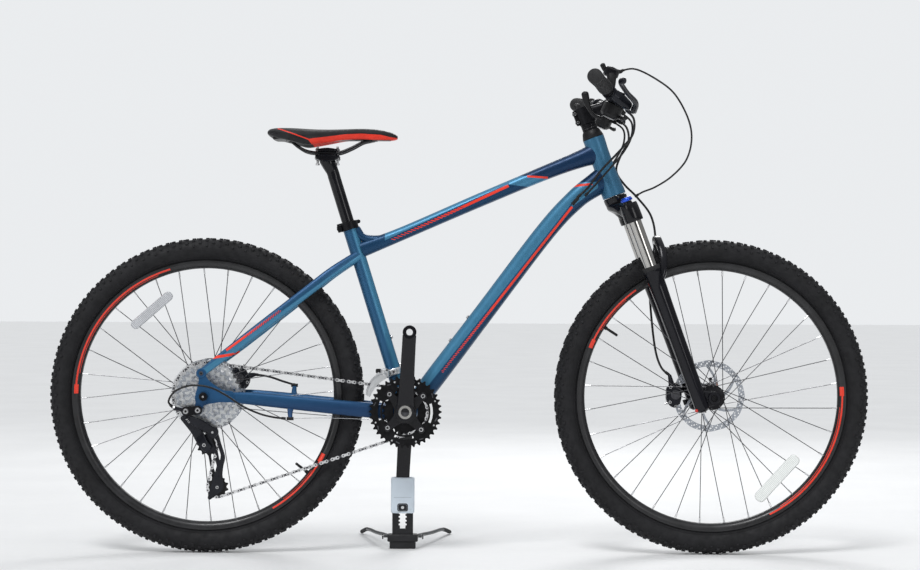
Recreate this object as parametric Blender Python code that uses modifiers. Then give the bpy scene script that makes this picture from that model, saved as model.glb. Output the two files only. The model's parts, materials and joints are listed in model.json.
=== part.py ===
"""A hardtail mountain bicycle held upright by a folding display stand on its left crank arm.

Metres, +Z up. The bicycle points along +X, its left side is +Y and the wheels touch Z = 0.
Run with: blender --background --python part.py
"""
import cmath
import math

import bmesh
import bpy
from mathutils import Matrix, Vector

OBJECT_NAME = "bicycle_on_stand"
GAP = 0.0003                    # left between pieces that touch
WELD = 0.00001                  # merge distance for meshes made of several surfaces
FLAT = 0.0005                   # faces that meet at less than this angle (radians) become one

# ---- wheels ----
WHEELBASE = 1.113
RIM_RADIUS = 0.298
TYRE_HEIGHT = 0.0490            # from the rim's edge to the tread
TYRE_RADIUS = RIM_RADIUS + TYRE_HEIGHT
TYRE_HALF_WIDTH = 0.0275
TYRE_SHOULDER = 0.0070          # the tread's edge lies this far under its crown
TYRE_WIDEST = 0.0240            # and the casing's widest place this far
RIM_DEPTH = 0.0185
RIM_HALF_WIDTH = 0.013
RIM_WALL = 0.0120               # straight side wall, before the rim tapers to the spokes
WHEEL_SIDES = 40
SPOKES_PER_FLANGE = 16
SPOKE_RADIUS = 0.0008
SPOKE_CROSSES = 3
SPOKE_HEAD_INSET = 0.0035       # the spoke's head inside the flange's edge
SPOKE_STAGGER = 0.0013          # heads lie inside and outside the flange by turns
SPOKE_RIM_OFFSET = 0.0020       # the rim's holes lie this far to either side of its middle
ROTOR_RADIUS = 0.080
ROTOR_TRACK = 0.013
ROTOR_THICKNESS = 0.0020
ROTOR_HUB_RING = 0.0290
ROTOR_ARMS = 6
ROTOR_ARM_HALF = 0.0038
ROTOR_SWEEP = 0.55              # radians an arm leans over on its way out
FRONT_VALVE_DEG = 147.0         # where each rim's valve hole points at rest
REAR_VALVE_DEG = -37.5

# ---- hubs ----
FRONT_HUB_HALF = 0.050
REAR_HUB_HALF = 0.0675
FRONT_AXLE_RADIUS = 0.0075
REAR_AXLE_RADIUS = 0.0050
SKEWER_RADIUS = 0.0025
FRONT_FLANGES = (-0.0320, 0.0260)
REAR_FLANGES = (-0.0185, 0.0340)
FLANGE_RADIUS = 0.0275
FLANGE_HALF = 0.0022
FRONT_SHELL_RADIUS = 0.0165
REAR_SHELL_RADIUS = 0.0175
ROTOR_SEAT_RADIUS = 0.0215
ROTOR_SEAT_DEPTH = 0.0040
FRONT_ROTOR_Y = 0.0395
REAR_ROTOR_Y = 0.0520
FRONT_HUB_END_RADIUS = 0.0125
REAR_HUB_END_RADIUS = 0.0095

# ---- frame ----
BB_X = -0.1175
BB_Z = 0.314
BB_SHELL_HALF = 0.0365
BB_SHELL_RADIUS = 0.0210
BB_BORE_RADIUS = 0.0175
SEAT_TUBE_DEG = 72.7            # from the horizontal
SEAT_TUBE_LENGTH = 0.4336
SEAT_TUBE_RADIUS = 0.0159
SEATPOST_RADIUS = 0.0136
SEATPOST_EXPOSED = 0.1550
SEATPOST_INSERTED = 0.1950
SEATPOST_DROP = 0.1200
HEAD_TUBE_DEG = 69.8
HEAD_TUBE_LENGTH = 0.1370
HEAD_TUBE_TOP_RADIUS = 0.0238
HEAD_TUBE_BOTTOM_RADIUS = 0.02625
HEAD_TUBE_MIDDLE = (0.3180, 0.8540)
DROPOUT_THICKNESS = 0.0070
DROPOUT_HOLE_RADIUS = REAR_AXLE_RADIUS + GAP

# ---- fork ----
STEERER_RADIUS = 0.01425
LEG_FORWARD = 0.0170            # leg axis ahead of the steering axis
LEG_SIDE = 0.0650
STANCHION_RADIUS = 0.0150
FORK_TRAVEL = 0.1000
FORK_EXPOSED = 0.1040
STANCHION_INSERTED = 0.1250
LOWER_TOP_RADIUS = 0.0190
LOWER_BOTTOM_RADIUS = 0.0162
CROWN_CLAMP_BOTTOM = -0.0680    # up the steering axis from the head tube's lower end
CROWN_CLAMP_TOP = -0.0260
CROWN_CLAMP_RADIUS = 0.0205

# ---- cockpit ----
COVER_HEIGHT = 0.0330           # headset cover and spacers under the stem
STEM_HEIGHT = 0.0400
STEM_LENGTH = 0.0720
STEM_RISE_DEG = 1.0
BAR_HALF_WIDTH = 0.3700
BAR_CLAMP_RADIUS = 0.0159
BAR_RADIUS = 0.0111
BAR_SWEEP_BACK = 0.0680
BAR_SWEEP_UP = 0.0270
GRIP_LENGTH = 0.1300
GRIP_RADIUS = 0.0158
BAR_BEND_Y = 0.0700
BAR_BULGE_Y = 0.0450            # the thick middle ends here
BAR_TAPER = ((0.0750, 0.0155), (0.1200, 0.0118))   # side position and radius
CONTROL_Y = 0.1880              # middle of the brake lever's clamp
REMOTE_Y = 0.1650               # middle of the lockout's clamp
GRIP_BORE_RADIUS = BAR_RADIUS + GAP + 0.0002

# ---- drivetrain ----
CHAIN_PITCH = 0.0127
CHAIN_WIDTH = 0.0058
TOOTH_HEIGHT = 0.0032           # tip above the pitch circle
ROOT_DEPTH = 0.0045             # root below the pitch circle
TOOTH_THICKNESS = 0.0018
CASSETTE_TEETH = (36, 32, 28, 24, 21, 19, 17, 15, 13, 11)
CASSETTE_SPACING = 0.00395
CASSETTE_INNER_Y = -0.0250
LARGE_RING_TEETH = 38
SMALL_RING_TEETH = 24
LARGE_RING_Y = -0.0518
SMALL_RING_Y = -0.0440
PULLEY_TEETH = 11
PULLEY_BOLT_RADIUS = 0.0028
GUIDE_PULLEY = (0.0038, -0.1079)     # ahead of the rear axle and above it
TENSION_PULLEY = (0.0258, -0.2015)
CAGE_GAP = 0.0104               # between the cage's plates
CAGE_THICKNESS = 0.0020
SPROCKET_TURN = 0.3             # each smaller sprocket's teeth are turned this far on
FRONT_DERAILLEUR_UP = 0.0900    # clamp's height up the seat tube
FRONT_CAGE_FIRST_DEG = 118.0
FRONT_CAGE_LAST_DEG = 158.0
CRANK_LENGTH = 0.1750
CRANK_TILT_DEG = 3.0            # the right arm points this far ahead of straight up
CRANK_ARM_INNER_Y = 0.0690      # the arm's inner face at its pedal end
CRANK_ARM_THICKNESS = 0.0140
CRANK_BOSS_RADIUS = 0.0212
CRANK_EYE_RADIUS = 0.0150
LEFT_CRANK_ROOT_Y = 0.0585
RING_THICKNESS = 0.0025
SPIDER_THICKNESS = 0.0040
SPINDLE_RADIUS = 0.0120
SPINDLE_BORE = 0.0092
BOLT_CIRCLE_LARGE = 0.0520
BOLT_CIRCLE_SMALL = 0.0320
RING_BOLT_RADIUS = 0.0042
PEDAL_HOLE_RADIUS = 0.0071

# ---- brakes ----
CALIPER_LENGTH = 0.0440
CALIPER_HEIGHT = 0.0340
CALIPER_INNER = 0.0125          # from the rotor to the caliper's inner face
PAD_CLEARANCE = 0.0008
FRONT_CALIPER_DEG = 178.0
REAR_CALIPER_DEG = 28.0

# ---- saddle ----
SADDLE_HALF_WIDTH = 0.0710
RAIL_RADIUS = 0.0035
RAIL_HALF_SPACING = 0.0220

# ---- stand ----
STAND_X = BB_X - 0.0080
STAND_Y = CRANK_ARM_INNER_Y + CRANK_ARM_THICKNESS / 2
CRANK_END_Z = BB_Z - CRANK_LENGTH * math.cos(math.radians(CRANK_TILT_DEG))
SOCKET_CLEARANCE = 0.0006       # under the crank arm's eye
SOCKET_WIDTH = 0.0526
SOCKET_DEPTH = 0.0240
SOCKET_HEIGHT = 0.0803
SOCKET_WALL = 0.0070
POCKET_DEPTH = 0.0366
POCKET_MARGIN = 0.0040          # wider than the crank arm, for the felt that grips it
SOCKET_FLOOR_Z = CRANK_END_Z - CRANK_EYE_RADIUS - SOCKET_CLEARANCE
SOCKET_TOP = SOCKET_FLOOR_Z + POCKET_DEPTH
SOCKET_BOTTOM = SOCKET_TOP - SOCKET_HEIGHT
BUTTON_WIDTH = 0.0190
BUTTON_HEIGHT = 0.0130
BUTTON_UP = 0.0134              # above the socket's lower edge
MAST_WIDTH = 0.0467
MAST_THICKNESS = 0.0050
MAST_INSERTED = 0.0221
MAST_TOP = SOCKET_BOTTOM + MAST_INSERTED
STAND_STEP = 0.0085             # pitch of the mast's notches
BASE_WIDTH = 0.0685
BASE_DEPTH = 0.0300
BASE_Y = 0.0830                 # set outboard so that the stand clears the chainstay
BASE_TOP = 0.0323
BASE_BOTTOM = 0.0154
FOOT_DEPTH = 0.0240
LEG_PIVOT_SPACING = 0.0776
LEG_PIVOT_Z = 0.0274
LEG_ROD_RADIUS = 0.0040
LEG_REACH_Y = 0.3850
LEG_SPREAD_X = 0.1050

SIDE = Vector((0.0, 1.0, 0.0))
REAR_AXLE = Vector((-WHEELBASE / 2, 0.0, TYRE_RADIUS))
FRONT_AXLE = Vector((WHEELBASE / 2, 0.0, TYRE_RADIUS))
BOTTOM_BRACKET = Vector((BB_X, 0.0, BB_Z))


# ---------------------------------------------------------------- helpers

def clear_scene():
    for item in list(bpy.data.objects):
        bpy.data.objects.remove(item, do_unlink=True)


def new_collection(name):
    group = bpy.data.collections.new(name)
    bpy.context.scene.collection.children.link(group)
    return group


clear_scene()
PARTS = new_collection(OBJECT_NAME)
CUTTERS = new_collection("cutters")


def material(name, colour, roughness, metallic=0.0):
    made = bpy.data.materials.new(name)
    made.use_nodes = True
    shader = made.node_tree.nodes["Principled BSDF"]
    shader.inputs["Base Color"].default_value = (*colour, 1.0)
    shader.inputs["Roughness"].default_value = roughness
    shader.inputs["Metallic"].default_value = metallic
    return made


def add_object(name, data, group=None):
    item = bpy.data.objects.new(name, data)
    (group or CUTTERS).objects.link(item)
    return item


def mesh_object(name, build):
    """Object whose mesh is filled by BUILD, a function that is given a bmesh."""
    work = bmesh.new()
    build(work)
    mesh = bpy.data.meshes.new(name)
    work.to_mesh(mesh)
    work.free()
    return add_object(name, mesh)


def basis_along(direction):
    """Rotation that carries Z onto DIRECTION and keeps X in the bicycle's side plane."""
    up = Vector(direction).normalized()
    helper = SIDE if abs(up.y) < 0.9 else Vector((0.0, 0.0, 1.0))
    ahead = helper.cross(up).normalized()
    side = up.cross(ahead)
    return Matrix((ahead, side, up)).transposed().to_4x4()


def placed(origin, direction):
    return Matrix.Translation(Vector(origin)) @ basis_along(direction)


def cylinder(name, start, end, radius, end_radius=None, sides=24, turn=0.0):
    """Cylinder or cone from START to END."""
    start = Vector(start)
    end = Vector(end)
    length = (end - start).length
    place = placed((start + end) / 2, end - start) @ Matrix.Rotation(turn, 4, "Z")

    def build(work):
        bmesh.ops.create_cone(work, cap_ends=True, cap_tris=False, segments=sides, radius1=radius,
                              radius2=radius if end_radius is None else end_radius, depth=length,
                              matrix=place)
    return mesh_object(name, build)


def box(name, centre, size, turn=None):
    """Box with its middle at CENTRE, turned by the rotation matrix TURN."""
    place = Matrix.Translation(Vector(centre)) @ (turn or Matrix.Identity(4))
    place = place @ Matrix.Diagonal((*size, 1.0))

    def build(work):
        bmesh.ops.create_cube(work, size=1.0, matrix=place)
    return mesh_object(name, build)


def turned(name, profile, origin, direction, sides=24, turn=0.0):
    """Turn PROFILE, points of (radius, height) down the outer side, about DIRECTION.

    A profile that starts and ends on the axis is a solid; any other is closed into a ring.
    """
    ring = profile[0][0] > 0.0

    def build(work):
        points = [work.verts.new((radius, 0.0, height)) for radius, height in profile]
        for first, second in zip(points, points[1:]):
            work.edges.new((first, second))
        if ring:
            work.edges.new((points[-1], points[0]))
    item = mesh_object(name, build)
    screw = item.modifiers.new("turn", "SCREW")
    screw.angle = math.tau
    screw.steps = sides
    screw.render_steps = sides
    screw.use_merge_vertices = True
    screw.merge_threshold = WELD
    screw.use_normal_calculate = True
    return baked(item, placed(origin, direction) @ Matrix.Rotation(turn, 4, "Z"))


def baked(item, place=None):
    """Replace ITEM by a welded, outward-facing mesh of what it shows, moved by PLACE."""
    graph = bpy.context.evaluated_depsgraph_get()
    mesh = bpy.data.meshes.new_from_object(item.evaluated_get(graph))
    name = item.name
    matrix = (place or Matrix.Identity(4)) @ item.matrix_world
    bpy.data.objects.remove(item, do_unlink=True)
    work = bmesh.new()
    work.from_mesh(mesh)
    bmesh.ops.remove_doubles(work, verts=work.verts, dist=WELD)
    bmesh.ops.dissolve_limit(work, angle_limit=FLAT, verts=work.verts, edges=work.edges)
    work.transform(matrix)
    bmesh.ops.recalc_face_normals(work, faces=work.faces)
    if work.calc_volume(signed=True) < 0.0:
        bmesh.ops.reverse_faces(work, faces=work.faces)
    work.to_mesh(mesh)
    work.free()
    mesh.name = name
    return add_object(name, mesh)


def tube(name, points, radius, resolution=2, scales=None, closed=False):
    """Round rod along POINTS; SCALES thickens or thins it at each point."""
    curve = bpy.data.curves.new(name, "CURVE")
    curve.dimensions = "3D"
    curve.bevel_depth = radius
    curve.bevel_resolution = resolution
    curve.use_fill_caps = True
    curve.render_resolution_u = 0
    line = curve.splines.new("POLY")
    line.points.add(len(points) - 1)
    for index, point in enumerate(points):
        line.points[index].co = (*point, 1.0)
        line.points[index].radius = scales[index] if scales else 1.0
    line.use_cyclic_u = closed
    return baked(add_object(name, curve))


def plate(name, outline, thickness, place, holes=()):
    """Flat piece: OUTLINE and HOLES, lists of (x, y), drawn in PLACE's XY plane."""
    curve = bpy.data.curves.new(name, "CURVE")
    curve.dimensions = "2D"
    curve.fill_mode = "BOTH"
    curve.extrude = thickness / 2
    curve.render_resolution_u = 0
    for ring in (outline, *holes):
        line = curve.splines.new("POLY")
        line.points.add(len(ring) - 1)
        for index, (x, y) in enumerate(ring):
            line.points[index].co = (x, y, 0.0, 1.0)
        line.use_cyclic_u = True
    return baked(add_object(name, curve), place)


def loft(name, rings):
    """Skin through RINGS, lists of as many points each, with flat ends."""
    def build(work):
        rows = [[work.verts.new(point) for point in ring] for ring in rings]
        count = len(rings[0])
        for low, high in zip(rows, rows[1:]):
            for step in range(count):
                after = (step + 1) % count
                work.faces.new((low[step], low[after], high[after], high[step]))
        work.faces.new(list(reversed(rows[0])))
        work.faces.new(rows[-1])
        bmesh.ops.recalc_face_normals(work, faces=work.faces)
    return mesh_object(name, build)


def oval(centre, direction, half_ahead, half_side, sides=12, squareness=2.0):
    """Points of a rounded section at CENTRE, square to DIRECTION."""
    turn = basis_along(direction)
    power = 2.0 / squareness
    points = []
    for step in range(sides):
        angle = math.tau * (step + 0.5) / sides
        x = math.copysign(abs(math.cos(angle)) ** power, math.cos(angle)) * half_ahead
        y = math.copysign(abs(math.sin(angle)) ** power, math.sin(angle)) * half_side
        points.append(Vector(centre) + turn @ Vector((x, y, 0.0)))
    return points


def frame_tube(name, stations, sides=10, squareness=2.0):
    """Shaped tube through STATIONS of (point, half height, half width)."""
    centres = [Vector(station[0]) for station in stations]
    rings = []
    for index, (_, half_height, half_width) in enumerate(stations):
        before = centres[max(index - 1, 0)]
        after = centres[min(index + 1, len(centres) - 1)]
        rings.append(oval(centres[index], after - before, half_height, half_width, sides,
                          squareness))
    return loft(name, rings)


def combined(base, others, operation="UNION"):
    """Join OTHERS to BASE, or cut them from it."""
    for other in others:
        step = base.modifiers.new("combine", "BOOLEAN")
        step.operation = operation
        step.solver = "EXACT"
        step.object = other
    base = baked(base)
    for other in others:
        bpy.data.objects.remove(other, do_unlink=True)
    return base


def cut(base, others):
    return combined(base, others, "DIFFERENCE")


def rounded(item, width, segments=1, angle_deg=40.0):
    """Round ITEM's edges that are sharper than ANGLE_DEG."""
    bevel = item.modifiers.new("round", "BEVEL")
    bevel.width = width
    bevel.segments = segments
    bevel.limit_method = "ANGLE"
    bevel.angle_limit = math.radians(angle_deg)
    return baked(item)


def mirrored(item, name):
    """Copy of ITEM on the other side of the bicycle."""
    mesh = item.data.copy()
    mesh.transform(Matrix.Diagonal((1.0, -1.0, 1.0, 1.0)))
    mesh.flip_normals()
    return add_object(name, mesh)


def sub_part(item, name, finish, axis_point=None):
    """File ITEM as the node NAME, with its origin at AXIS_POINT if it turns about one."""
    CUTTERS.objects.unlink(item)
    PARTS.objects.link(item)
    item.name = name
    item.data.name = name
    item.data.materials.clear()
    item.data.materials.append(finish)
    if axis_point is not None:
        item.data.transform(Matrix.Translation(-Vector(axis_point)))
        item.location = axis_point
    item.data.shade_smooth()
    item.data.set_sharp_from_angle(angle=math.radians(35.0))
    return item


def smooth_route(points, count):
    """COUNT points, evenly spread along a smooth curve through POINTS."""
    points = [Vector(point) for point in points]
    ends = [points[0] * 2 - points[1], *points, points[-1] * 2 - points[-2]]
    fine = []
    for index in range(1, len(ends) - 2):
        p0, p1, p2, p3 = ends[index - 1:index + 3]
        for step in range(16):
            t = step / 16
            fine.append(0.5 * ((2 * p1) + (p2 - p0) * t + (2 * p0 - 5 * p1 + 4 * p2 - p3) * t ** 2
                               + (3 * p1 - p0 - 3 * p2 + p3) * t ** 3))
    fine.append(points[-1])
    reach = [0.0]
    for first, second in zip(fine, fine[1:]):
        reach.append(reach[-1] + (second - first).length)
    route = []
    place = 0
    for step in range(count):
        wanted = reach[-1] * step / (count - 1)
        while place < len(reach) - 2 and reach[place + 1] < wanted:
            place += 1
        share = (wanted - reach[place]) / (reach[place + 1] - reach[place])
        route.append(fine[place].lerp(fine[place + 1], share))
    return route


def circle_outline(radius, sides, x=0.0, y=0.0):
    return [(x + radius * math.cos(math.tau * step / sides),
             y + radius * math.sin(math.tau * step / sides)) for step in range(sides)]


def polar(radius, angle):
    return radius * math.cos(angle), radius * math.sin(angle)


def side_plane(x, y, z):
    """Place whose XY plane is the bicycle's side view: X ahead, Y up, looking from the right."""
    turn = Matrix(((1, 0, 0), (0, 0, -1), (0, 1, 0))).to_4x4()
    return Matrix.Translation((x, y, z)) @ turn


# ---------------------------------------------------------------- shared finishes

FRAME_PAINT = material("blue_paint", (0.035, 0.15, 0.32), 0.28, 0.35)
BLACK_METAL = material("black_anodised", (0.015, 0.015, 0.018), 0.42, 0.5)
GLOSS_BLACK = material("gloss_black", (0.012, 0.012, 0.015), 0.25)
STEEL = material("brushed_steel", (0.62, 0.62, 0.64), 0.30, 1.0)
SILVER = material("silver_aluminium", (0.70, 0.71, 0.72), 0.32, 0.9)
RUBBER = material("tyre_rubber", (0.02, 0.02, 0.022), 0.85)
GRIP_RUBBER = material("grip_rubber", (0.018, 0.018, 0.02), 0.75)
PLASTIC = material("black_plastic", (0.02, 0.02, 0.022), 0.5)
COVER = material("saddle_cover", (0.02, 0.02, 0.024), 0.55)
BLUE_DIAL = material("blue_dial", (0.02, 0.08, 0.55), 0.3, 0.6)
HOSE = material("hose", (0.012, 0.012, 0.013), 0.4)
GREY_ROD = material("grey_rod", (0.18, 0.19, 0.20), 0.4, 0.7)


# ---------------------------------------------------------------- frame geometry

def seat_tube_point(distance):
    """Point on the seat tube's axis, DISTANCE up from the bottom bracket."""
    slope = math.radians(SEAT_TUBE_DEG)
    return BOTTOM_BRACKET + Vector((-math.cos(slope), 0.0, math.sin(slope))) * distance


HEAD_SLOPE = math.radians(HEAD_TUBE_DEG)
STEER_UP = Vector((-math.cos(HEAD_SLOPE), 0.0, math.sin(HEAD_SLOPE)))
STEER_AHEAD = Vector((math.sin(HEAD_SLOPE), 0.0, math.cos(HEAD_SLOPE)))
HEAD_MIDDLE = Vector((HEAD_TUBE_MIDDLE[0], 0.0, HEAD_TUBE_MIDDLE[1]))
HEAD_BOTTOM = HEAD_MIDDLE - STEER_UP * (HEAD_TUBE_LENGTH / 2)


def steer_point(ahead, side, up):
    """Point AHEAD of the steering axis, to its SIDE and UP it from the head tube's lower end."""
    return HEAD_BOTTOM + STEER_AHEAD * ahead + SIDE * side + STEER_UP * up


AXLE_AHEAD = (FRONT_AXLE - HEAD_BOTTOM).dot(STEER_AHEAD)
AXLE_UP = (FRONT_AXLE - HEAD_BOTTOM).dot(STEER_UP)


def top_tube():
    start = seat_tube_point(SEAT_TUBE_LENGTH - 0.066)
    end = steer_point(0.0, 0.0, HEAD_TUBE_LENGTH - 0.040)
    first = start.lerp(end, 0.19)
    return frame_tube("top_tube", [
        (start, 0.0135, 0.0150),
        (first, 0.0132, 0.0170),
        (start.lerp(end, 0.50) + Vector((0.0, 0.0, 0.0035)), 0.0148, 0.0190),
        (start.lerp(end, 0.78) + Vector((0.0, 0.0, 0.0030)), 0.0156, 0.0200),
        (start.lerp(end, 0.93), 0.0205, 0.0205),
        (end, 0.0230, 0.0190),
    ], squareness=2.4)


def down_tube():
    start = BOTTOM_BRACKET + Vector((0.006, 0.0, -0.004))
    end = steer_point(0.0, 0.0, 0.048)
    elbow = end + Vector((-0.0700, 0.0, -0.0530))
    low = elbow + Vector((-0.0670, 0.0, -0.0730))
    return frame_tube("down_tube", [
        (start, 0.0190, 0.0270),
        (start.lerp(low, 0.18), 0.0225, 0.0285),
        (start.lerp(low, 0.55), 0.0217, 0.0250),
        (low, 0.0217, 0.0240),
        (elbow, 0.0225, 0.0235),
        (end.lerp(elbow, 0.35), 0.0260, 0.0220),
        (end, 0.0265, 0.0200),
    ], squareness=2.5)


def chainstay(side):
    """Right (SIDE -1) or left (SIDE +1) chainstay."""
    end_y = REAR_HUB_HALF + DROPOUT_THICKNESS / 2
    shell_y = BB_SHELL_HALF - 0.0145
    return frame_tube("chainstay", [
        ((BB_X - 0.0075, side * shell_y, BB_Z - 0.0040), 0.0150, 0.0100),
        ((BB_X - 0.0525, side * (shell_y + 0.0075), BB_Z - 0.0010), 0.0160, 0.0098),
        ((BB_X - 0.0875, side * (shell_y + 0.0165), BB_Z + 0.0035), 0.0165, 0.0092),
        ((BB_X - 0.1450, side * (shell_y + 0.0255), BB_Z + 0.0090), 0.0158, 0.0088),
        ((REAR_AXLE.x + 0.1200, side * (end_y - 0.0125), REAR_AXLE.z - 0.0065), 0.0140, 0.0080),
        ((REAR_AXLE.x + 0.0420, side * end_y, REAR_AXLE.z - 0.0010), 0.0100, 0.0034),
    ], sides=8)


def seatstay(side):
    end_y = REAR_HUB_HALF + DROPOUT_THICKNESS / 2
    top = seat_tube_point(SEAT_TUBE_LENGTH - 0.070)
    foot = REAR_AXLE + Vector((-0.0064, 0.0, 0.0500))
    path = foot - top
    return frame_tube("seatstay", [
        (top + Vector((0.004, side * 0.0080, -0.004)), 0.0115, 0.0080),
        (top + path * 0.16 + SIDE * side * 0.0330, 0.0115, 0.0080),
        (top + path * 0.32 + SIDE * side * 0.0450, 0.0115, 0.0075),
        (top + path * 0.75 + SIDE * side * 0.0620, 0.0112, 0.0070),
        (foot + SIDE * side * end_y, 0.0080, 0.0034),
    ], sides=8)


def dropout(side):
    """Plate that joins the stays round the rear axle."""
    outline = [(-0.0145, 0.0597), (0.0030, 0.0620), (0.0235, 0.0357), (0.0388, 0.0150),
               (0.0640, 0.0100), (0.0640, -0.0105), (0.0170, -0.0120), (0.0020, -0.0165),
               (-0.0115, -0.0100), (-0.0165, 0.0060), (-0.0120, 0.0300)]
    place = side_plane(REAR_AXLE.x, side * (REAR_HUB_HALF + DROPOUT_THICKNESS / 2), REAR_AXLE.z)
    return plate("dropout", outline, DROPOUT_THICKNESS, place,
                 holes=[circle_outline(DROPOUT_HOLE_RADIUS, 12)])


def build_frame():
    top = seat_tube_point(SEAT_TUBE_LENGTH)
    seat_tube = cylinder("seat_tube", seat_tube_point(-0.004), top, SEAT_TUBE_RADIUS, sides=16)
    shell = cylinder("shell", BOTTOM_BRACKET - SIDE * BB_SHELL_HALF,
                     BOTTOM_BRACKET + SIDE * BB_SHELL_HALF, BB_SHELL_RADIUS, sides=16)
    head = turned("head_tube", [
        (0.0, HEAD_TUBE_LENGTH),
        (HEAD_TUBE_TOP_RADIUS, HEAD_TUBE_LENGTH),
        (HEAD_TUBE_TOP_RADIUS, HEAD_TUBE_LENGTH - 0.012),
        (HEAD_TUBE_TOP_RADIUS - 0.0016, HEAD_TUBE_LENGTH * 0.55),
        (HEAD_TUBE_BOTTOM_RADIUS, 0.016),
        (HEAD_TUBE_BOTTOM_RADIUS, 0.0),
        (0.0, 0.0)], HEAD_BOTTOM, STEER_UP, sides=16)
    frame = combined(seat_tube, [
        shell, head, top_tube(), down_tube(), chainstay(1), chainstay(-1), seatstay(1),
        seatstay(-1), dropout(1), dropout(-1)])
    steerer_bore = cylinder("bore", steer_point(0.0, 0.0, -0.01),
                            steer_point(0.0, 0.0, HEAD_TUBE_LENGTH + 0.01),
                            STEERER_RADIUS + 0.0030, sides=12)
    post_bore = cylinder("bore", seat_tube_point(SEAT_TUBE_LENGTH - SEATPOST_INSERTED
                                                 - SEATPOST_DROP - 0.006),
                         seat_tube_point(SEAT_TUBE_LENGTH + 0.01), SEATPOST_RADIUS + GAP, sides=16)
    shell_bore = cylinder("bore", BOTTOM_BRACKET - SIDE * 0.05, BOTTOM_BRACKET + SIDE * 0.05,
                          BB_BORE_RADIUS, sides=16)
    frame = cut(frame, [steerer_bore, post_bore, shell_bore])
    return sub_part(frame, "frame", FRAME_PAINT)


# ---------------------------------------------------------------- wheels

def build_tyre(name, axle):
    half = TYRE_HALF_WIDTH
    true_radius = TYRE_RADIUS / math.cos(math.pi / WHEEL_SIDES)   # flats touch the ground
    seat = RIM_RADIUS + GAP
    profile = [(true_radius, 0.40 * half), (true_radius, -0.40 * half),
               (true_radius - TYRE_SHOULDER, -0.86 * half), (true_radius - TYRE_WIDEST, -half),
               (seat, -0.62 * half), (seat, 0.62 * half), (true_radius - TYRE_WIDEST, half),
               (true_radius - TYRE_SHOULDER, 0.86 * half)]
    tyre = turned("tyre", profile, axle, SIDE, WHEEL_SIDES, turn=math.pi / WHEEL_SIDES)
    return sub_part(tyre, name, RUBBER, axle)


def build_rim(name, axle):
    half = RIM_HALF_WIDTH
    profile = [(RIM_RADIUS, half), (RIM_RADIUS, -half), (RIM_RADIUS - RIM_WALL, -half + 0.0005),
               (RIM_RADIUS - RIM_DEPTH, 0.0), (RIM_RADIUS - RIM_WALL, half - 0.0005)]
    rim = turned("rim", profile, axle, SIDE, WHEEL_SIDES, turn=math.pi / WHEEL_SIDES)
    return sub_part(rim, name, GLOSS_BLACK, axle)


def wheel_point(axle, radius, degrees, y):
    """Point at RADIUS from AXLE; DEGREES run from straight ahead to straight up."""
    angle = math.radians(degrees)
    return Vector((axle.x + radius * math.cos(angle), y, axle.z + radius * math.sin(angle)))


def spokes(axle, flanges, valve_degrees):
    """All spokes of a wheel, laced over SPOKE_CROSSES others on the same flange."""
    spacing = 360.0 / SPOKES_PER_FLANGE
    rim_reach = (RIM_RADIUS - RIM_DEPTH) * math.cos(math.pi / WHEEL_SIDES) - 0.0006

    def build(work):
        for side, flange_y in enumerate(flanges):
            for index in range(SPOKES_PER_FLANGE):
                lead = 1 if index % 2 == 0 else -1
                hub_degrees = valve_degrees + spacing * (index + 0.25 + 0.5 * side)
                rim_degrees = hub_degrees + lead * spacing * SPOKE_CROSSES
                start = wheel_point(axle, FLANGE_RADIUS - SPOKE_HEAD_INSET, hub_degrees,
                                    flange_y + lead * SPOKE_STAGGER)
                end = wheel_point(axle, rim_reach, rim_degrees,
                                  math.copysign(SPOKE_RIM_OFFSET, flange_y))
                place = placed((start + end) / 2, end - start)
                bmesh.ops.create_cone(work, cap_ends=True, segments=3, radius1=SPOKE_RADIUS,
                                      radius2=SPOKE_RADIUS, depth=(end - start).length,
                                      matrix=place)
    return mesh_object("spokes", build)


def hub_shell(axle, profile, bore_radius):
    shell = turned("hub", profile, axle, SIDE, 16)
    bore = cylinder("bore", axle - SIDE * 0.09, axle + SIDE * 0.09, bore_radius, sides=12)
    return cut(shell, [bore])


def flange_steps(flange_y, shell_radius):
    return [(shell_radius, flange_y + FLANGE_HALF), (FLANGE_RADIUS, flange_y + FLANGE_HALF),
            (FLANGE_RADIUS, flange_y - FLANGE_HALF), (shell_radius, flange_y - FLANGE_HALF)]


def build_front_hub():
    end = FRONT_HUB_HALF - GAP
    rotor_face = FRONT_ROTOR_Y - ROTOR_THICKNESS / 2 - GAP
    tip = FRONT_HUB_END_RADIUS
    shell = FRONT_SHELL_RADIUS
    profile = [(0.0, end), (tip, end), (tip, rotor_face), (ROTOR_SEAT_RADIUS, rotor_face),
               (ROTOR_SEAT_RADIUS, rotor_face - ROTOR_SEAT_DEPTH),
               (shell, rotor_face - ROTOR_SEAT_DEPTH - 0.0030)]
    profile += flange_steps(FRONT_FLANGES[1], shell)
    profile += flange_steps(FRONT_FLANGES[0], shell)
    profile += [(tip, FRONT_FLANGES[0] - 0.0080), (tip, -end), (0.0, -end)]
    hub = hub_shell(FRONT_AXLE, profile, FRONT_AXLE_RADIUS + GAP)
    hub = combined(hub, [spokes(FRONT_AXLE, FRONT_FLANGES, FRONT_VALVE_DEG)])
    return sub_part(hub, "front_hub", BLACK_METAL, FRONT_AXLE)


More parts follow.
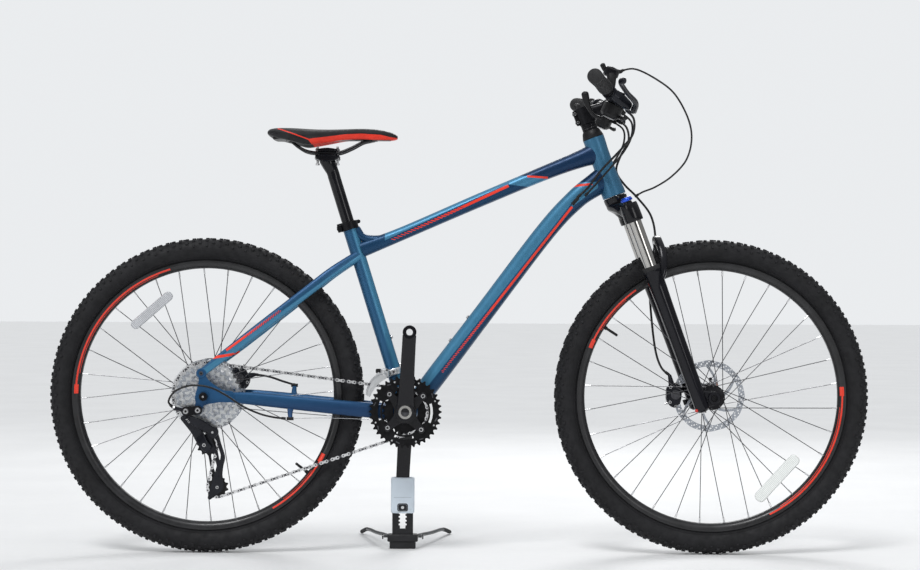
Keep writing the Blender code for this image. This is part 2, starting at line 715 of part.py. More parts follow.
def build_rear_hub():
    end = REAR_HUB_HALF - GAP
    rotor_face = REAR_ROTOR_Y - ROTOR_THICKNESS / 2 - GAP
    body = CASSETTE_INNER_Y + 0.0022
    tip = REAR_HUB_END_RADIUS
    shell = REAR_SHELL_RADIUS
    profile = [(0.0, end), (tip, end), (tip, rotor_face), (ROTOR_SEAT_RADIUS, rotor_face),
               (ROTOR_SEAT_RADIUS, rotor_face - ROTOR_SEAT_DEPTH),
               (shell, rotor_face - ROTOR_SEAT_DEPTH - 0.0040)]
    profile += flange_steps(REAR_FLANGES[1], shell)
    profile += flange_steps(REAR_FLANGES[0], shell)
    profile += [(shell, body), (tip, body), (tip, -end), (0.0, -end)]
    hub = hub_shell(REAR_AXLE, profile, SKEWER_RADIUS + GAP)
    hub = combined(hub, [spokes(REAR_AXLE, REAR_FLANGES, REAR_VALVE_DEG)])
    return sub_part(hub, "rear_hub", BLACK_METAL, REAR_AXLE)


def build_rotor(name, axle, y, hub_radius):
    """Brake disc: a track carried by six swept arms, with a window between each pair."""
    inner = ROTOR_RADIUS - ROTOR_TRACK
    middle = (ROTOR_HUB_RING + inner) / 2
    sweep = ROTOR_SWEEP
    half = ROTOR_ARM_HALF
    windows = []
    for index in range(ROTOR_ARMS):
        start = math.tau * index / ROTOR_ARMS
        after = start + math.tau / ROTOR_ARMS
        windows.append([
            polar(ROTOR_HUB_RING, start + half / ROTOR_HUB_RING),
            polar(middle, start + sweep * 0.45 + half / middle),
            polar(inner, start + sweep + half / inner),
            polar(inner, (start + after) / 2 + sweep),
            polar(inner, after + sweep - half / inner),
            polar(middle, after + sweep * 0.45 - half / middle),
            polar(ROTOR_HUB_RING, after - half / ROTOR_HUB_RING)])
    rotor = plate("rotor", circle_outline(ROTOR_RADIUS, 30), ROTOR_THICKNESS,
                  side_plane(axle.x, y, axle.z),
                  holes=[circle_outline(hub_radius / math.cos(math.pi / 12), 12), *windows])
    return sub_part(rotor, name, STEEL, axle)


# ---------------------------------------------------------------- chain and sprockets

def arc_radius(teeth):
    """Radius on which one chain pitch of arc belongs to each tooth."""
    return teeth * CHAIN_PITCH / math.tau


class Wheel:
    """A sprocket in the chain's path; sense +1 turns clockwise seen from the right."""

    def __init__(self, centre, teeth, sense, y):
        self.centre = complex(*centre)
        self.radius = arc_radius(teeth)
        self.teeth = teeth
        self.sense = sense
        self.y = y


class ChainPath:
    """Closed path of straight runs and arcs round the sprockets, met in driving order."""

    def __init__(self, wheels):
        self.wheels = wheels
        self.pieces = []
        runs = []
        for wheel, after in zip(wheels, wheels[1:] + wheels[:1]):
            offset = after.centre - wheel.centre
            lift = after.sense * after.radius - wheel.sense * wheel.radius
            length = math.sqrt(abs(offset) ** 2 - lift ** 2)
            heading = offset / complex(length, -lift)
            right = heading * -1j
            runs.append((wheel.centre - wheel.sense * wheel.radius * right,
                         after.centre - after.sense * after.radius * right, length, heading))
        start = 0.0
        for index, wheel in enumerate(wheels):
            leave, arrive, length, heading = runs[index]
            after = wheels[(index + 1) % len(wheels)]
            self.pieces.append(("run", start, length, leave, arrive, wheel.y, after.y))
            start += length
            next_heading = runs[(index + 1) % len(wheels)][3]
            turn = cmath.phase(next_heading / heading)
            if after.sense > 0 and turn > 0:
                turn -= math.tau
            if after.sense < 0 and turn < 0:
                turn += math.tau
            self.pieces.append(("arc", start, abs(turn) * after.radius, arrive, after, turn))
            start += abs(turn) * after.radius
        self.length = start
        self.links = 2 * round(start / CHAIN_PITCH / 2)
        self.pitch = start / self.links

    def at(self, distance):
        """Point (x, z), heading and side position at DISTANCE along the path."""
        distance %= self.length
        for piece in self.pieces:
            if distance <= piece[1] + piece[2] + 1e-12:
                break
        along = distance - piece[1]
        if piece[0] == "run":
            share = along / piece[2]
            leave, arrive = piece[3], piece[4]
            heading = (arrive - leave) / abs(arrive - leave)
            return leave + (arrive - leave) * share, heading, piece[5] + (piece[6] - piece[5]) * share
        arrive, wheel, turn = piece[3:]
        swing = cmath.exp(1j * turn * along / piece[2])
        arm = (arrive - wheel.centre) * swing
        return wheel.centre + arm, arm / abs(arm) * (-1j if turn < 0 else 1j), wheel.y

    def tooth_phase(self, wheel):
        """Angle of one of WHEEL's teeth, midway between two of the chain's pins."""
        piece = next(item for item in self.pieces if item[0] == "arc" and item[4] is wheel)
        link = math.ceil(piece[1] / self.pitch) + 0.5
        point = self.at(link * self.pitch)[0]
        return cmath.phase(point - wheel.centre)


CASSETTE_WHEEL = Wheel((REAR_AXLE.x, REAR_AXLE.z), CASSETTE_TEETH[0], 1, CASSETTE_INNER_Y)
RING_WHEEL = Wheel((BB_X, BB_Z), SMALL_RING_TEETH, 1, SMALL_RING_Y)
TENSION_WHEEL = Wheel((REAR_AXLE.x + TENSION_PULLEY[0], REAR_AXLE.z + TENSION_PULLEY[1]),
                      PULLEY_TEETH, 1, CASSETTE_INNER_Y)
GUIDE_WHEEL = Wheel((REAR_AXLE.x + GUIDE_PULLEY[0], REAR_AXLE.z + GUIDE_PULLEY[1]),
                    PULLEY_TEETH, -1, CASSETTE_INNER_Y)
CHAIN = ChainPath([CASSETTE_WHEEL, RING_WHEEL, TENSION_WHEEL, GUIDE_WHEEL])


def toothed_outline(teeth, phase=0.0, grow=0.0, fine=True):
    """Sprocket outline with its first tooth at PHASE; GROW widens it all round."""
    pitch_radius = CHAIN_PITCH / 2 / math.sin(math.pi / teeth)
    root = pitch_radius - ROOT_DEPTH + grow
    tip = pitch_radius + TOOTH_HEIGHT + grow
    tip_half = (0.0010 + grow) / tip
    root_half = math.pi / teeth - (0.0024 - grow) / root
    outline = []
    for index in range(teeth):
        middle = phase + math.tau * index / teeth
        if fine:
            corners = [(root, -root_half), (tip, -tip_half), (tip, tip_half), (root, root_half)]
        else:
            corners = [(tip, 0.0), (root, math.pi / teeth)]
        outline += [(radius * math.cos(middle + turn), radius * math.sin(middle + turn))
                    for radius, turn in corners]
    return outline


def sprocket(wheel_centre, teeth, y, phase=0.0, grow=0.0, fine=True, thickness=TOOTH_THICKNESS,
             holes=()):
    place = side_plane(wheel_centre.real, y, wheel_centre.imag)
    return plate("sprocket", toothed_outline(teeth, phase, grow, fine), thickness, place, holes)


def build_chain():
    """Band with a waist between pins, slotted where teeth stand in it."""
    half_tall = 0.0038
    half_waist = 0.0029
    rings = []
    for step in range(2 * CHAIN.links):
        point, heading, y = CHAIN.at(step * CHAIN.pitch / 2)
        tall = half_tall if step % 2 == 0 else half_waist
        wide = CHAIN_WIDTH / 2
        left = heading * 1j * tall
        rings.append([(point.real + s * left.real, y + w * wide, point.imag + s * left.imag)
                      for s, w in ((1, -1), (1, 1), (-1, 1), (-1, -1))])

    def build(work):
        rows = [[work.verts.new(point) for point in ring] for ring in rings]
        for low, high in zip(rows, rows[1:] + rows[:1]):
            for step in range(4):
                after = (step + 1) % 4
                work.faces.new((low[step], low[after], high[after], high[step]))
        bmesh.ops.recalc_face_normals(work, faces=work.faces)
    chain = mesh_object("chain", build)
    grow = 0.0003
    cutters = [sprocket(wheel.centre, wheel.teeth, wheel.y, CHAIN.tooth_phase(wheel), grow,
                        thickness=TOOTH_THICKNESS + 2 * grow)
               for wheel in CHAIN.wheels]
    return sub_part(cut(chain, cutters), "chain", STEEL)


def build_cassette():
    """Ten sprockets on one carrier that slides over the hub's body."""
    carrier_radius = 0.0170
    last_y = CASSETTE_INNER_Y - CASSETTE_SPACING * (len(CASSETTE_TEETH) - 1)
    inner = CASSETTE_INNER_Y + 0.0015
    outer = last_y - 0.0022
    sprockets = []
    for index, teeth in enumerate(CASSETTE_TEETH):
        first = index == 0
        phase = CHAIN.tooth_phase(CASSETTE_WHEEL) if first else SPROCKET_TURN * index
        sprockets.append(sprocket(CASSETTE_WHEEL.centre, teeth,
                                  CASSETTE_INNER_Y - CASSETTE_SPACING * index, phase, fine=first))
    axle = REAR_AXLE
    carrier = cylinder("carrier", (axle.x, inner, axle.z), (axle.x, outer, axle.z), carrier_radius,
                       sides=10)
    bore = cylinder("bore", axle - SIDE * 0.1, axle + SIDE * 0.1,
                    (REAR_HUB_END_RADIUS + GAP) / math.cos(math.pi / 12), sides=12)
    return sub_part(cut(combined(carrier, sprockets), [bore]), "cassette", STEEL, axle)


def build_pulley(name, wheel):
    centre = Vector((wheel.centre.real, wheel.y, wheel.centre.imag))
    pulley = sprocket(wheel.centre, wheel.teeth, wheel.y, CHAIN.tooth_phase(wheel),
                      holes=[circle_outline((PULLEY_BOLT_RADIUS + GAP) / math.cos(math.pi / 12), 12)])
    return sub_part(pulley, name, PLASTIC, centre)


# ---------------------------------------------------------------- crankset

CRANK_UP = Vector((math.sin(math.radians(CRANK_TILT_DEG)), 0.0,
                   math.cos(math.radians(CRANK_TILT_DEG))))
CRANK_MIDDLE_Y = CRANK_ARM_INNER_Y + CRANK_ARM_THICKNESS / 2


def crank_arm(side, root_y):
    """Arm with its pedal hole; the right one (SIDE -1) points up and the left one down."""
    along = CRANK_UP * -side
    half = CRANK_ARM_THICKNESS / 2
    stations = []
    for share, half_width, extra in ((0.0, 0.0195, 0.0015), (0.14, 0.0175, 0.0012),
                                     (0.50, 0.0155, 0.0003), (1.0, 0.0149, 0.0)):
        y = side * (root_y + (CRANK_MIDDLE_Y - root_y) * share)
        centre = BOTTOM_BRACKET + along * (CRANK_LENGTH * share) + SIDE * y
        stations.append(oval(centre, along, half_width, half + extra, 8, 4.0))
    arm = loft("arm", stations)
    boss = BOTTOM_BRACKET + SIDE * side * root_y
    eye = BOTTOM_BRACKET + along * CRANK_LENGTH + SIDE * side * CRANK_MIDDLE_Y
    arm = combined(arm, [
        cylinder("boss", boss - SIDE * (half + 0.0018), boss + SIDE * (half + 0.0018),
                 CRANK_BOSS_RADIUS, sides=16),
        cylinder("eye", eye - SIDE * (half - 0.0002), eye + SIDE * (half - 0.0002),
                 CRANK_EYE_RADIUS, sides=16)])
    hole = cylinder("hole", eye - SIDE * 0.02, eye + SIDE * 0.02, PEDAL_HOLE_RADIUS, sides=12)
    return cut(arm, [hole])


def spider(y, thickness):
    """Four-armed plate that carries the rings, round the bottom bracket's axis."""
    outline = []
    for index in range(4):
        middle = math.radians(45.0 - CRANK_TILT_DEG + 90.0 * index)
        for radius, turn in ((0.0240, -0.62), (BOLT_CIRCLE_LARGE + 0.0060, -0.10),
                             (BOLT_CIRCLE_LARGE + 0.0080, 0.0), (BOLT_CIRCLE_LARGE + 0.0060, 0.10),
                             (0.0240, 0.62)):
            outline.append((radius * math.cos(middle + turn), radius * math.sin(middle + turn)))
    return plate("spider", outline, thickness, side_plane(BB_X, y, BB_Z))


def build_crankset():
    ring_half = RING_THICKNESS / 2
    spider_y = LARGE_RING_Y - ring_half - GAP - SPIDER_THICKNESS / 2
    root_y = -spider_y + SPIDER_THICKNESS / 2 + CRANK_ARM_THICKNESS / 2 - 0.0005
    spindle_end = LEFT_CRANK_ROOT_Y + CRANK_ARM_THICKNESS / 2 + 0.0010
    extras = [spider(spider_y, SPIDER_THICKNESS)]
    extras.append(cylinder("spindle", BOTTOM_BRACKET - SIDE * (root_y + 0.0100),
                           BOTTOM_BRACKET + SIDE * spindle_end, SPINDLE_RADIUS, sides=16))
    extras.append(cylinder("end_ring", BOTTOM_BRACKET - SIDE * (root_y + 0.0095),
                           BOTTOM_BRACKET - SIDE * root_y, 0.0145, sides=16))
    extras.append(sprocket(RING_WHEEL.centre, SMALL_RING_TEETH, SMALL_RING_Y,
                           CHAIN.tooth_phase(RING_WHEEL), holes=[circle_outline(0.0270, 12)]))
    for index in range(4):
        degrees = 45.0 - CRANK_TILT_DEG + 90.0 * index
        post = wheel_point(BOTTOM_BRACKET, BOLT_CIRCLE_SMALL, degrees, 0.0)
        extras.append(cylinder("post", post + SIDE * spider_y, post + SIDE * (SMALL_RING_Y + 0.002),
                               0.0050, sides=6))
        bolt = wheel_point(BOTTOM_BRACKET, BOLT_CIRCLE_LARGE, degrees, 0.0)
        head = LARGE_RING_Y + ring_half + GAP
        extras.append(cylinder("bolt", bolt + SIDE * (spider_y - 0.0035), bolt + SIDE * head,
                               RING_BOLT_RADIUS, sides=6))
        extras.append(cylinder("bolt_head", bolt + SIDE * head, bolt + SIDE * (head + 0.0012),
                               0.0060, sides=6))
    right = combined(crank_arm(-1, root_y), extras)
    bore = cylinder("bore", BOTTOM_BRACKET - SIDE * 0.1, BOTTOM_BRACKET + SIDE * 0.1, SPINDLE_BORE,
                    sides=16)
    sub_part(cut(right, [bore]), "crank_right", GLOSS_BLACK, BOTTOM_BRACKET)

    hole = cylinder("bore", BOTTOM_BRACKET, BOTTOM_BRACKET + SIDE * 0.1, SPINDLE_RADIUS + GAP,
                    sides=16)
    sub_part(cut(crank_arm(1, LEFT_CRANK_ROOT_Y), [hole]), "crank_left", GLOSS_BLACK, BOTTOM_BRACKET)

    inside = []
    bolt_holes = []
    for index in range(4):
        middle = math.radians(45.0 - CRANK_TILT_DEG + 90.0 * index)
        inside += [polar(0.0435, middle - 0.13), polar(0.0435, middle + 0.13),
                   polar(0.0520, middle + 0.24), polar(0.0585, middle + 0.30),
                   polar(0.0615, middle + 0.55), polar(0.0615, middle + math.pi / 4),
                   polar(0.0615, middle + math.pi / 2 - 0.55),
                   polar(0.0585, middle + math.pi / 2 - 0.30),
                   polar(0.0520, middle + math.pi / 2 - 0.24)]
        bolt_holes.append(circle_outline(RING_BOLT_RADIUS + 2 * GAP, 8,
                                         *polar(BOLT_CIRCLE_LARGE, middle)))
    ring = sprocket(RING_WHEEL.centre, LARGE_RING_TEETH, LARGE_RING_Y, fine=False,
                    thickness=RING_THICKNESS, holes=[inside, *bolt_holes])
    sub_part(ring, "chainring_large", GLOSS_BLACK, BOTTOM_BRACKET)


def build_bottom_bracket():
    """Two cups joined by a sleeve inside the shell."""
    bore = SPINDLE_RADIUS + GAP
    inner = BB_SHELL_HALF + GAP
    outer = BB_SHELL_HALF + 0.0110
    body = BB_BORE_RADIUS - GAP
    profile = [(0.0195, outer), (0.0212, outer - 0.002), (0.0212, inner), (body, inner),
               (body, -inner), (0.0212, -inner), (0.0212, -outer + 0.002), (0.0195, -outer),
               (bore, -outer), (bore, outer)]
    sub_part(turned("bottom_bracket", profile, BOTTOM_BRACKET, SIDE, 16), "bottom_bracket",
             BLACK_METAL)


# ---------------------------------------------------------------- derailleurs

B_PIVOT = REAR_AXLE + Vector((-0.0375, -0.0798, -0.0318))
HANGER_BOLT = REAR_AXLE + Vector((-0.0113, -0.0798, -0.0296))
CAGE_PIVOT = REAR_AXLE + Vector((0.0170, -0.0322, -0.0797))
CABLE_STOP = B_PIVOT + Vector((-0.0270, 0.0075, 0.0060))


def build_hanger():
    """Replaceable hanger on the right dropout, with the link that carries the derailleur."""
    inner = REAR_HUB_HALF + DROPOUT_THICKNESS + GAP
    axle = REAR_AXLE - SIDE * (inner + 0.0025)
    ring = cylinder("ring", axle - SIDE * 0.0025, axle + SIDE * 0.0025, 0.0108, sides=16)
    down = HANGER_BOLT - REAR_AXLE
    web = plate("web", [(-0.0090, 0.0), (0.0070, -0.004), (down.x + 0.0085, down.z),
                        (down.x, down.z - 0.0085), (down.x - 0.0085, down.z)], 0.0050,
                side_plane(axle.x, axle.y, axle.z))
    link_y = HANGER_BOLT.y - 0.0035
    link = frame_tube("link", [((HANGER_BOLT.x + 0.0080, link_y, HANGER_BOLT.z), 0.0070, 0.0032),
                               ((HANGER_BOLT.x, link_y, HANGER_BOLT.z), 0.0095, 0.0038),
                               ((B_PIVOT.x, link_y, B_PIVOT.z), 0.0095, 0.0038),
                               ((B_PIVOT.x - 0.0080, link_y, B_PIVOT.z), 0.0070, 0.0032)], 8, 3.0)
    bolts = []
    for bolt in (HANGER_BOLT, B_PIVOT):
        bolts.append(cylinder("bolt", (bolt.x, link_y, bolt.z), (bolt.x, link_y - 0.0060, bolt.z),
                              0.0062, sides=12))
    hole = cylinder("hole", axle - SIDE * 0.02, axle + SIDE * 0.02, REAR_AXLE_RADIUS + GAP, sides=12)
    hanger = cut(combined(ring, [web, link, *bolts]), [hole])
    sub_part(hanger, "derailleur_hanger", BLACK_METAL)


def build_rear_derailleur():
    """Body with its parallelogram, and the long cage that holds both pulleys."""
    start = Vector((B_PIVOT.x, B_PIVOT.y + GAP, B_PIVOT.z))
    knuckle = cylinder("knuckle", start, start + SIDE * 0.0140, 0.0100, sides=16)
    pivot_face = CAGE_PIVOT.y - GAP
    lower = Vector((CAGE_PIVOT.x, pivot_face - 0.0100, CAGE_PIVOT.z))
    shoulder = start + Vector((0.0020, 0.0070, -0.0170))
    neck = frame_tube("neck", [(start + Vector((0.0, 0.0070, 0.0)), 0.0090, 0.0065),
                               (shoulder, 0.0100, 0.0070)], 8, 3.0)
    outer = frame_tube("outer_plate", [(shoulder + Vector((-0.002, -0.0030, 0.0020)), 0.0075, 0.0040),
                                       (lower.lerp(shoulder, 0.5) + Vector((0.0, -0.006, 0.003)),
                                        0.0105, 0.0040),
                                       (lower + Vector((0.0, -0.0040, 0.0020)), 0.0085, 0.0040)],
                       8, 3.0)
    inner = frame_tube("inner_plate", [(shoulder + Vector((0.0, 0.0050, -0.0010)), 0.0070, 0.0030),
                                       (lower + Vector((0.0, 0.0050, 0.0)), 0.0080, 0.0030)],
                       8, 3.0)
    socket = cylinder("socket", (CAGE_PIVOT.x, pivot_face, CAGE_PIVOT.z),
                      (CAGE_PIVOT.x, pivot_face - 0.0180, CAGE_PIVOT.z), 0.0115, sides=16)
    cable_stop = tube("stop", [start + Vector((0.0, 0.0070, -0.0020)), CABLE_STOP], 0.0042)
    body = combined(knuckle, [neck, outer, inner, socket, cable_stop])
    sub_part(body, "derailleur_body", BLACK_METAL, B_PIVOT)

    origin = REAR_AXLE
    outer_outline = [(0.0060, -0.0760), (0.0160, -0.0700), (0.0270, -0.0780), (0.0340, -0.1050),
                     (0.0435, -0.1320), (0.0400, -0.1550), (0.0370, -0.1850), (0.0400, -0.2000),
                     (0.0340, -0.2120), (0.0100, -0.2300), (0.0040, -0.2260), (0.0130, -0.1950),
                     (0.0220, -0.1680), (0.0280, -0.1350), (0.0180, -0.1180), (0.0020, -0.1120),
                     (-0.0030, -0.1000)]
    inner_outline = [(-0.0040, -0.0980), (0.0060, -0.0945), (0.0190, -0.1020), (0.0300, -0.1500),
                     (0.0390, -0.1960), (0.0300, -0.2100), (0.0180, -0.2020), (0.0100, -0.1600),
                     (-0.0020, -0.1120)]
    outer_y = CASSETTE_INNER_Y - (CAGE_GAP + CAGE_THICKNESS) / 2
    inner_y = CASSETTE_INNER_Y + (CAGE_GAP + CAGE_THICKNESS) / 2
    cage = plate("cage", list(reversed(outer_outline)), CAGE_THICKNESS,
                 side_plane(origin.x, outer_y, origin.z))
    pieces = [plate("inner", list(reversed(inner_outline)), CAGE_THICKNESS,
                    side_plane(origin.x, inner_y, origin.z))]
    for wheel in (GUIDE_WHEEL, TENSION_WHEEL):
        centre = Vector((wheel.centre.real, 0.0, wheel.centre.imag))
        pieces.append(cylinder("bolt", centre + SIDE * (outer_y - 0.0015),
                               centre + SIDE * (inner_y + 0.0005), PULLEY_BOLT_RADIUS, sides=12))
    sub_part(combined(cage, pieces), "derailleur_cage", BLACK_METAL, CAGE_PIVOT)
    build_pulley("guide_pulley", GUIDE_WHEEL)
    build_pulley("tension_pulley", TENSION_WHEEL)


def build_front_derailleur():
    clamp_middle = seat_tube_point(FRONT_DERAILLEUR_UP)
    up = (seat_tube_point(1.0) - BOTTOM_BRACKET).normalized()
    inner = SEAT_TUBE_RADIUS + GAP
    band = turned("band", [(inner + 0.0035, 0.0070), (inner + 0.0035, -0.0070), (inner, -0.0070),
                           (inner, 0.0070)], clamp_middle, up, 20)
    body = box("body", (clamp_middle.x - 0.0190, -0.0225, clamp_middle.z - 0.0030),
               (0.0170, 0.0200, 0.0200))
    arm = box("arm", (clamp_middle.x - 0.0160, -0.0120, clamp_middle.z), (0.0120, 0.0120, 0.0120))
    foot = combined(band, [rounded(body, 0.003), arm])
    bore = cylinder("bore", clamp_middle - up * 0.03, clamp_middle + up * 0.03, inner, sides=20)
    sub_part(cut(foot, [bore]), "front_derailleur_body", SILVER)

    def arc_plate(y, low, high, first, last):
        outline = []
        steps = 6
        for step in range(steps + 1):
            angle = math.radians(first + (last - first) * step / steps)
            outline.append((high * math.cos(angle), high * math.sin(angle)))
        for step in range(steps, -1, -1):
            angle = math.radians(first + (last - first) * step / steps)
            outline.append((low * math.cos(angle), low * math.sin(angle)))
        return plate("cage_plate", outline, 0.0015, side_plane(BB_X, y, BB_Z))
    tip = CHAIN_PITCH * LARGE_RING_TEETH / math.tau + TOOTH_HEIGHT
    low = tip + 0.0045
    outer_y = SMALL_RING_Y - 0.0040
    inner_y = SMALL_RING_Y + 0.0098
    outer = arc_plate(outer_y, low, tip + 0.0210, FRONT_CAGE_FIRST_DEG, FRONT_CAGE_LAST_DEG)
    inner = arc_plate(inner_y, low, tip + 0.0250, FRONT_CAGE_FIRST_DEG, FRONT_CAGE_LAST_DEG)
    bridges = []
    for radius, degrees in ((tip + 0.0200, FRONT_CAGE_FIRST_DEG + 3.0),
                            (low + 0.0030, FRONT_CAGE_LAST_DEG - 3.0)):
        place = wheel_point(BOTTOM_BRACKET, radius, degrees, (outer_y + inner_y) / 2)
        bridges.append(box("bridge", place, (0.0040, inner_y - outer_y, 0.0020)))
    sub_part(combined(outer, [inner, *bridges]), "front_derailleur_cage", SILVER)


# ---------------------------------------------------------------- axles and brakes

def build_axles():
    end = REAR_HUB_HALF + DROPOUT_THICKNESS + GAP
    right_end = end + 0.0050 + GAP
    rod = cylinder("rod", REAR_AXLE - SIDE * (right_end + 0.0105), REAR_AXLE + SIDE * (end + 0.008),
                   SKEWER_RADIUS, sides=12)
    nut = cylinder("nut", REAR_AXLE - SIDE * right_end, REAR_AXLE - SIDE * (right_end + 0.0110),
                   0.0098, 0.0080, 16)
    cam = cylinder("cam", REAR_AXLE + SIDE * end, REAR_AXLE + SIDE * (end + 0.0110), 0.0095,
                   sides=16)
    sub_part(combined(rod, [nut, cam]), "rear_axle", BLACK_METAL)
    pivot = REAR_AXLE + SIDE * (end + 0.0170)
    lever = tube("lever", [pivot, pivot + Vector((-0.0280, 0.0010, 0.0050)),
                           pivot + Vector((-0.0560, -0.0010, 0.0130))], 0.0038, 2,
                 (1.0, 1.1, 0.8))
    sub_part(lever, "rear_axle_lever", BLACK_METAL, pivot)

    outer = FRONT_HUB_HALF + 0.0220
    rod = cylinder("axle", FRONT_AXLE - SIDE * outer, FRONT_AXLE + SIDE * (outer + 0.0060),
                   FRONT_AXLE_RADIUS, sides=16)
    head = cylinder("head", FRONT_AXLE + SIDE * (outer + GAP), FRONT_AXLE + SIDE * (outer + 0.0075),
                    0.0115, sides=16)
    bore = cylinder("bore", FRONT_AXLE - SIDE * 0.1, FRONT_AXLE + SIDE * (outer - 0.004), 0.0055,
                    sides=12)
    pivot = FRONT_AXLE + SIDE * (outer + 0.0075)
    lever = tube("lever", [pivot, pivot + Vector((0.0120, 0.0060, 0.0200)),
                           pivot + Vector((0.0235, 0.0040, 0.0390))], 0.0045, 1, (1.0, 1.1, 0.9))
    axle = combined(cut(combined(rod, [head]), [bore]), [lever])
    sub_part(axle, "front_axle", BLACK_METAL, FRONT_AXLE)


def build_calipers():
    """Each body bridges its rotor outside the track and carries the pads either side."""
    for name, axle, degrees, rotor_y, outer_y in (
            ("front_caliper", FRONT_AXLE, FRONT_CALIPER_DEG, FRONT_ROTOR_Y, 0.0150),
            ("rear_caliper", REAR_AXLE, REAR_CALIPER_DEG, REAR_ROTOR_Y, 0.0145)):
        turn = Matrix.Rotation(-math.radians(degrees), 4, "Y")
        centre = wheel_point(axle, ROTOR_RADIUS - 0.0010, degrees,
                             rotor_y + (outer_y - CALIPER_INNER) / 2)
        body = rounded(box("caliper", centre, (CALIPER_HEIGHT, outer_y + CALIPER_INNER,
                                               CALIPER_LENGTH), turn), 0.0035)
        gap_centre = wheel_point(axle, ROTOR_RADIUS - ROTOR_TRACK, degrees, rotor_y)
        slot = box("slot", gap_centre, (CALIPER_HEIGHT - 0.0040,
                                        ROTOR_THICKNESS + 2 * PAD_CLEARANCE,
                                        CALIPER_LENGTH + 0.0160), turn)
        sub_part(cut(body, [slot]), name, BLACK_METAL)


# ---------------------------------------------------------------- fork

def build_fork():
    column_top = HEAD_TUBE_LENGTH + COVER_HEIGHT + STEM_HEIGHT - 0.0030
    steerer = cylinder("steerer", steer_point(0, 0, -0.020), steer_point(0, 0, column_top),
                       STEERER_RADIUS, sides=12)
    race = cylinder("race", steer_point(0, 0, -0.020), steer_point(0, 0, -0.0006), 0.0262, sides=16)
    rings = []
    for y, ahead, up, half_ahead, half_up in (
            (-LEG_SIDE, LEG_FORWARD, -0.0440, 0.0150, 0.0140),
            (-0.0350, 0.0085, -0.0290, 0.0210, 0.0125), (0.0, 0.0, -0.0190, 0.0250, 0.0120),
            (0.0350, 0.0085, -0.0290, 0.0210, 0.0125),
            (LEG_SIDE, LEG_FORWARD, -0.0440, 0.0150, 0.0140)):
        ring = []
        for step in range(12):
            angle = math.tau * (step + 0.5) / 12
            x = math.copysign(abs(math.cos(angle)) ** 0.7, math.cos(angle)) * half_ahead
            z = math.copysign(abs(math.sin(angle)) ** 0.7, math.sin(angle)) * half_up
            ring.append(steer_point(ahead + x, y, up + z))
        rings.append(ring)
    bridge = loft("bridge", rings)
    pieces = [race, bridge]
    for side in (-1, 1):
        y = side * LEG_SIDE
        pieces.append(cylinder("clamp", steer_point(LEG_FORWARD, y, CROWN_CLAMP_BOTTOM),
                               steer_point(LEG_FORWARD, y, CROWN_CLAMP_TOP), CROWN_CLAMP_RADIUS,
                               CROWN_CLAMP_RADIUS - 0.0010, sides=12))
        pieces.append(cylinder("cap", steer_point(LEG_FORWARD, y, CROWN_CLAMP_TOP - 0.01),
                               steer_point(LEG_FORWARD, y, CROWN_CLAMP_TOP + 0.0050), 0.0095,
                               sides=12))
        pieces.append(cylinder("stanchion",
                               steer_point(LEG_FORWARD, y, CROWN_CLAMP_BOTTOM - FORK_EXPOSED
                                           - STANCHION_INSERTED),
                               steer_point(LEG_FORWARD, y, CROWN_CLAMP_BOTTOM + 0.01),
                               STANCHION_RADIUS, sides=12))
    sub_part(combined(steerer, pieces), "fork_crown", GLOSS_BLACK, HEAD_BOTTOM)

    dial_base = CROWN_CLAMP_TOP + 0.0050 + GAP
    dial = cylinder("dial", steer_point(LEG_FORWARD, -LEG_SIDE, dial_base),
                    steer_point(LEG_FORWARD, -LEG_SIDE, dial_base + 0.0090), 0.0125, 0.0110, 16)
    sub_part(dial, "lockout_dial", BLUE_DIAL, steer_point(LEG_FORWARD, -LEG_SIDE, dial_base))
    build_lowers()


LOWER_TOP = CROWN_CLAMP_BOTTOM - FORK_EXPOSED
LEG_BOTTOM = AXLE_UP - 0.0160


def fork_leg(side):
    y = side * LEG_SIDE
    leg = cylinder("leg", steer_point(LEG_FORWARD, y, LEG_BOTTOM),
                   steer_point(LEG_FORWARD, y, LOWER_TOP - 0.0100), LOWER_BOTTOM_RADIUS,
                   LOWER_TOP_RADIUS, 12)
    seal = cylinder("seal", steer_point(LEG_FORWARD, y, LOWER_TOP - 0.0160),
                    steer_point(LEG_FORWARD, y, LOWER_TOP), 0.0206, 0.0196, 12)
    ahead = AXLE_AHEAD
    low = AXLE_UP
    outline = [(LEG_FORWARD - 0.0125, low + 0.0400), (LEG_FORWARD + 0.0100, low + 0.0300),
               (ahead, low + 0.0150), (ahead + 0.0135, low + 0.0070), (ahead + 0.0135, low - 0.0070),
               (ahead, low - 0.0150), (LEG_FORWARD + 0.0050, low - 0.0170),
               (LEG_FORWARD - 0.0120, low - 0.0120)]
    thickness = 0.0160
    middle = FRONT_HUB_HALF + thickness / 2
    turn = Matrix((STEER_AHEAD, STEER_UP, STEER_AHEAD.cross(STEER_UP))).transposed().to_4x4()
    place = Matrix.Translation(steer_point(0.0, side * middle, 0.0)) @ turn
    tab = plate("tab", outline, thickness, place)
    boss = cylinder("boss", FRONT_AXLE + SIDE * side * (FRONT_HUB_HALF + 0.0010),
                    FRONT_AXLE + SIDE * side * (FRONT_HUB_HALF + 0.0220), 0.0135, sides=12)
    return [leg, seal, tab, boss]


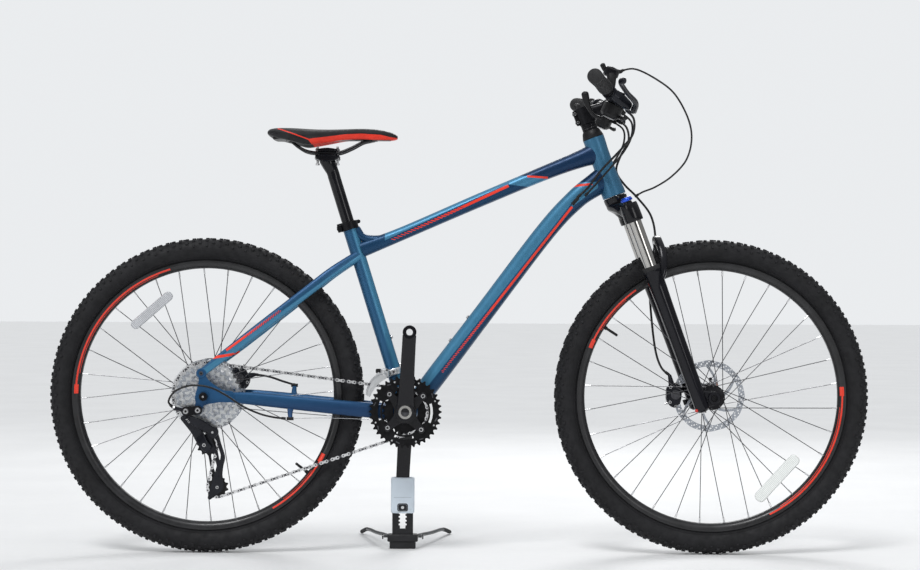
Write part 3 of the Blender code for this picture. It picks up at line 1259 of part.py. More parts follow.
def build_lowers():
    arch_points = [(LEG_FORWARD + 0.0010, LEG_SIDE, LOWER_TOP - 0.0400),
                   (LEG_FORWARD + 0.0205, LEG_SIDE - 0.0030, LOWER_TOP - 0.0210),
                   (LEG_FORWARD + 0.0345, 0.0510, LOWER_TOP + 0.0150),
                   (LEG_FORWARD + 0.0375, 0.0300, LOWER_TOP + 0.0435)]
    centre = (LEG_FORWARD + 0.0380, 0.0, LOWER_TOP + 0.0500)
    right_half = [(ahead, -side, up) for ahead, side, up in arch_points]
    path = [*right_half, centre, *reversed(arch_points)]
    arch = frame_tube("arch", [(steer_point(*point), 0.0085, 0.0105) for point in path], 8, 3.0)
    right = fork_leg(-1)
    left = fork_leg(1)
    pieces = [*left, *right[1:], arch]
    for up in (AXLE_UP + 0.0230, AXLE_UP - 0.0050):
        lug = steer_point(LEG_FORWARD - 0.0200, 0.0620, up + 0.0080)
        pieces.append(box("lug", lug, (0.0140, 0.0120, 0.0120)))
    lowers = combined(right[0], pieces)
    bores = []
    for side in (-1, 1):
        y = side * LEG_SIDE
        depth = STANCHION_INSERTED + FORK_TRAVEL + 0.0080
        bores.append(cylinder("bore", steer_point(LEG_FORWARD, y, LOWER_TOP - depth),
                              steer_point(LEG_FORWARD, y, LOWER_TOP + 0.01),
                              (STANCHION_RADIUS + GAP) / math.cos(math.pi / 12), sides=12))
    bores.append(cylinder("axle_hole", FRONT_AXLE - SIDE * 0.1, FRONT_AXLE + SIDE * 0.1,
                          (FRONT_AXLE_RADIUS + GAP) / math.cos(math.pi / 12), sides=12))
    sub_part(cut(lowers, bores), "fork_lowers", GLOSS_BLACK)


# ---------------------------------------------------------------- cockpit

STEM_MIDDLE_UP = HEAD_TUBE_LENGTH + COVER_HEIGHT + STEM_HEIGHT / 2
STEM_RISE = math.radians(STEM_RISE_DEG)
BAR_CENTRE = steer_point(STEM_LENGTH * math.cos(STEM_RISE), 0.0,
                         STEM_MIDDLE_UP + STEM_LENGTH * math.sin(STEM_RISE))


def bar_point(y):
    """Point on the handlebar's axis at the side position Y."""
    share = max(0.0, (abs(y) - BAR_BEND_Y) / (BAR_HALF_WIDTH - BAR_BEND_Y))
    return BAR_CENTRE + Vector((-BAR_SWEEP_BACK * share, y, BAR_SWEEP_UP * share))


def build_stem():
    """Stem in one with the spacers and the headset cover it clamps down."""
    top = STEM_MIDDLE_UP + STEM_HEIGHT / 2
    bottom = HEAD_TUBE_LENGTH + GAP
    wall = STEERER_RADIUS + 0.0047
    collar = turned("collar", [(0.0, top), (wall, top), (wall, bottom + COVER_HEIGHT),
                               (0.0172, bottom + COVER_HEIGHT), (0.0172, bottom + 0.0170),
                               (HEAD_TUBE_TOP_RADIUS, bottom), (0.0, bottom)],
                    HEAD_BOTTOM, STEER_UP, 16)
    ears = box("ears", steer_point(-0.0215, 0.0, STEM_MIDDLE_UP), (0.0110, 0.0160, 0.0360),
               basis_along(STEER_UP))
    body = frame_tube("body", [(steer_point(0.008, 0, STEM_MIDDLE_UP), 0.0165, 0.0160),
                               (steer_point(0.030, 0, STEM_MIDDLE_UP), 0.0155, 0.0155),
                               (BAR_CENTRE - STEER_AHEAD * 0.014, 0.0165, 0.0190)], 8, 3.0)
    clamp = cylinder("clamp", BAR_CENTRE - SIDE * 0.0220, BAR_CENTRE + SIDE * 0.0220,
                     BAR_CLAMP_RADIUS + 0.0055, sides=16)
    stem = combined(collar, [ears, body, clamp])
    steerer_hole = cylinder("hole", steer_point(0, 0, bottom - 0.01), steer_point(0, 0, top - 0.0025),
                            STEERER_RADIUS + GAP, sides=12)
    bar_hole = cylinder("hole", BAR_CENTRE - SIDE * 0.04, BAR_CENTRE + SIDE * 0.04,
                        (BAR_CLAMP_RADIUS + GAP) / math.cos(math.pi / 16), sides=16)
    sub_part(cut(stem, [steerer_hole, bar_hole]), "stem", BLACK_METAL)


def build_handlebar():
    half = [(BAR_HALF_WIDTH - 0.0040, BAR_RADIUS), (0.1600, BAR_RADIUS), *reversed(BAR_TAPER),
            (BAR_BULGE_Y, BAR_CLAMP_RADIUS)]
    stations = [(-y, radius) for y, radius in half] + list(reversed(half))
    sub_part(tube("handlebar", [bar_point(y) for y, _ in stations], BAR_CLAMP_RADIUS, 4,
                  [radius / BAR_CLAMP_RADIUS for _, radius in stations]),
             "handlebar", BLACK_METAL)
    for side, name in ((-1, "grip_right"), (1, "grip_left")):
        outer = bar_point(side * BAR_HALF_WIDTH)
        inner = bar_point(side * (BAR_HALF_WIDTH - GRIP_LENGTH))
        along = (outer - inner).normalized()
        length = (outer - inner).length
        bore = GRIP_BORE_RADIUS
        profile = [(0.0, length), (GRIP_RADIUS - 0.002, length), (GRIP_RADIUS, length - 0.002),
                   (GRIP_RADIUS - 0.0008, length * 0.5), (GRIP_RADIUS, 0.004),
                   (GRIP_RADIUS - 0.001, 0.0), (bore, 0.0), (bore, length - 0.0030),
                   (0.0, length - 0.0030)]
        sub_part(turned("grip", profile, inner, along, 16), name, GRIP_RUBBER)


def beside_bar(ahead, side, up):
    """Point placed from the middle of the handlebar."""
    return BAR_CENTRE + Vector((ahead, side, up))


LEVER_PIVOT = beside_bar(0.0188, 0.1700, -0.0221)
LEVER_HINGE = LEVER_PIVOT + Vector((0.0090, -0.0040, -0.0060))
LEVER_TIP = beside_bar(-0.0102, 0.3050, 0.0224)
SHIFTER_CENTRE = beside_bar(-0.0182, 0.1500, -0.0261)
PADDLE_ROOT = beside_bar(-0.0432, 0.1500, -0.0431)
RELEASE_ROOT = beside_bar(-0.0012, 0.1580, -0.0421)
REMOTE_CENTRE = beside_bar(-0.0162, 0.1580, 0.0509)
REMOTE_HINGE = beside_bar(-0.0302, -0.1560, 0.0529)


def clamp_ring(y, width, thickness=0.0040):
    """Band round the handlebar at side position Y."""
    middle = bar_point(y)
    along = (bar_point(y + 0.01) - bar_point(y - 0.01)).normalized()
    radius = BAR_RADIUS + thickness
    return turned("band", [(radius, width / 2), (radius, -width / 2),
                           (BAR_RADIUS - 0.002, -width / 2), (BAR_RADIUS - 0.002, width / 2)],
                  middle, along, 16)


def controls(with_remote):
    """Brake lever mount and shifter of the left side, with the lockout's mount if asked."""
    bar = bar_point(CONTROL_Y)
    pivot_root = LEVER_PIVOT + Vector((-0.0080, 0.0020, 0.0070))
    cylinder_body = frame_tube("master", [
        (bar + Vector((0.0060, 0.0, -0.0020)), 0.0090, 0.0085),
        (bar.lerp(pivot_root, 0.55), 0.0110, 0.0120), (pivot_root, 0.0095, 0.0100)], 10, 3.0)
    shifter = rounded(box("shifter", SHIFTER_CENTRE, (0.0360, 0.0360, 0.0300),
                          Matrix.Rotation(math.radians(25.0), 4, "Y")), 0.006)
    neck = tube("neck", [SHIFTER_CENTRE, bar_point(0.1520) + Vector((0.0020, 0.0, -0.0130)),
                         bar + Vector((0.0080, -0.0020, -0.0070))], 0.0075)
    pieces = [clamp_ring(CONTROL_Y, 0.0130), cylinder_body, shifter, neck]
    if with_remote:
        post = bar_point(REMOTE_Y)
        pieces.append(clamp_ring(REMOTE_Y, 0.0100))
        pieces.append(tube("post", [post + Vector((0.0, 0.0, 0.0100)),
                                    post + Vector((0.0040, 0.0, 0.0260)),
                                    REMOTE_CENTRE + Vector((-0.0020, 0.0020, -0.0045))], 0.0080))
        pieces.append(rounded(box("remote", REMOTE_CENTRE, (0.0200, 0.0200, 0.0180),
                                  Matrix.Rotation(math.radians(20.0), 4, "Y")), 0.003))
        pieces.append(tube("link", [post + Vector((0.0, 0.0, -0.0110)),
                                    bar + Vector((0.0020, 0.0, -0.0110))], 0.0035))
    bore = cylinder("bore", bar_point(0.110), bar_point(0.230), GRIP_BORE_RADIUS, sides=16)
    return cut(combined(pieces[0], pieces[1:]), [bore])


def build_controls():
    left = controls(False)
    sub_part(left, "controls_left", BLACK_METAL)
    right = controls(True)
    mesh_side = mirrored(right, "controls_right")
    bpy.data.objects.remove(right, do_unlink=True)
    sub_part(mesh_side, "controls_right", BLACK_METAL)
    blade_route = [LEVER_HINGE,
                   LEVER_PIVOT + Vector((0.0100, 0.0300, 0.0080)),
                   LEVER_PIVOT.lerp(LEVER_TIP, 0.60) + Vector((0.0060, 0.0, -0.0020)),
                   LEVER_TIP + Vector((0.0010, -0.0120, -0.0020)),
                   LEVER_TIP + Vector((0.0060, 0.0, 0.0010))]
    blade = tube("blade", smooth_route(blade_route, 8), 0.0042, 2,
                 (1.5, 1.3, 1.0, 0.95, 0.95, 0.95, 1.0, 1.1))
    paddle = tube("paddle", smooth_route([PADDLE_ROOT, beside_bar(-0.0582, 0.1540, -0.0351),
                                          beside_bar(-0.0712, 0.1620, -0.0141),
                                          beside_bar(-0.0767, 0.1680, 0.0069)], 5),
                  0.0040, 2, (0.8, 0.8, 0.9, 1.3, 1.5))
    release = tube("release", [RELEASE_ROOT, beside_bar(0.0068, 0.1680, -0.0456),
                               beside_bar(0.0098, 0.1800, -0.0441)], 0.0030, 2, (0.9, 1.0, 1.3))
    for piece, name, origin in ((blade, "brake_lever", LEVER_HINGE),
                                (paddle, "shift_paddle", SHIFTER_CENTRE),
                                (release, "release_paddle", SHIFTER_CENTRE)):
        flipped = mirrored(piece, name)
        sub_part(piece, name + "_left", BLACK_METAL, origin)
        sub_part(flipped, name + "_right", BLACK_METAL, Vector((origin.x, -origin.y, origin.z)))
    lever = tube("lever", [REMOTE_HINGE, REMOTE_HINGE + Vector((-0.0060, 0.0, 0.0090)),
                           REMOTE_HINGE + Vector((-0.0090, 0.0, 0.0190))], 0.0050, 2,
                 (0.7, 1.0, 1.1))
    sub_part(lever, "lockout_lever", BLACK_METAL, REMOTE_HINGE)


# ---------------------------------------------------------------- cables

def cable(name, route, radius, finish, count=14):
    """Held housing of round section along a smooth route through hand-chosen points."""
    points = smooth_route([Vector(point) for point in route], count)
    sub_part(tube(name, points, radius, 1), name, finish)


def build_cables():
    dial = steer_point(LEG_FORWARD, -LEG_SIDE, CROWN_CLAMP_TOP + 0.0140)
    cable("lockout_cable", [(0.3420, -0.1560, 1.0520), (0.3750, -0.1540, 1.0560),
                            (0.4200, -0.1500, 1.0350), (0.4600, -0.1400, 1.0050),
                            (0.4900, -0.1280, 0.9550), (0.5000, -0.1150, 0.9100),
                            (0.4900, -0.1020, 0.8650), (0.4600, -0.0900, 0.8300),
                            (0.4250, -0.0830, 0.8070), (0.3980, -0.0780, 0.7960),
                            (dial.x + 0.0200, -0.0700, dial.z + 0.0020)], 0.0020, HOSE)
    cable("front_brake_hose", [(0.3600, 0.1500, 0.9690), (0.3780, 0.1330, 0.9500),
                               (0.3800, 0.1080, 0.9180), (0.3620, 0.0950, 0.8850),
                               (0.3520, 0.0930, 0.8500), (0.3700, 0.0930, 0.8200),
                               (0.4000, 0.0940, 0.7900), (0.4300, 0.0930, 0.7500),
                               (0.4400, 0.0900, 0.7000), (0.4330, 0.0900, 0.6500),
                               (0.4280, 0.0895, 0.5900), (0.4310, 0.0880, 0.5300),
                               (0.4400, 0.0800, 0.4500), (0.4520, 0.0640, 0.4100),
                               (0.4700, 0.0520, 0.3920)], 0.0025, HOSE, 20)
    cable("rear_brake_hose_front", [(0.3560, -0.1500, 0.9690), (0.3740, -0.1300, 0.9500),
                                    (0.3740, -0.1000, 0.9200), (0.3560, -0.0700, 0.8950),
                                    (0.3380, -0.0500, 0.8750), (0.3100, -0.0380, 0.8450),
                                    (0.2820, -0.0340, 0.8080), (0.2580, -0.0345, 0.7850)],
          0.0025, HOSE)
    cable("rear_shift_housing", [(0.3440, -0.1360, 0.9660), (0.3700, -0.1120, 0.9450),
                                 (0.3720, -0.0820, 0.9150), (0.3580, -0.0560, 0.8850),
                                 (0.3300, -0.0400, 0.8500), (0.2990, -0.0365, 0.8150),
                                 (0.2740, -0.0365, 0.7880)], 0.0022, HOSE)
    cable("front_shift_housing", [(0.3440, 0.1360, 0.9660), (0.3680, 0.1100, 0.9450),
                                  (0.3680, 0.0800, 0.9150), (0.3540, 0.0560, 0.8850),
                                  (0.3300, 0.0400, 0.8500), (0.2990, 0.0365, 0.8150),
                                  (0.2740, 0.0365, 0.7880)], 0.0022, HOSE)
    stop = CABLE_STOP + Vector((-0.0025, 0.0, 0.0012))
    cable("rear_shift_loop", [(-0.3780, -0.0645, 0.2990), (-0.4050, -0.0660, 0.3020),
                              (-0.4350, -0.0730, 0.3100), (-0.4700, -0.0900, 0.3270),
                              (-0.5050, -0.1000, 0.3510), (-0.5400, -0.1010, 0.3680),
                              (-0.5800, -0.0980, 0.3720), (-0.6150, -0.0900, 0.3600),
                              (-0.6320, -0.0790, 0.3370), tuple(stop)], 0.0022, HOSE, 18)
    cable("rear_brake_hose_rear", [(-0.3650, 0.0650, 0.3660), (-0.3950, 0.0650, 0.3750),
                                   (-0.4250, 0.0640, 0.3850), (-0.4560, 0.0600, 0.3900)],
          0.0025, HOSE, 8)


# ---------------------------------------------------------------- saddle and seatpost

SEAT_UP = (seat_tube_point(1.0) - BOTTOM_BRACKET).normalized()
CLAMP_CENTRE = seat_tube_point(SEAT_TUBE_LENGTH + SEATPOST_EXPOSED)
RAIL_Z = CLAMP_CENTRE.z + 0.0060


def build_seatpost():
    bottom = seat_tube_point(SEAT_TUBE_LENGTH - SEATPOST_INSERTED)
    top = CLAMP_CENTRE - SEAT_UP * 0.0060
    post = cylinder("post", bottom, top, SEATPOST_RADIUS, sides=16)
    low = RAIL_Z - RAIL_RADIUS - GAP
    high = RAIL_Z + RAIL_RADIUS + GAP
    cradle = rounded(box("cradle", (CLAMP_CENTRE.x, 0.0, low - 0.0085), (0.0420, 0.0560, 0.0170)),
                     0.003)
    yoke = rounded(box("yoke", (CLAMP_CENTRE.x, 0.0, high + 0.0035), (0.0420, 0.0560, 0.0070)),
                   0.002)
    web = box("web", (CLAMP_CENTRE.x, 0.0, RAIL_Z), (0.0240, 0.0200, 0.0160))
    bolts = []
    for ahead in (-0.0175, 0.0172):
        bolts.append(cylinder("bolt", (CLAMP_CENTRE.x + ahead, 0.0, low - 0.0190),
                              (CLAMP_CENTRE.x + ahead, 0.0, high + 0.0110), 0.0030, sides=8))
    sub_part(combined(post, [cradle, yoke, web, *bolts]), "seatpost", BLACK_METAL)


def build_saddle():
    """Shell and padding in one closed loft, on a wire of two rails joined under the nose."""
    half = [(-0.0775, 0.0360, 0.0240), (-0.0665, 0.0350, 0.0150), (-0.0475, 0.0290, 0.0040),
            (-0.0260, RAIL_HALF_SPACING, 0.0), (0.0260, RAIL_HALF_SPACING, 0.0),
            (0.0525, 0.0205, 0.0100), (0.0775, 0.0165, 0.0230), (0.0945, 0.0130, 0.0270)]
    whole = half + [(0.1025, 0.0, 0.0275)] + [(x, -y, z) for x, y, z in reversed(half)]
    route = [(CLAMP_CENTRE.x + x, y, RAIL_Z + z) for x, y, z in whole]
    sub_part(tube("rails", route, RAIL_RADIUS, 2), "saddle_rails", BLACK_METAL)

    stations = ((-0.1310, 0.0290, 0.0480, 0.0370), (-0.1255, 0.0420, 0.0520, 0.0320),
                (-0.1075, 0.0600, 0.0542, 0.0290), (-0.0675, SADDLE_HALF_WIDTH, 0.0538, 0.0250),
                (-0.0175, 0.0600, 0.0515, 0.0240), (0.0325, 0.0370, 0.0525, 0.0285),
                (0.0825, 0.0260, 0.0540, 0.0310), (0.1225, 0.0210, 0.0510, 0.0300),
                (0.1455, 0.0160, 0.0450, 0.0300), (0.1550, 0.0090, 0.0390, 0.0320))
    rings = []
    for ahead, half_width, over, under in stations:
        x = CLAMP_CENTRE.x + ahead
        top = RAIL_Z + over
        middle = RAIL_Z + (over + under) / 2
        ring = []
        for share_y, share_z in ((0.0, 0.88), (0.40, 1.0), (0.78, 0.82), (1.0, 0.10), (0.97, -0.75),
                                 (0.80, -1.0), (0.40, -1.0), (0.0, -1.0), (-0.40, -1.0),
                                 (-0.80, -1.0), (-0.97, -0.75), (-1.0, 0.10), (-0.78, 0.82),
                                 (-0.40, 1.0)):
            ring.append(Vector((x, half_width * share_y, middle + (top - middle) * share_z)))
        rings.append(ring)
    saddle = loft("saddle", rings)
    longer = [Vector(route[0]) * 1.2 - Vector(route[1]) * 0.2, *route[1:-1],
              Vector(route[-1]) * 1.2 - Vector(route[-2]) * 0.2]
    sub_part(cut(saddle, [tube("pocket", longer, RAIL_RADIUS + GAP, 2)]), "saddle", COVER)


def build_seat_collar():
    middle = seat_tube_point(SEAT_TUBE_LENGTH - 0.0075)
    inner = SEAT_TUBE_RADIUS + GAP
    band = turned("band", [(inner + 0.0035, 0.0080), (inner + 0.0035, -0.0080), (inner, -0.0080),
                           (inner, 0.0080)], middle, SEAT_UP, 20)
    lug = box("lug", middle + Vector((-0.0215, 0.0, 0.0)), (0.0090, 0.0180, 0.0140),
              Matrix.Rotation(math.radians(-17.0), 4, "Y"))
    bolt = cylinder("bolt", middle + Vector((-0.0220, -0.0140, 0.0)),
                    middle + Vector((-0.0220, 0.0200, 0.0)), 0.0030, sides=10)
    nut = cylinder("nut", middle + Vector((-0.0220, -0.0090 - 0.0060, 0.0)),
                   middle + Vector((-0.0220, -0.0085, 0.0)), 0.0060, sides=12)
    sub_part(combined(band, [lug, bolt, nut]), "seat_collar", BLACK_METAL)
    cam_radius = 0.0060
    pivot = middle + Vector((-0.0220, 0.0200 + GAP + cam_radius, 0.0))
    eye = cylinder("cam", pivot - SEAT_UP * 0.0060, pivot + SEAT_UP * 0.0060, cam_radius, sides=12)
    handle = tube("handle", [pivot, pivot + Vector((0.0200, 0.0030, 0.0060)),
                             pivot + Vector((0.0420, 0.0020, 0.0120))], 0.0035, 2, (1.0, 1.1, 0.8))
    sub_part(combined(eye, [handle]), "seat_collar_lever", BLACK_METAL, pivot)


# ---------------------------------------------------------------- display stand

def build_stand():
    socket = rounded(box("socket", (STAND_X, STAND_Y, (SOCKET_TOP + SOCKET_BOTTOM) / 2),
                         (SOCKET_WIDTH, SOCKET_DEPTH, SOCKET_HEIGHT)), 0.004, 2)
    pocket_top = SOCKET_TOP + 0.01
    pocket = rounded(box("pocket", (STAND_X - 0.0004, CRANK_MIDDLE_Y - 0.0008,
                                    (SOCKET_FLOOR_Z + pocket_top) / 2),
                         (SOCKET_WIDTH - 2 * SOCKET_WALL, CRANK_ARM_THICKNESS + POCKET_MARGIN,
                          pocket_top - SOCKET_FLOOR_Z)), 0.0010, 1)
    channel_top = SOCKET_FLOOR_Z - 0.0035
    channel = box("channel", (STAND_X, STAND_Y, (SOCKET_BOTTOM - 0.01 + channel_top) / 2),
                  (MAST_WIDTH + 2 * GAP, MAST_THICKNESS + 2 * GAP,
                   channel_top - SOCKET_BOTTOM + 0.01))
    button_z = SOCKET_BOTTOM + BUTTON_UP
    button_hole = rounded(box("button_hole", (STAND_X, STAND_Y - SOCKET_DEPTH / 2, button_z),
                              (BUTTON_WIDTH + 2 * GAP, SOCKET_DEPTH - MAST_THICKNESS,
                               BUTTON_HEIGHT + 2 * GAP)), 0.001, 1)
    body = cut(socket, [pocket, channel, button_hole])
    sub_part(body, "stand_socket", PLASTIC)
    button = box("button", (STAND_X, STAND_Y - SOCKET_DEPTH / 2 + 0.0025, button_z),
                 (BUTTON_WIDTH, 0.0080, BUTTON_HEIGHT))
    sub_part(rounded(button, 0.0012), "stand_lock_button", PLASTIC)

    blade = box("blade", (STAND_X, STAND_Y, (MAST_TOP + BASE_TOP - 0.004) / 2),
                (MAST_WIDTH, MAST_THICKNESS, MAST_TOP - BASE_TOP + 0.004))
    base = rounded(box("base", (STAND_X, BASE_Y, (BASE_TOP + BASE_BOTTOM) / 2),
                       (BASE_WIDTH, BASE_DEPTH, BASE_TOP - BASE_BOTTOM)), 0.003)
    foot = rounded(box("foot", (STAND_X, BASE_Y, BASE_BOTTOM / 2 + 0.001),
                       (BASE_WIDTH - 0.010, FOOT_DEPTH, BASE_BOTTOM + 0.002)), 0.002)
    mast = combined(blade, [base, foot])
    slots = [box("slot", (STAND_X, STAND_Y, (MAST_TOP + BASE_TOP) / 2 + 0.0035),
                 (0.0120, 0.02, MAST_TOP - BASE_TOP - 0.0270))]
    for index in range(4):
        slots.append(box("notch", (STAND_X, STAND_Y, BASE_TOP + 0.0190 + STAND_STEP * index),
                         (0.0180, 0.02, STAND_STEP / 2)))
    pivot_y = BASE_Y + BASE_DEPTH / 2 - 0.0060
    for side in (-1, 1):
        x = STAND_X + side * LEG_PIVOT_SPACING / 2
        slots.append(box("leg_slot", (x, BASE_Y + BASE_DEPTH / 2 - 0.0010, LEG_PIVOT_Z),
                         (2 * LEG_ROD_RADIUS + 0.0010, 0.0320, 0.0300)))
    mast = cut(mast, slots)
    sub_part(mast, "stand_mast", PLASTIC)
    for side, name in ((-1, "stand_leg_rear"), (1, "stand_leg_front")):
        x = STAND_X + side * LEG_PIVOT_SPACING / 2
        pivot = Vector((x, pivot_y, LEG_PIVOT_Z))
        eye = cylinder("eye", pivot - Vector((0.0040, 0.0, 0.0)), pivot + Vector((0.0040, 0.0, 0.0)),
                       0.0046, sides=12)
        elbow_x = STAND_X + side * (LEG_PIVOT_SPACING / 2 + 0.0010)
        rod = tube("rod", [pivot, pivot + Vector((0.0, 0.0200, -0.0006)),
                           Vector((elbow_x + side * (LEG_SPREAD_X - LEG_PIVOT_SPACING / 2) * 0.72,
                                   0.3100, 0.0180)),
                           Vector((STAND_X + side * LEG_SPREAD_X, LEG_REACH_Y - 0.0040, 0.0046))],
                   LEG_ROD_RADIUS, 2)
        sub_part(combined(rod, [eye]), name, GREY_ROD, pivot)


# ---------------------------------------------------------------- assembly

def build_wheels():
    build_tyre("rear_tyre", REAR_AXLE)
    build_rim("rear_rim", REAR_AXLE)
    build_rear_hub()
    build_rotor("rear_rotor", REAR_AXLE, REAR_ROTOR_Y, REAR_HUB_END_RADIUS + GAP)
    build_tyre("front_tyre", FRONT_AXLE)
    build_rim("front_rim", FRONT_AXLE)
    build_front_hub()
    build_rotor("front_rotor", FRONT_AXLE, FRONT_ROTOR_Y, FRONT_HUB_END_RADIUS + GAP)


def main():
    build_frame()
    build_wheels()
    build_bottom_bracket()
    build_crankset()
    build_chain()
    build_cassette()
    build_hanger()
    build_rear_derailleur()
    build_front_derailleur()
    build_axles()
    build_calipers()
    build_fork()
    build_stem()
    build_handlebar()
    build_controls()
    build_cables()
    build_seat_collar()
    build_seatpost()
    build_saddle()
    build_stand()


main()
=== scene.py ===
import json
import math
from functools import cache

import bpy
import numpy as np
from bpy.props import FloatProperty, FloatVectorProperty, PointerProperty
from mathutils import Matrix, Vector
from mathutils.geometry import tessellate_polygon


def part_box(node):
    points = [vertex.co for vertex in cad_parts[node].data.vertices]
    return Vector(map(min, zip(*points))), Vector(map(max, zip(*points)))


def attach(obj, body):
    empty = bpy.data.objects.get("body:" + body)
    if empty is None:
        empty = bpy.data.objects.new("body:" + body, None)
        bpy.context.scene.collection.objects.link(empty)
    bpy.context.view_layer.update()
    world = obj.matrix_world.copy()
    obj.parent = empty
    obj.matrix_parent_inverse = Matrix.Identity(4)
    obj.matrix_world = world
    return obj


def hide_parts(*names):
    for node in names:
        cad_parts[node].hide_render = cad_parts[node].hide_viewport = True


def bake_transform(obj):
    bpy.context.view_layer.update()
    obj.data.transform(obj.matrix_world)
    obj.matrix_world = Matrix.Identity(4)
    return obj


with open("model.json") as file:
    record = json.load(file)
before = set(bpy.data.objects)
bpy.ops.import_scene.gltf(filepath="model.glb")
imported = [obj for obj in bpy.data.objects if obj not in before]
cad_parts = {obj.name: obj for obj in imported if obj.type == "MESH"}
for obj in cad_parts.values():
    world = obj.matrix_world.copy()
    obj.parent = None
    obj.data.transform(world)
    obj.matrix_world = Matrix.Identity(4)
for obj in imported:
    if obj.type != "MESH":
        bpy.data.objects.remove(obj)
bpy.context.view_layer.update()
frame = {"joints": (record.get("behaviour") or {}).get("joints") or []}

bl_info = {
    "name": "Bicycle on a display stand",
    "version": (1, 0, 0),
    "blender": (4, 5, 0),
    "location": "View3D > Sidebar > Bicycle",
    "description": "Dresses a hardtail mountain bicycle and its folding display stand",
    "category": "Object",
}

JOINTS = {joint["name"]: joint for joint in frame["joints"]}


# ------------------------------------------------------------------ places

def centre(node):
    """Middle of a CAD node's box."""
    low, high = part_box(node)
    return (np.array(low) + np.array(high)) / 2


def extent(node):
    """Size of a CAD node's box."""
    low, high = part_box(node)
    return np.array(high) - np.array(low)


def mm(*values):
    """Millimetres as metres: one length each, or points; rounded, so that mm(5.5) is 0.0055."""
    return np.round(np.asarray(values, float) / 1000, 7)


def unit(vector):
    """Vector, or each row of vectors, divided by its length."""
    vector = np.asarray(vector, float)
    return vector / np.linalg.norm(vector, axis=-1, keepdims=True)


X = np.array([1.0, 0.0, 0.0])
Y = np.array([0.0, 1.0, 0.0])
Z = np.array([0.0, 0.0, 1.0])
REAR = centre("rear_rim")
FRONT = centre("front_rim")
BB = centre("bottom_bracket")
STEER_UP = unit(JOINTS["steering_turn"]["axis"])
STEER_AHEAD = np.cross(Y, STEER_UP)
STEER_FOOT = np.array(JOINTS["steering_turn"]["pos_m"])
SEAT_UP = unit(JOINTS["seatpost_height"]["axis"])
CRANK_UP = -unit(JOINTS["stand_release"]["axis"])


def steer(ahead, side, up):
    """Point ahead of the steering axis, to its side, and up it from the head tube's foot."""
    return STEER_FOOT + STEER_AHEAD * ahead + Y * side + STEER_UP * up


def seat(distance):
    """Point on the seat tube's axis at a distance up from the bottom bracket."""
    return BB + SEAT_UP * distance


def around(hub, radius, degrees, y):
    """Point at a radius from a hub; degrees run from ahead to up."""
    angle = np.radians(degrees)
    return np.stack([hub[0] + radius * np.cos(angle), y + 0.0 * angle,
                     hub[2] + radius * np.sin(angle)], axis=-1)


def outward(degrees):
    """Directions out from an axle, degrees running from ahead to up."""
    return around(np.zeros(3), 1.0, degrees, 0.0)


def pivot_of(joint):
    """Place of a joint's axis in the CAD model."""
    return np.array(JOINTS[joint]["pos_m"])


# ------------------------------------------------------------------ curves and sections

def smooth(points, count, closed=False):
    """Catmull-Rom curve through the points, sampled evenly by length.

    Between two points the curve is the cubic whose end slopes are half the chord between each
    point's neighbours.
    """
    points = np.asarray(points, float)
    if closed:
        ends = np.vstack([points[-1:], points, points[:2]])
    else:
        ends = np.vstack([2 * points[0] - points[1], points, 2 * points[-1] - points[-2]])
    steps = 24
    t = np.linspace(0.0, 1.0, steps, endpoint=False)[None, :, None]
    p0, p1, p2, p3 = (ends[k:len(ends) - 3 + k, None, :] for k in range(4))
    fine = 0.5 * (2 * p1 + (p2 - p0) * t + (2 * p0 - 5 * p1 + 4 * p2 - p3) * t ** 2
                  + (3 * p1 - p0 - 3 * p2 + p3) * t ** 3)
    fine = np.vstack([fine.reshape(-1, points.shape[1]), points[:1] if closed else points[-1:]])
    reach = np.concatenate([[0.0], np.cumsum(np.linalg.norm(np.diff(fine, axis=0), axis=1))])
    wanted = np.linspace(0.0, reach[-1], count, endpoint=not closed)
    return np.stack([np.interp(wanted, reach, fine[:, axis]) for axis in range(points.shape[1])],
                    axis=1)


def spread(values, count):
    """Values at the stations of an even path, read linearly."""
    values = np.asarray(values, float)
    if values.ndim == 0:
        return np.full(count, float(values))
    return np.interp(np.linspace(0, 1, count), np.linspace(0, 1, len(values)), values)


def turning_frames(path, start=None):
    """Tangent, normal and side vectors along a path, turned as little as possible.

    Each step reflects the last frame in the plane between two stations, then in the plane
    between their tangents.
    """
    tangent = unit(np.gradient(path, axis=0))
    if start is None:
        start = Y if abs(tangent[0][1]) < 0.8 else Z
    normal = np.zeros_like(path)
    normal[0] = unit(start - tangent[0] * np.dot(start, tangent[0]))
    for k in range(len(path) - 1):
        step = path[k + 1] - path[k]
        length = step @ step
        if length < 1e-18:
            normal[k + 1] = normal[k]
            continue
        mirrored = normal[k] - step * (2 * (step @ normal[k]) / length)
        turned = tangent[k] - step * (2 * (step @ tangent[k]) / length)
        rest = tangent[k + 1] - turned
        size = rest @ rest
        normal[k + 1] = mirrored - (rest * (2 * (rest @ mirrored) / size) if size > 1e-18 else 0)
    return tangent, normal, np.cross(tangent, normal)


def oval(sides, power=2.0):
    """Superellipse section: cosine and sine to the power 2/p, for the two half widths of 1."""
    angle = (np.arange(sides) + 0.5) / sides * math.tau
    cos, sin = np.cos(angle), np.sin(angle)
    return np.stack([np.sign(cos) * np.abs(cos) ** (2 / power),
                     np.sign(sin) * np.abs(sin) ** (2 / power)], axis=1)


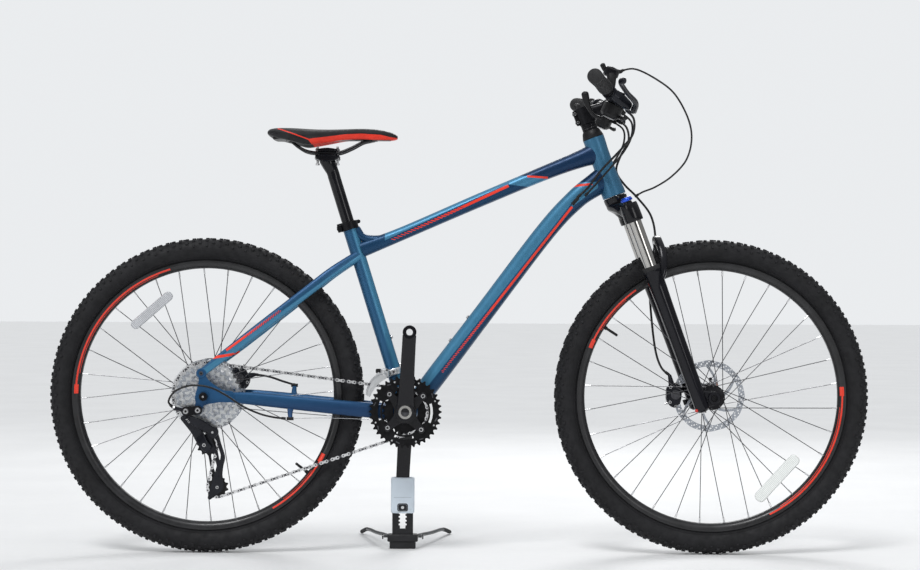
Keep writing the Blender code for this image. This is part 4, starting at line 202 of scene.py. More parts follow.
def rounded_box(width, height, corner, steps=5):
    """Outline of a rectangle with quarter-circle corners, anticlockwise."""
    quarter = np.linspace(0, math.pi / 2, steps)
    arc = np.stack([np.cos(quarter), np.sin(quarter)], axis=1) * corner
    out = []
    for turn, (sx, sy) in enumerate(((1, 1), (-1, 1), (-1, -1), (1, -1))):
        cos, sin = math.cos(turn * math.pi / 2), math.sin(turn * math.pi / 2)
        spin = np.array([[cos, -sin], [sin, cos]])
        out.append(arc @ spin.T + [sx * (width / 2 - corner), sy * (height / 2 - corner)])
    return np.vstack(out)


def circle(radius, sides, middle=(0.0, 0.0)):
    """Points round a circle, anticlockwise."""
    angle = np.arange(sides) / sides * math.tau
    return np.stack([np.cos(angle), np.sin(angle)], axis=1) * radius + np.asarray(middle)


def polar(radius, degrees):
    """Flat points at a radius and an angle from the first axis."""
    angle = np.radians(degrees)
    return np.stack([radius * np.cos(angle), radius * np.sin(angle)], axis=-1)


def inset(outline, amount):
    """Outline moved inwards along its own normals; an anticlockwise outline shrinks."""
    along = unit(np.roll(outline, -1, axis=0) - np.roll(outline, 1, axis=0))
    return outline + np.stack([-along[:, 1], along[:, 0]], axis=1) * amount


def axes(origin, up, ahead=None):
    """4x4 place whose Z is up and whose X is as near to ahead as it can be."""
    up = unit(up)
    if ahead is None:
        ahead = X if abs(up[0]) < 0.9 else Y
    ahead = np.asarray(ahead, float)
    ahead = unit(ahead - up * (ahead @ up))
    place = np.eye(4)
    place[:3, 0], place[:3, 1], place[:3, 2] = ahead, np.cross(up, ahead), up
    place[:3, 3] = origin
    return place


def side_view(x, y, z):
    """Place of a flat drawing seen from the right: its X ahead, its Y up, facing -Y."""
    return axes((x, y, z), -Y, X)


def moved(points, place):
    """Points of a place's own axes, given in the shared frame."""
    return points @ place[:3, :3].T + place[:3, 3]


# ------------------------------------------------------------------ pieces

class Piece:
    """Collects surfaces with their own UV map and finishes, then makes them one object."""

    def __init__(self, name):
        self.name = name
        self.points = []
        self.count = 0
        self.faces = []
        self.uvs = []
        self.slots = []
        self.finishes = []

    def slot(self, paint):
        """Number of a finish among the piece's own; it is given itself or by its name."""
        paint = finish(paint) if isinstance(paint, str) else paint
        if paint not in self.finishes:
            self.finishes.append(paint)
        return self.finishes.index(paint)

    def add(self, points, faces, uvs, finish):
        """Faces are arrays of corner numbers, all with the same number of corners per array.

        The signed volume, a sixth of the sum of every face's triple products, is negative when a
        closed surface faces inwards; its faces are then turned round.
        """
        volume = 0.0
        middle = points.mean(axis=0)
        for corners in faces:
            shape = points[corners] - middle
            for k in range(1, corners.shape[1] - 1):
                volume += np.einsum("ij,ij->", shape[:, 0], np.cross(shape[:, k], shape[:, k + 1]))
        if volume < 0:
            faces = [corners[:, ::-1] for corners in faces]
            uvs = [uv[:, ::-1] for uv in uvs]
        self.points.append(points)
        for corners, uv in zip(faces, uvs):
            self.faces.append(corners + self.count)
            self.uvs.append(uv)
            self.slots.append(np.full(len(corners), self.slot(finish)))
        self.count += len(points)

    def grid(self, grid, finish, loop=False):
        """Surface over a grid of points: rows run along it and columns round it.

        Each face joins two neighbouring rows and columns; U counts columns and V rows, 0 to 1.
        """
        rows, columns = grid.shape[:2]
        row = np.arange(rows if loop else rows - 1)
        column = np.arange(columns)
        r, c = np.meshgrid(row, column, indexing="ij")
        r1, c1 = (r + 1) % rows, (c + 1) % columns
        corners = np.stack([r * columns + c, r * columns + c1, r1 * columns + c1,
                            r1 * columns + c], axis=-1).reshape(-1, 4)
        u0, u1 = c / len(column), (c + 1) / len(column)
        v0, v1 = r / len(row), (r + 1) / len(row)
        uv = np.stack([np.stack([u0, v0], -1), np.stack([u1, v0], -1), np.stack([u1, v1], -1),
                       np.stack([u0, v1], -1)], axis=-2).reshape(-1, 4, 2)
        faces, uvs = [corners], [uv]
        if not loop:
            ring = np.arange(columns)
            around_uv = np.stack([ring / columns, np.zeros(columns)], axis=1)
            faces += [ring[::-1][None], (ring + (rows - 1) * columns)[None]]
            uvs += [around_uv[::-1][None], (around_uv + [0, 1])[None]]
        self.add(grid.reshape(-1, 3), faces, uvs, finish)

    def tube(self, path, radius, finish, sides=12, wide=None, power=2.0, start=None,
             round_ends=0.0):
        """Section carried along a path: its half widths are radius and wide, read along it."""
        path = np.asarray(path, float)
        count = len(path)
        tall = spread(radius, count)
        broad = tall if wide is None else spread(wide, count)
        tangent, normal, side = turning_frames(path, start)
        if round_ends > 0.0:
            bend = np.linspace(0.0, math.pi / 2, 5)[1:]
            reach, shrink = np.sin(bend) * round_ends, np.cos(bend) * 0.999 + 0.001
            for end, sign in ((0, -1), (-1, 1)):
                extra = path[end] + sign * tangent[end] * (reach * tall[end])[:, None]
                order = slice(None, None, -1) if end == 0 else slice(None)
                joined = (lambda a, b: np.concatenate([b[order], a]) if end == 0
                          else np.concatenate([a, b]))
                path = joined(path, extra)
                normal = joined(normal, np.repeat(normal[end][None], 4, axis=0))
                side = joined(side, np.repeat(side[end][None], 4, axis=0))
                tangent = joined(tangent, np.repeat(tangent[end][None], 4, axis=0))
                tall, broad = (joined(tall, tall[end] * shrink), joined(broad, broad[end] * shrink))
        section = oval(sides, power)
        grid = (path[:, None] + normal[:, None] * (section[None, :, 0:1] * tall[:, None, None])
                + side[:, None] * (section[None, :, 1:2] * broad[:, None, None]))
        self.grid(grid, finish)

    def lathe(self, profile, origin, direction, finish, sides=32, loop=False):
        """Profile of (radius, height) turned about an axis, heights running up it."""
        profile = np.asarray(profile, float)
        place = axes(origin, direction)
        angle = np.arange(sides) / sides * math.tau
        grid = np.stack([profile[:, :1] * np.cos(angle), profile[:, :1] * np.sin(angle),
                         np.repeat(profile[:, 1:], sides, axis=1)], axis=-1)
        self.grid(moved(grid, place), finish, loop=loop)

    def prism(self, outline, height, place, finish, edge=0.0006):
        """Outline raised by a height, centred on the place, its rims cut back by an edge."""
        outline = anticlockwise(outline)
        small = inset(outline, edge)
        grid = levels([(small, -height / 2), (outline, -height / 2 + edge),
                       (outline, height / 2 - edge), (small, height / 2)])
        self.grid(moved(grid, place), finish)

    def plate(self, outline, holes, thickness, place, finish):
        """Flat plate with holes: both faces cut into triangles, and a wall round each outline."""
        rings = [anticlockwise(outline)] + [anticlockwise(hole)[::-1] for hole in holes]
        flat = np.vstack(rings)
        count = len(flat)
        cut = np.array(tessellate_polygon([[Vector((x, y, 0)) for x, y in ring]
                                           for ring in rings]))
        a, b, c = (flat[cut[:, k]] for k in range(3))
        turned = ((b - a)[:, 0] * (c - a)[:, 1] - (b - a)[:, 1] * (c - a)[:, 0]) < 0
        cut[turned] = cut[turned][:, ::-1]
        walls = []
        start = 0
        for ring in rings:
            index = start + np.arange(len(ring))
            after = start + (np.arange(len(ring)) + 1) % len(ring)
            walls.append(np.stack([index, after, after + count, index + count], axis=1))
            start += len(ring)
        walls = np.vstack(walls)
        points = levels([(flat, -thickness / 2), (flat, thickness / 2)]).reshape(-1, 3)
        scale = 1.0 / max(np.ptp(flat[:, 0]), np.ptp(flat[:, 1]))
        uv = np.vstack([flat, flat]) * scale
        faces = [cut[:, ::-1], cut + count, walls]
        self.add(moved(points, place), faces, [uv[f] for f in faces], finish)

    def bolt(self, origin, direction, radius, finish, height=None, sides=18):
        """Round bolt head with a six-sided socket sunk in it, its floor near-black as painted
        shade.
        """
        height = height or radius * 0.9
        place = axes(origin, direction)
        ring = circle(1.0, sides)
        socket_half = radius * 0.55
        angle = np.radians((np.arange(sides) / sides * 360.0 + 30.0) % 60.0 - 30.0)
        key = ring * (socket_half * math.cos(math.radians(30)) / np.cos(angle))[:, None]
        # the socket's floor: a near-black sheet, painted shade deep in the socket
        floor = levels([(key * 0.98, height * 0.30), (key * 0.98, height * 0.40)])
        self.grid(moved(floor, place), "socket_floor_shade")
        head = levels([(ring * radius, 0.0), (ring * radius, height * 0.8),
                       (ring * radius * 0.9, height), (key, height), (key, height * 0.35)])
        self.grid(moved(head, place), finish)

    def ring(self, radii, height, origin, direction, finish, sides=40):
        """Flat washer with a chamfered rim, standing on its place."""
        inner, outer = radii
        edge = min(0.0008, (outer - inner) / 3, height / 3)
        self.lathe([(inner, 0.0), (outer - edge, 0.0), (outer, edge), (outer, height - edge),
                    (outer - edge, height), (inner, height)], origin, direction, finish,
                   sides=sides, loop=True)

    def repeat(self, shape, places, finish):
        """Copy a small shape, which is a template's points and faces, to many 4x4 places."""
        template, faces = shape
        points = np.einsum("nij,mj->nmi", places[:, :3, :3], template) + places[:, None, :3, 3]
        count, size = len(places), len(template)
        shifts = (np.arange(count) * size)[:, None, None]
        low, high = template.min(axis=0), template.max(axis=0)
        flat = (template - low)[:, :2] / max((high - low).max(), 1e-9)
        uvs = [flat[np.tile(f, (count, 1, 1)).reshape(-1, f.shape[1])] for f in faces]
        faces = [(f[None] + shifts).reshape(-1, f.shape[1]) for f in faces]
        self.add(points.reshape(-1, 3), faces, uvs, finish)

    def rods(self, starts, ends, radius, finish, sides=8):
        """Straight round rods between two points, or between two arrays of points."""
        starts, ends = np.atleast_2d(starts, ends)
        along = ends - starts
        places = stack_places(starts, along, Y + 0.13 * X)
        places[:, :3, 2] *= np.linalg.norm(along, axis=1)[:, None]
        self.repeat(drum(radius, 1.0, sides), places, finish)

    def make(self, body, replaces=(), sharp=32.0):
        """One object from all the surfaces, riding on a body and standing for CAD nodes."""
        sizes = np.concatenate([np.full(len(f), f.shape[1]) for f in self.faces])
        corners = np.concatenate([f.ravel() for f in self.faces])
        points = np.vstack(self.points)
        mesh = bpy.data.meshes.new(self.name)
        mesh.vertices.add(len(points))
        mesh.vertices.foreach_set("co", points.ravel())
        mesh.loops.add(len(corners))
        mesh.loops.foreach_set("vertex_index", corners.astype(np.int32))
        mesh.polygons.add(len(sizes))
        starts = np.concatenate([[0], np.cumsum(sizes)[:-1]])
        mesh.polygons.foreach_set("loop_start", starts.astype(np.int32))
        mesh.polygons.foreach_set("material_index", np.concatenate(self.slots).astype(np.int32))
        layer = mesh.uv_layers.new(name="UVMap")
        layer.data.foreach_set("uv", np.concatenate([u.reshape(-1) for u in self.uvs]))
        mesh.update(calc_edges=True)
        for finish in self.finishes:
            mesh.materials.append(finish)
        mesh.shade_smooth()
        mesh.set_sharp_from_angle(angle=math.radians(sharp))
        item = bpy.data.objects.new(self.name, mesh)
        bpy.context.scene.collection.objects.link(item)
        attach(item, body)
        if replaces:
            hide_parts(*replaces)
        return item


def anticlockwise(outline):
    """Outline turned so that its area, half the sum of cross products round it, is positive."""
    outline = np.asarray(outline, float)
    after = np.roll(outline, -1, axis=0)
    area = 0.5 * np.sum(outline[:, 0] * after[:, 1] - outline[:, 1] * after[:, 0])
    return outline if area > 0 else outline[::-1]


def levels(rows):
    """Flat outlines with equal numbers of points, each raised to its own height."""
    return np.stack([np.column_stack([flat, np.full(len(flat), level)]) for flat, level in rows])


# ------------------------------------------------------------------ finishes

class Nodes:
    """Small helper that builds a material's node tree round its Principled BSDF."""

    def __init__(self, name):
        self.material = bpy.data.materials.new(name)
        self.material.use_nodes = True
        self.tree = self.material.node_tree
        self.shader = self.tree.nodes["Principled BSDF"]
        self.coordinates = self.tree.nodes.new("ShaderNodeTexCoord")

    def feed(self, socket, value):
        """Link a socket to another's output, or give it a plain value."""
        if isinstance(value, bpy.types.NodeSocket):
            self.tree.links.new(value, socket)
        else:
            socket.default_value = value

    def node(self, kind, inputs=(), **settings):
        """New node with its own settings and with values or links at its inputs."""
        made = self.tree.nodes.new(kind)
        for key, value in settings.items():
            setattr(made, key, value)
        for key, value in inputs:
            self.feed(made.inputs[key], value)
        return made

    def math(self, operation, first, second=0.0, third=0.0):
        return self.node("ShaderNodeMath", [(0, first), (1, second), (2, third)],
                         operation=operation).outputs[0]

    def noise(self, scale, detail=3.0):
        """Noise over the object's own coordinates."""
        return self.node("ShaderNodeTexNoise",
                         [("Vector", self.coordinates.outputs["Object"]), ("Scale", scale),
                          ("Detail", detail)]).outputs["Fac"]

    def ramp(self, value, low, high, start=0.35, end=0.65):
        """Value read from LOW to HIGH between two places."""
        return self.node("ShaderNodeMapRange", [("Value", value), ("From Min", start),
                                                ("From Max", end), ("To Min", low),
                                                ("To Max", high)]).outputs[0]

    def mix(self, share, first, second):
        """Colour between two, given as links or as red, green and blue."""
        first, second = (colour if isinstance(colour, bpy.types.NodeSocket)
                         else (*colour[:3], 1.0) for colour in (first, second))
        return self.node("ShaderNodeMix", [(0, share), (6, first), (7, second)],
                         data_type="RGBA").outputs[2]

    def bump(self, height, strength, distance):
        """Normal tilted by the slope of a height; distance is the relief's depth."""
        return self.node("ShaderNodeBump", [("Height", height), ("Strength", strength),
                                            ("Distance", distance)]).outputs[0]

    def drift(self, scale, detail, low, high):
        """Colour that drifts between two with a noise."""
        return self.mix(self.ramp(self.noise(scale, detail), 0.0, 1.0), low, high)

    def set(self, **values):
        """Give the shader's sockets, named without spaces, their values or links."""
        for key, value in values.items():
            self.feed(self.shader.inputs[key.replace("_", " ")], value)


def shade(colour, factor):
    """Colour made lighter or darker by a factor, none of its channels above 1."""
    return tuple(min(1.0, channel * factor) for channel in colour[:3])


# each finish: colour (or share of the tyres' colour), roughness, metal, coat, drift of colour and
# its scale, grain and its relief, drift of roughness, shine, and the grain's depth if not 0.2 mm
LOOKS = {
    "tyre": (0.7, 0.72, 0, 0, 0.22, 24, 420, 0.35, 0.1, 0.3, 0.0004),
    "tread": (1, 0.82, 0, 0, 0.25, 40, 700, 0.4, 0.08, 0.35, 0.0003),
    "spoke_steel": ((0.1, 0.1, 0.105), 0.3, 0.85, 0, 0.1, 30, 900, 0.06, 0.06, 0.5),
    "nipple": ((0.62, 0.62, 0.63), 0.28, 1, 0, 0.12, 30, 900, 0.06, 0.06, 0.5),
    "black_anodised": ((0.011, 0.011, 0.013), 0.36, 0.5, 0, 0.2, 55, 700, 0.02, 0.06, 0.2),
    "forged_black": ((0.013, 0.014, 0.019), 0.26, 0.35, 0.16, 0.15, 30, 600, 0.02, 0.06, 0.2),
    "gloss_black": ((0.006, 0.006, 0.008), 0.2, 0, 0.22, 0.15, 30, 260, 0.03, 0.04, 0.2),
    "fork_black": ((0.007, 0.007, 0.01), 0.19, 0.2, 0.22, 0.12, 30, 300, 0.03, 0.03, 0.2),
    "chainring_black": ((0.013, 0.013, 0.014), 0.42, 0.7, 0, 0.25, 80, 600, 0.03, 0.06, 0.2),
    "steel": ((0.6, 0.6, 0.61), 0.24, 1, 0, 0.08, 90, 400, 0.02, 0.06, 0.5),
    "rotor_steel": ((0.5, 0.53, 0.58), 0.28, 0.9, 0, 0.08, 150, 400, 0.02, 0.06, 0.5),
    # painted shade: near-black for the chain's rollers and pins, in the gaps between its plates
    "chain_gap_shade": ((0.035, 0.035, 0.038), 0.45, 0.8, 0, 0.3, 120, 400, 0.02, 0.06, 0.5),
    "chain_steel": ((0.78, 0.78, 0.79), 0.26, 0.95, 0, 0.15, 120, 400, 0.02, 0.06, 0.5),
    "dark_steel": ((0.11, 0.11, 0.12), 0.36, 0.9, 0, 0.2, 90, 400, 0.02, 0.06, 0.5),
    "silver": ((0.78, 0.79, 0.8), 0.3, 0.9, 0, 0.05, 30, 400, 0.02, 0.02, 0.5),
    "chrome": ((0.44, 0.43, 0.41), 0.12, 1, 0, 0.03, 30, 300, 0.01, 0.03, 0.5),
    "plastic": ((0.01, 0.01, 0.011), 0.42, 0, 0, 0.2, 30, 1200, 0.12, 0.08, 0.25),
    "stand_plastic": ((0.016, 0.016, 0.018), 0.42, 0, 0, 0.2, 30, 900, 0.12, 0.08, 0.3),
    "hose": ((0.011, 0.011, 0.012), 0.36, 0, 0, 0.2, 30, 900, 0.08, 0.06, 0.3),
    "grip": ((0.011, 0.011, 0.012), 0.72, 0, 0, 0.2, 30, 1500, 0.3, 0.08, 0.5),
    "blue_dial": ((0.02, 0.09, 0.62), 0.24, 0.85, 0.3, 0.1, 30, 900, 0.06, 0.06, 0.5),
    "orange": ((0.8, 0.2, 0.025), 0.35, 0, 0.4, 0.08, 30, 900, 0.06, 0.06, 0.5),
    "red_seal": ((0.62, 0.03, 0.02), 0.5, 0, 0, 0.12, 30, 900, 0.06, 0.06, 0.5),
    "grey_rod": ((0.085, 0.088, 0.092), 0.38, 0.5, 0, 0.15, 30, 1200, 0.08, 0.06, 0.5),
    "seam_grey": ((0.36, 0.41, 0.46), 0.55, 0, 0, 0.1, 30, 900, 0.06, 0.06, 0.5),
    # painted shade: near-black for the floor of every bolt socket
    "socket_floor_shade": ((0.004, 0.004, 0.004), 0.9, 0, 0, 0.3, 30, 900, 0.06, 0.06, 0.5),
}


def settings():
    return bpy.context.scene.bicycle


@cache
def finish(name):
    """Finish whose colour and gloss drift a little and whose surface has a fine grain."""
    (colour, roughness, metal, coat, vary, scale, grain, relief, rough_vary, shine,
     depth) = (*LOOKS[name], 0.0002)[:11]
    if not isinstance(colour, tuple):
        colour = shade(settings().tyre_colour, colour)
    made = Nodes(name)
    made.set(Base_Color=made.drift(scale, 4.0, shade(colour, 1 - vary), shade(colour, 1 + vary)),
             Roughness=made.ramp(made.noise(scale * 3.1, 5.0), roughness - rough_vary,
                                 roughness + rough_vary),
             Normal=made.bump(made.noise(grain, 2.0), relief, depth), Metallic=metal,
             Coat_Weight=coat, Coat_Roughness=0.05, Specular_IOR_Level=shine)
    return made.material


# ------------------------------------------------------------------ repeated shapes

def raised(low, high):
    """Template of a solid between two flat outlines at their heights, with both ends closed."""
    count = len(low[0])
    index = np.arange(count)
    after = (index + 1) % count
    walls = np.stack([index, after, after + count, index + count], axis=1)
    return (levels([low, high]).reshape(-1, 3), [walls, index[::-1][None], (index + count)[None]])


def drum(radius, height, sides=10, end_radius=None):
    """Template of a short cylinder standing on its place."""
    ring = circle(1.0, sides)
    return raised((ring * radius, 0.0), (ring * (end_radius or radius), height))


def slab(outline, height):
    """Template of a flat plate with a rounded outline, centred on its place."""
    outline = anticlockwise(outline)
    return raised((outline, -height / 2), (outline, height / 2))


def block(long, wide, tall, taper=0.8):
    """Template of a tread block: a box standing on its place, narrower at its top."""
    base = np.array([(-1, -1), (1, -1), (1, 1), (-1, 1)]) * np.array([long / 2, wide / 2])
    points, faces = raised((base, 0.0), (base * taper, tall))
    return points, [np.vstack(faces)]


def stack_places(origins, up, ahead):
    """4x4 places from arrays of origins and of two directions."""
    up = unit(np.broadcast_to(up, origins.shape))
    ahead = np.broadcast_to(ahead, origins.shape)
    ahead = unit(ahead - up * np.sum(ahead * up, axis=1, keepdims=True))
    places = np.tile(np.eye(4), (len(origins), 1, 1))
    places[:, :3, 0], places[:, :3, 1], places[:, :3, 2] = ahead, np.cross(up, ahead), up
    places[:, :3, 3] = origins
    return places


# ------------------------------------------------------------------ wheels

TYRE_RADIUS = extent("front_tyre")[2] / 2
SECTION_TALL, SECTION_WIDE = 0.0235, 0.0262   # half sizes of the tyre's oval section
SECTION_MIDDLE = TYRE_RADIUS - 0.0030 - SECTION_TALL
RIM_RADIUS = TYRE_RADIUS - 0.0490
RIM_DEPTH = 0.0185
RIM_HALF = extent("front_rim")[1] / 2
SPOKES = 16
FLANGE_RADIUS = 0.0275
ROTOR_RADIUS = extent("front_rotor")[2] / 2
VALVES = {"front": 147.0, "rear": -37.5}
HUBS = {"front": FRONT, "rear": REAR}
FLANGES = {"front": (-0.0320, 0.0260), "rear": (-0.0185, 0.0340)}
# red arcs on the rims: first and last angles in degrees, then the radii between which the arc,
# the hook at its end and the thin line beside it lie
ARCS = {"front": ((125.4, 158.1), (-63.4, 4.7)), "rear": ((106.4, 179.5), (-59.5, -26.4))}
ARC_RADII, HOOK_RADII, LINE_RADII = (0.2868, 0.2905), (0.2835, 0.2925), (0.2838, 0.2848)


def angle_value(made, hub):
    """Degrees round a hub, from ahead to up, and the distance from its axis, as node values."""
    split = made.node("ShaderNodeSeparateXYZ", [(0, made.coordinates.outputs["Object"])])
    ahead = made.math("SUBTRACT", split.outputs["X"], float(hub[0]))
    up = made.math("SUBTRACT", split.outputs["Z"], float(hub[2]))
    degrees = made.math("MULTIPLY", made.math("ARCTAN2", up, ahead), 180 / math.pi)
    radius = made.math("SQRT", made.math("ADD", made.math("MULTIPLY", ahead, ahead),
                                         made.math("MULTIPLY", up, up)))
    return degrees, radius


def inside(made, value, low, high):
    """1 where a value lies between two limits."""
    return made.math("MULTIPLY", made.math("GREATER_THAN", value, low),
                     made.math("LESS_THAN", value, high))


def rim_finish(end):
    """Satin black rim with red arcs and a fine grain."""
    made = Nodes(f"{end}_rim_paint")
    degrees, radius = angle_value(made, HUBS[end])
    mask = 0.0
    for first, last in ARCS[end]:
        wide = inside(made, radius, *ARC_RADII)
        part = made.math("MULTIPLY", inside(made, degrees, first, last), wide)
        hook = made.math("MULTIPLY", inside(made, degrees, last - 4.0, last),
                         inside(made, radius, *HOOK_RADII))
        thin = made.math("MULTIPLY", inside(made, degrees, first + 6.0, last - 9.0),
                         inside(made, radius, *LINE_RADII))
        mask = made.math("MAXIMUM", mask, made.math("MAXIMUM", part,
                                                    made.math("MAXIMUM", hook, thin)))
    black = made.drift(28.0, 4.0, (0.010, 0.010, 0.011), (0.020, 0.020, 0.022))
    made.set(Base_Color=made.mix(mask, black, settings().accent_colour),
             Roughness=made.ramp(made.noise(90.0, 4.0), 0.30, 0.46),
             Normal=made.bump(made.noise(900.0, 2.0), 0.05, 0.0002), Metallic=0.25,
             Coat_Weight=0.2, Coat_Roughness=0.2)
    return made.material


def tyre_section(count):
    """Section of the tyre: an ellipse from bead to bead, (distance from axle, side)."""
    turn = np.linspace(-math.radians(156.0), math.radians(156.0), count)
    return np.stack([SECTION_MIDDLE + SECTION_TALL * np.cos(turn), SECTION_WIDE * np.sin(turn)],
                    axis=1)


# rows of tread blocks: tilt round the section, a block's length, width and height, its shift
# along the row in blocks, and its slant
TREAD = ((0.0, 0.0088, 0.0060, 0.0030, 0.0, 0.0), (15.0, 0.0078, 0.0054, 0.0031, 0.5, 14.0),
         (32.0, 0.0070, 0.0062, 0.0033, 0.0, -16.0), (50.0, 0.0062, 0.0068, 0.0032, 0.5, 8.0),
         (66.0, 0.0046, 0.0060, 0.0022, 0.0, 0.0))
BLOCKS = 72     # in each row
SUNK = 0.0005   # how deep a tread block stands in the casing


def build_tyre(end):
    """Casing, bead lines and tread.

    The casing is the section turned about the axle and closed over the rim. A block's origin is
    the ellipse's point at its row's angle, and its up is the ellipse's normal there.
    """
    hub = HUBS[end]
    piece = Piece(f"{end}_tyre_rubber")
    bead = [(RIM_RADIUS - 0.0008, 0.0112), (RIM_RADIUS - 0.0008, -0.0112)]
    profile = np.vstack([tyre_section(41), bead])
    piece.lathe(profile[::-1], hub, Y, "tyre", sides=200, loop=True)
    for side in (-1, 1):
        ring = np.linspace(0, math.tau, 9)[:-1]
        bead_line = np.stack([RIM_RADIUS + 0.0052 + 0.0007 * np.cos(ring),
                              side * 0.0181 + 0.0007 * np.sin(ring)], axis=1)
        piece.lathe(bead_line[::-1], hub, Y, "tyre", sides=160, loop=True)
    for tilt, long, wide, tall, shift, slant in TREAD:
        for side in ((-1, 1) if tilt else (1,)):
            turn = math.radians(tilt) * side
            stagger = shift + (0.25 if side > 0 and tilt else 0.0)
            angle = np.radians((np.arange(BLOCKS) + stagger) * 360.0 / BLOCKS)
            reach = SECTION_MIDDLE + SECTION_TALL * math.cos(turn) - SUNK
            out = np.stack([np.cos(angle), 0 * angle, np.sin(angle)], axis=1)
            along = np.stack([-np.sin(angle), 0 * angle, np.cos(angle)], axis=1)
            origins = hub + out * reach + Y * (SECTION_WIDE * math.sin(turn))
            normal = unit(out * math.cos(turn) / SECTION_TALL + Y * math.sin(turn) / SECTION_WIDE)
            lean = math.radians(slant) * side
            ahead = along * math.cos(lean) + np.cross(normal, along) * math.sin(lean)
            piece.repeat(block(long, wide, tall + SUNK, 0.82),
                         stack_places(origins, normal, ahead), "tread")
    piece.make(f"{end}_wheel", [f"{end}_tyre"])


def build_rim(end):
    """Rim: a hollow-looking section turned about the axle, with its valve."""
    hub = HUBS[end]
    piece = Piece(f"{end}_rim_band")
    half, top, deep = RIM_HALF, RIM_RADIUS, RIM_RADIUS - RIM_DEPTH
    wall = [(top - 0.0002, half - 0.0008), (top - 0.0010, half), (top - 0.0060, half),
            (top - 0.0105, half - 0.0006), (top - 0.0140, half - 0.0030), (deep + 0.0010, 0.0058),
            (deep, 0.0035)]
    profile = [(radius, -y) for radius, y in wall] + wall[::-1]
    piece.lathe(profile, hub, Y, rim_finish(end), sides=200, loop=True)
    out = around(hub, 1.0, VALVES[end], 0.0) - hub
    place = hub + out * deep
    piece.lathe(mm((0.1, -33), (2.6, -32.5), (3, -29), (3, -5), (4.4, -3.5), (4.4, 2), (0.1, 2)),
                place, out, "plastic", sides=16)
    piece.make(f"{end}_wheel", [f"{end}_rim"])


def spoke_ends(end, side):
    """Heads and rim ends of one flange's spokes, as in the solid model."""
    hub = HUBS[end]
    spacing = 360.0 / SPOKES
    index = np.arange(SPOKES)
    lead = np.where(index % 2 == 0, 1, -1)
    heads = VALVES[end] + spacing * (index + 0.25 + 0.5 * side)
    flange = FLANGES[end][side]
    start = around(hub, FLANGE_RADIUS - 0.0035, heads, flange + lead * 0.0013)
    finish_at = around(hub, RIM_RADIUS - RIM_DEPTH + 0.0008, heads + lead * spacing * 3,
                       math.copysign(0.0020, flange))
    return start, finish_at


def build_hub(end):
    """Hub shell turned about the axle, with spokes, their heads and brass nipples."""
    hub = HUBS[end]
    wide = extent(f"{end}_hub")[1] / 2
    low, high = FLANGES[end]
    rotor = centre(f"{end}_rotor")[1] - 0.0014
    tip = 0.0125 if end == "front" else 0.0095
    body = 0.0140 if end == "front" else 0.0165
    piece = Piece(f"{end}_hub_shell")
    profile = [(0.0001, wide), (tip - 0.0008, wide), (tip, wide - 0.0008), (tip, rotor + 0.0032),
               (0.0180, rotor + 0.0030), (0.0205, rotor + 0.0010), (0.0205, rotor - 0.0040),
               (body + 0.0010, rotor - 0.0075)]
    for y in (high, low):
        profile += [(body + 0.0008, y + 0.0034), (FLANGE_RADIUS - 0.0040, y + 0.0024),
                    (FLANGE_RADIUS - 0.0006, y + 0.0022), (FLANGE_RADIUS, y + 0.0012),
                    (FLANGE_RADIUS, y - 0.0012), (FLANGE_RADIUS - 0.0006, y - 0.0022),
                    (FLANGE_RADIUS - 0.0040, y - 0.0024), (body, y - 0.0060)]
    profile += [(body - 0.0005, low - 0.0070), (tip, low - 0.0072), (tip, -wide + 0.0008),
                (tip - 0.0008, -wide), (0.0001, -wide)]
    piece.lathe(profile[::-1], hub, Y, "black_anodised", sides=48)
    if end == "front":
        for y in (-0.0405, -0.0440, 0.0445):
            piece.lathe([(tip + 0.0018, -0.0011), (tip + 0.0022, 0.0), (tip + 0.0018, 0.0011),
                         (tip - 0.0010, 0.0011), (tip - 0.0010, -0.0011)],
                        hub + Y * y, Y, "steel", sides=32, loop=True)
    for place in around(hub, 0.0165, np.arange(6) * 60.0 + 12.0, rotor + 0.0028):
        piece.bolt(place, Y, 0.0042, "dark_steel", 0.0016, sides=12)
    for side in (0, 1):
        start, stop = spoke_ends(end, side)
        piece.rods(start, stop, 0.00100, "spoke_steel", sides=6)
        nipple = stop + unit(start - stop) * 0.0130
        piece.rods(stop, nipple, 0.00185, "nipple", sides=8)
        facing = np.where(np.arange(SPOKES) % 2 == 0, 1.0, -1.0)[:, None] * Y
        piece.repeat(drum(0.0021, 0.0012, 10, 0.0016),
                     stack_places(start, facing, X + 0.1 * Z), "spoke_steel")
    piece.make(f"{end}_wheel", [f"{end}_hub"])


def build_rotor(end):
    """Brake disc cut from one outline: round holes in the track and swept arms within."""
    hub = HUBS[end]
    y = centre(f"{end}_rotor")[1]
    holes = [circle(0.0128 if end == "front" else 0.0098, 32)]
    inner = ROTOR_RADIUS - 0.0135
    for start in range(0, 360, 60):
        turn = lambda radius, lean, gap: start + lean + math.degrees(gap / radius)
        ways = [(0.0290, 0.0), (0.0380, 8.0), (0.0480, 18.0), (0.0580, 27.0), (inner, 33.0)]
        near = [polar(r, turn(r, lean, 0.0034)) for r, lean in ways]
        far = [polar(r, turn(r, lean, -0.0034) + 60.0) for r, lean in ways]
        rim_arc = [polar(inner, turn(inner, 33.0, 0.0034) + share)
                   for share in np.linspace(4.0, 50.0, 9)]
        foot = [polar(0.0290, start + share) for share in (45.0, 30.0, 15.0)]
        holes.append(np.array(near + rim_arc + far[::-1] + foot))
    for start in range(0, 360, 10):
        for radius, size, shift in ((0.0765, 0.0017, 0.0), (0.0725, 0.0021, 3.4),
                                    (0.0690, 0.0015, 6.8)):
            holes.append(circle(size, 8, polar(radius, start + shift)))
    degrees = np.arange(216) / 216 * 360.0
    outline = polar(ROTOR_RADIUS - 0.0006 + 0.0006 * np.cos(np.radians(degrees * 12)), degrees)
    piece = Piece(f"{end}_brake_disc")
    piece.plate(outline, holes, 0.0018, side_view(hub[0], y, hub[2]), "rotor_steel")
    piece.make(f"{end}_wheel", [f"{end}_rotor"], sharp=25)


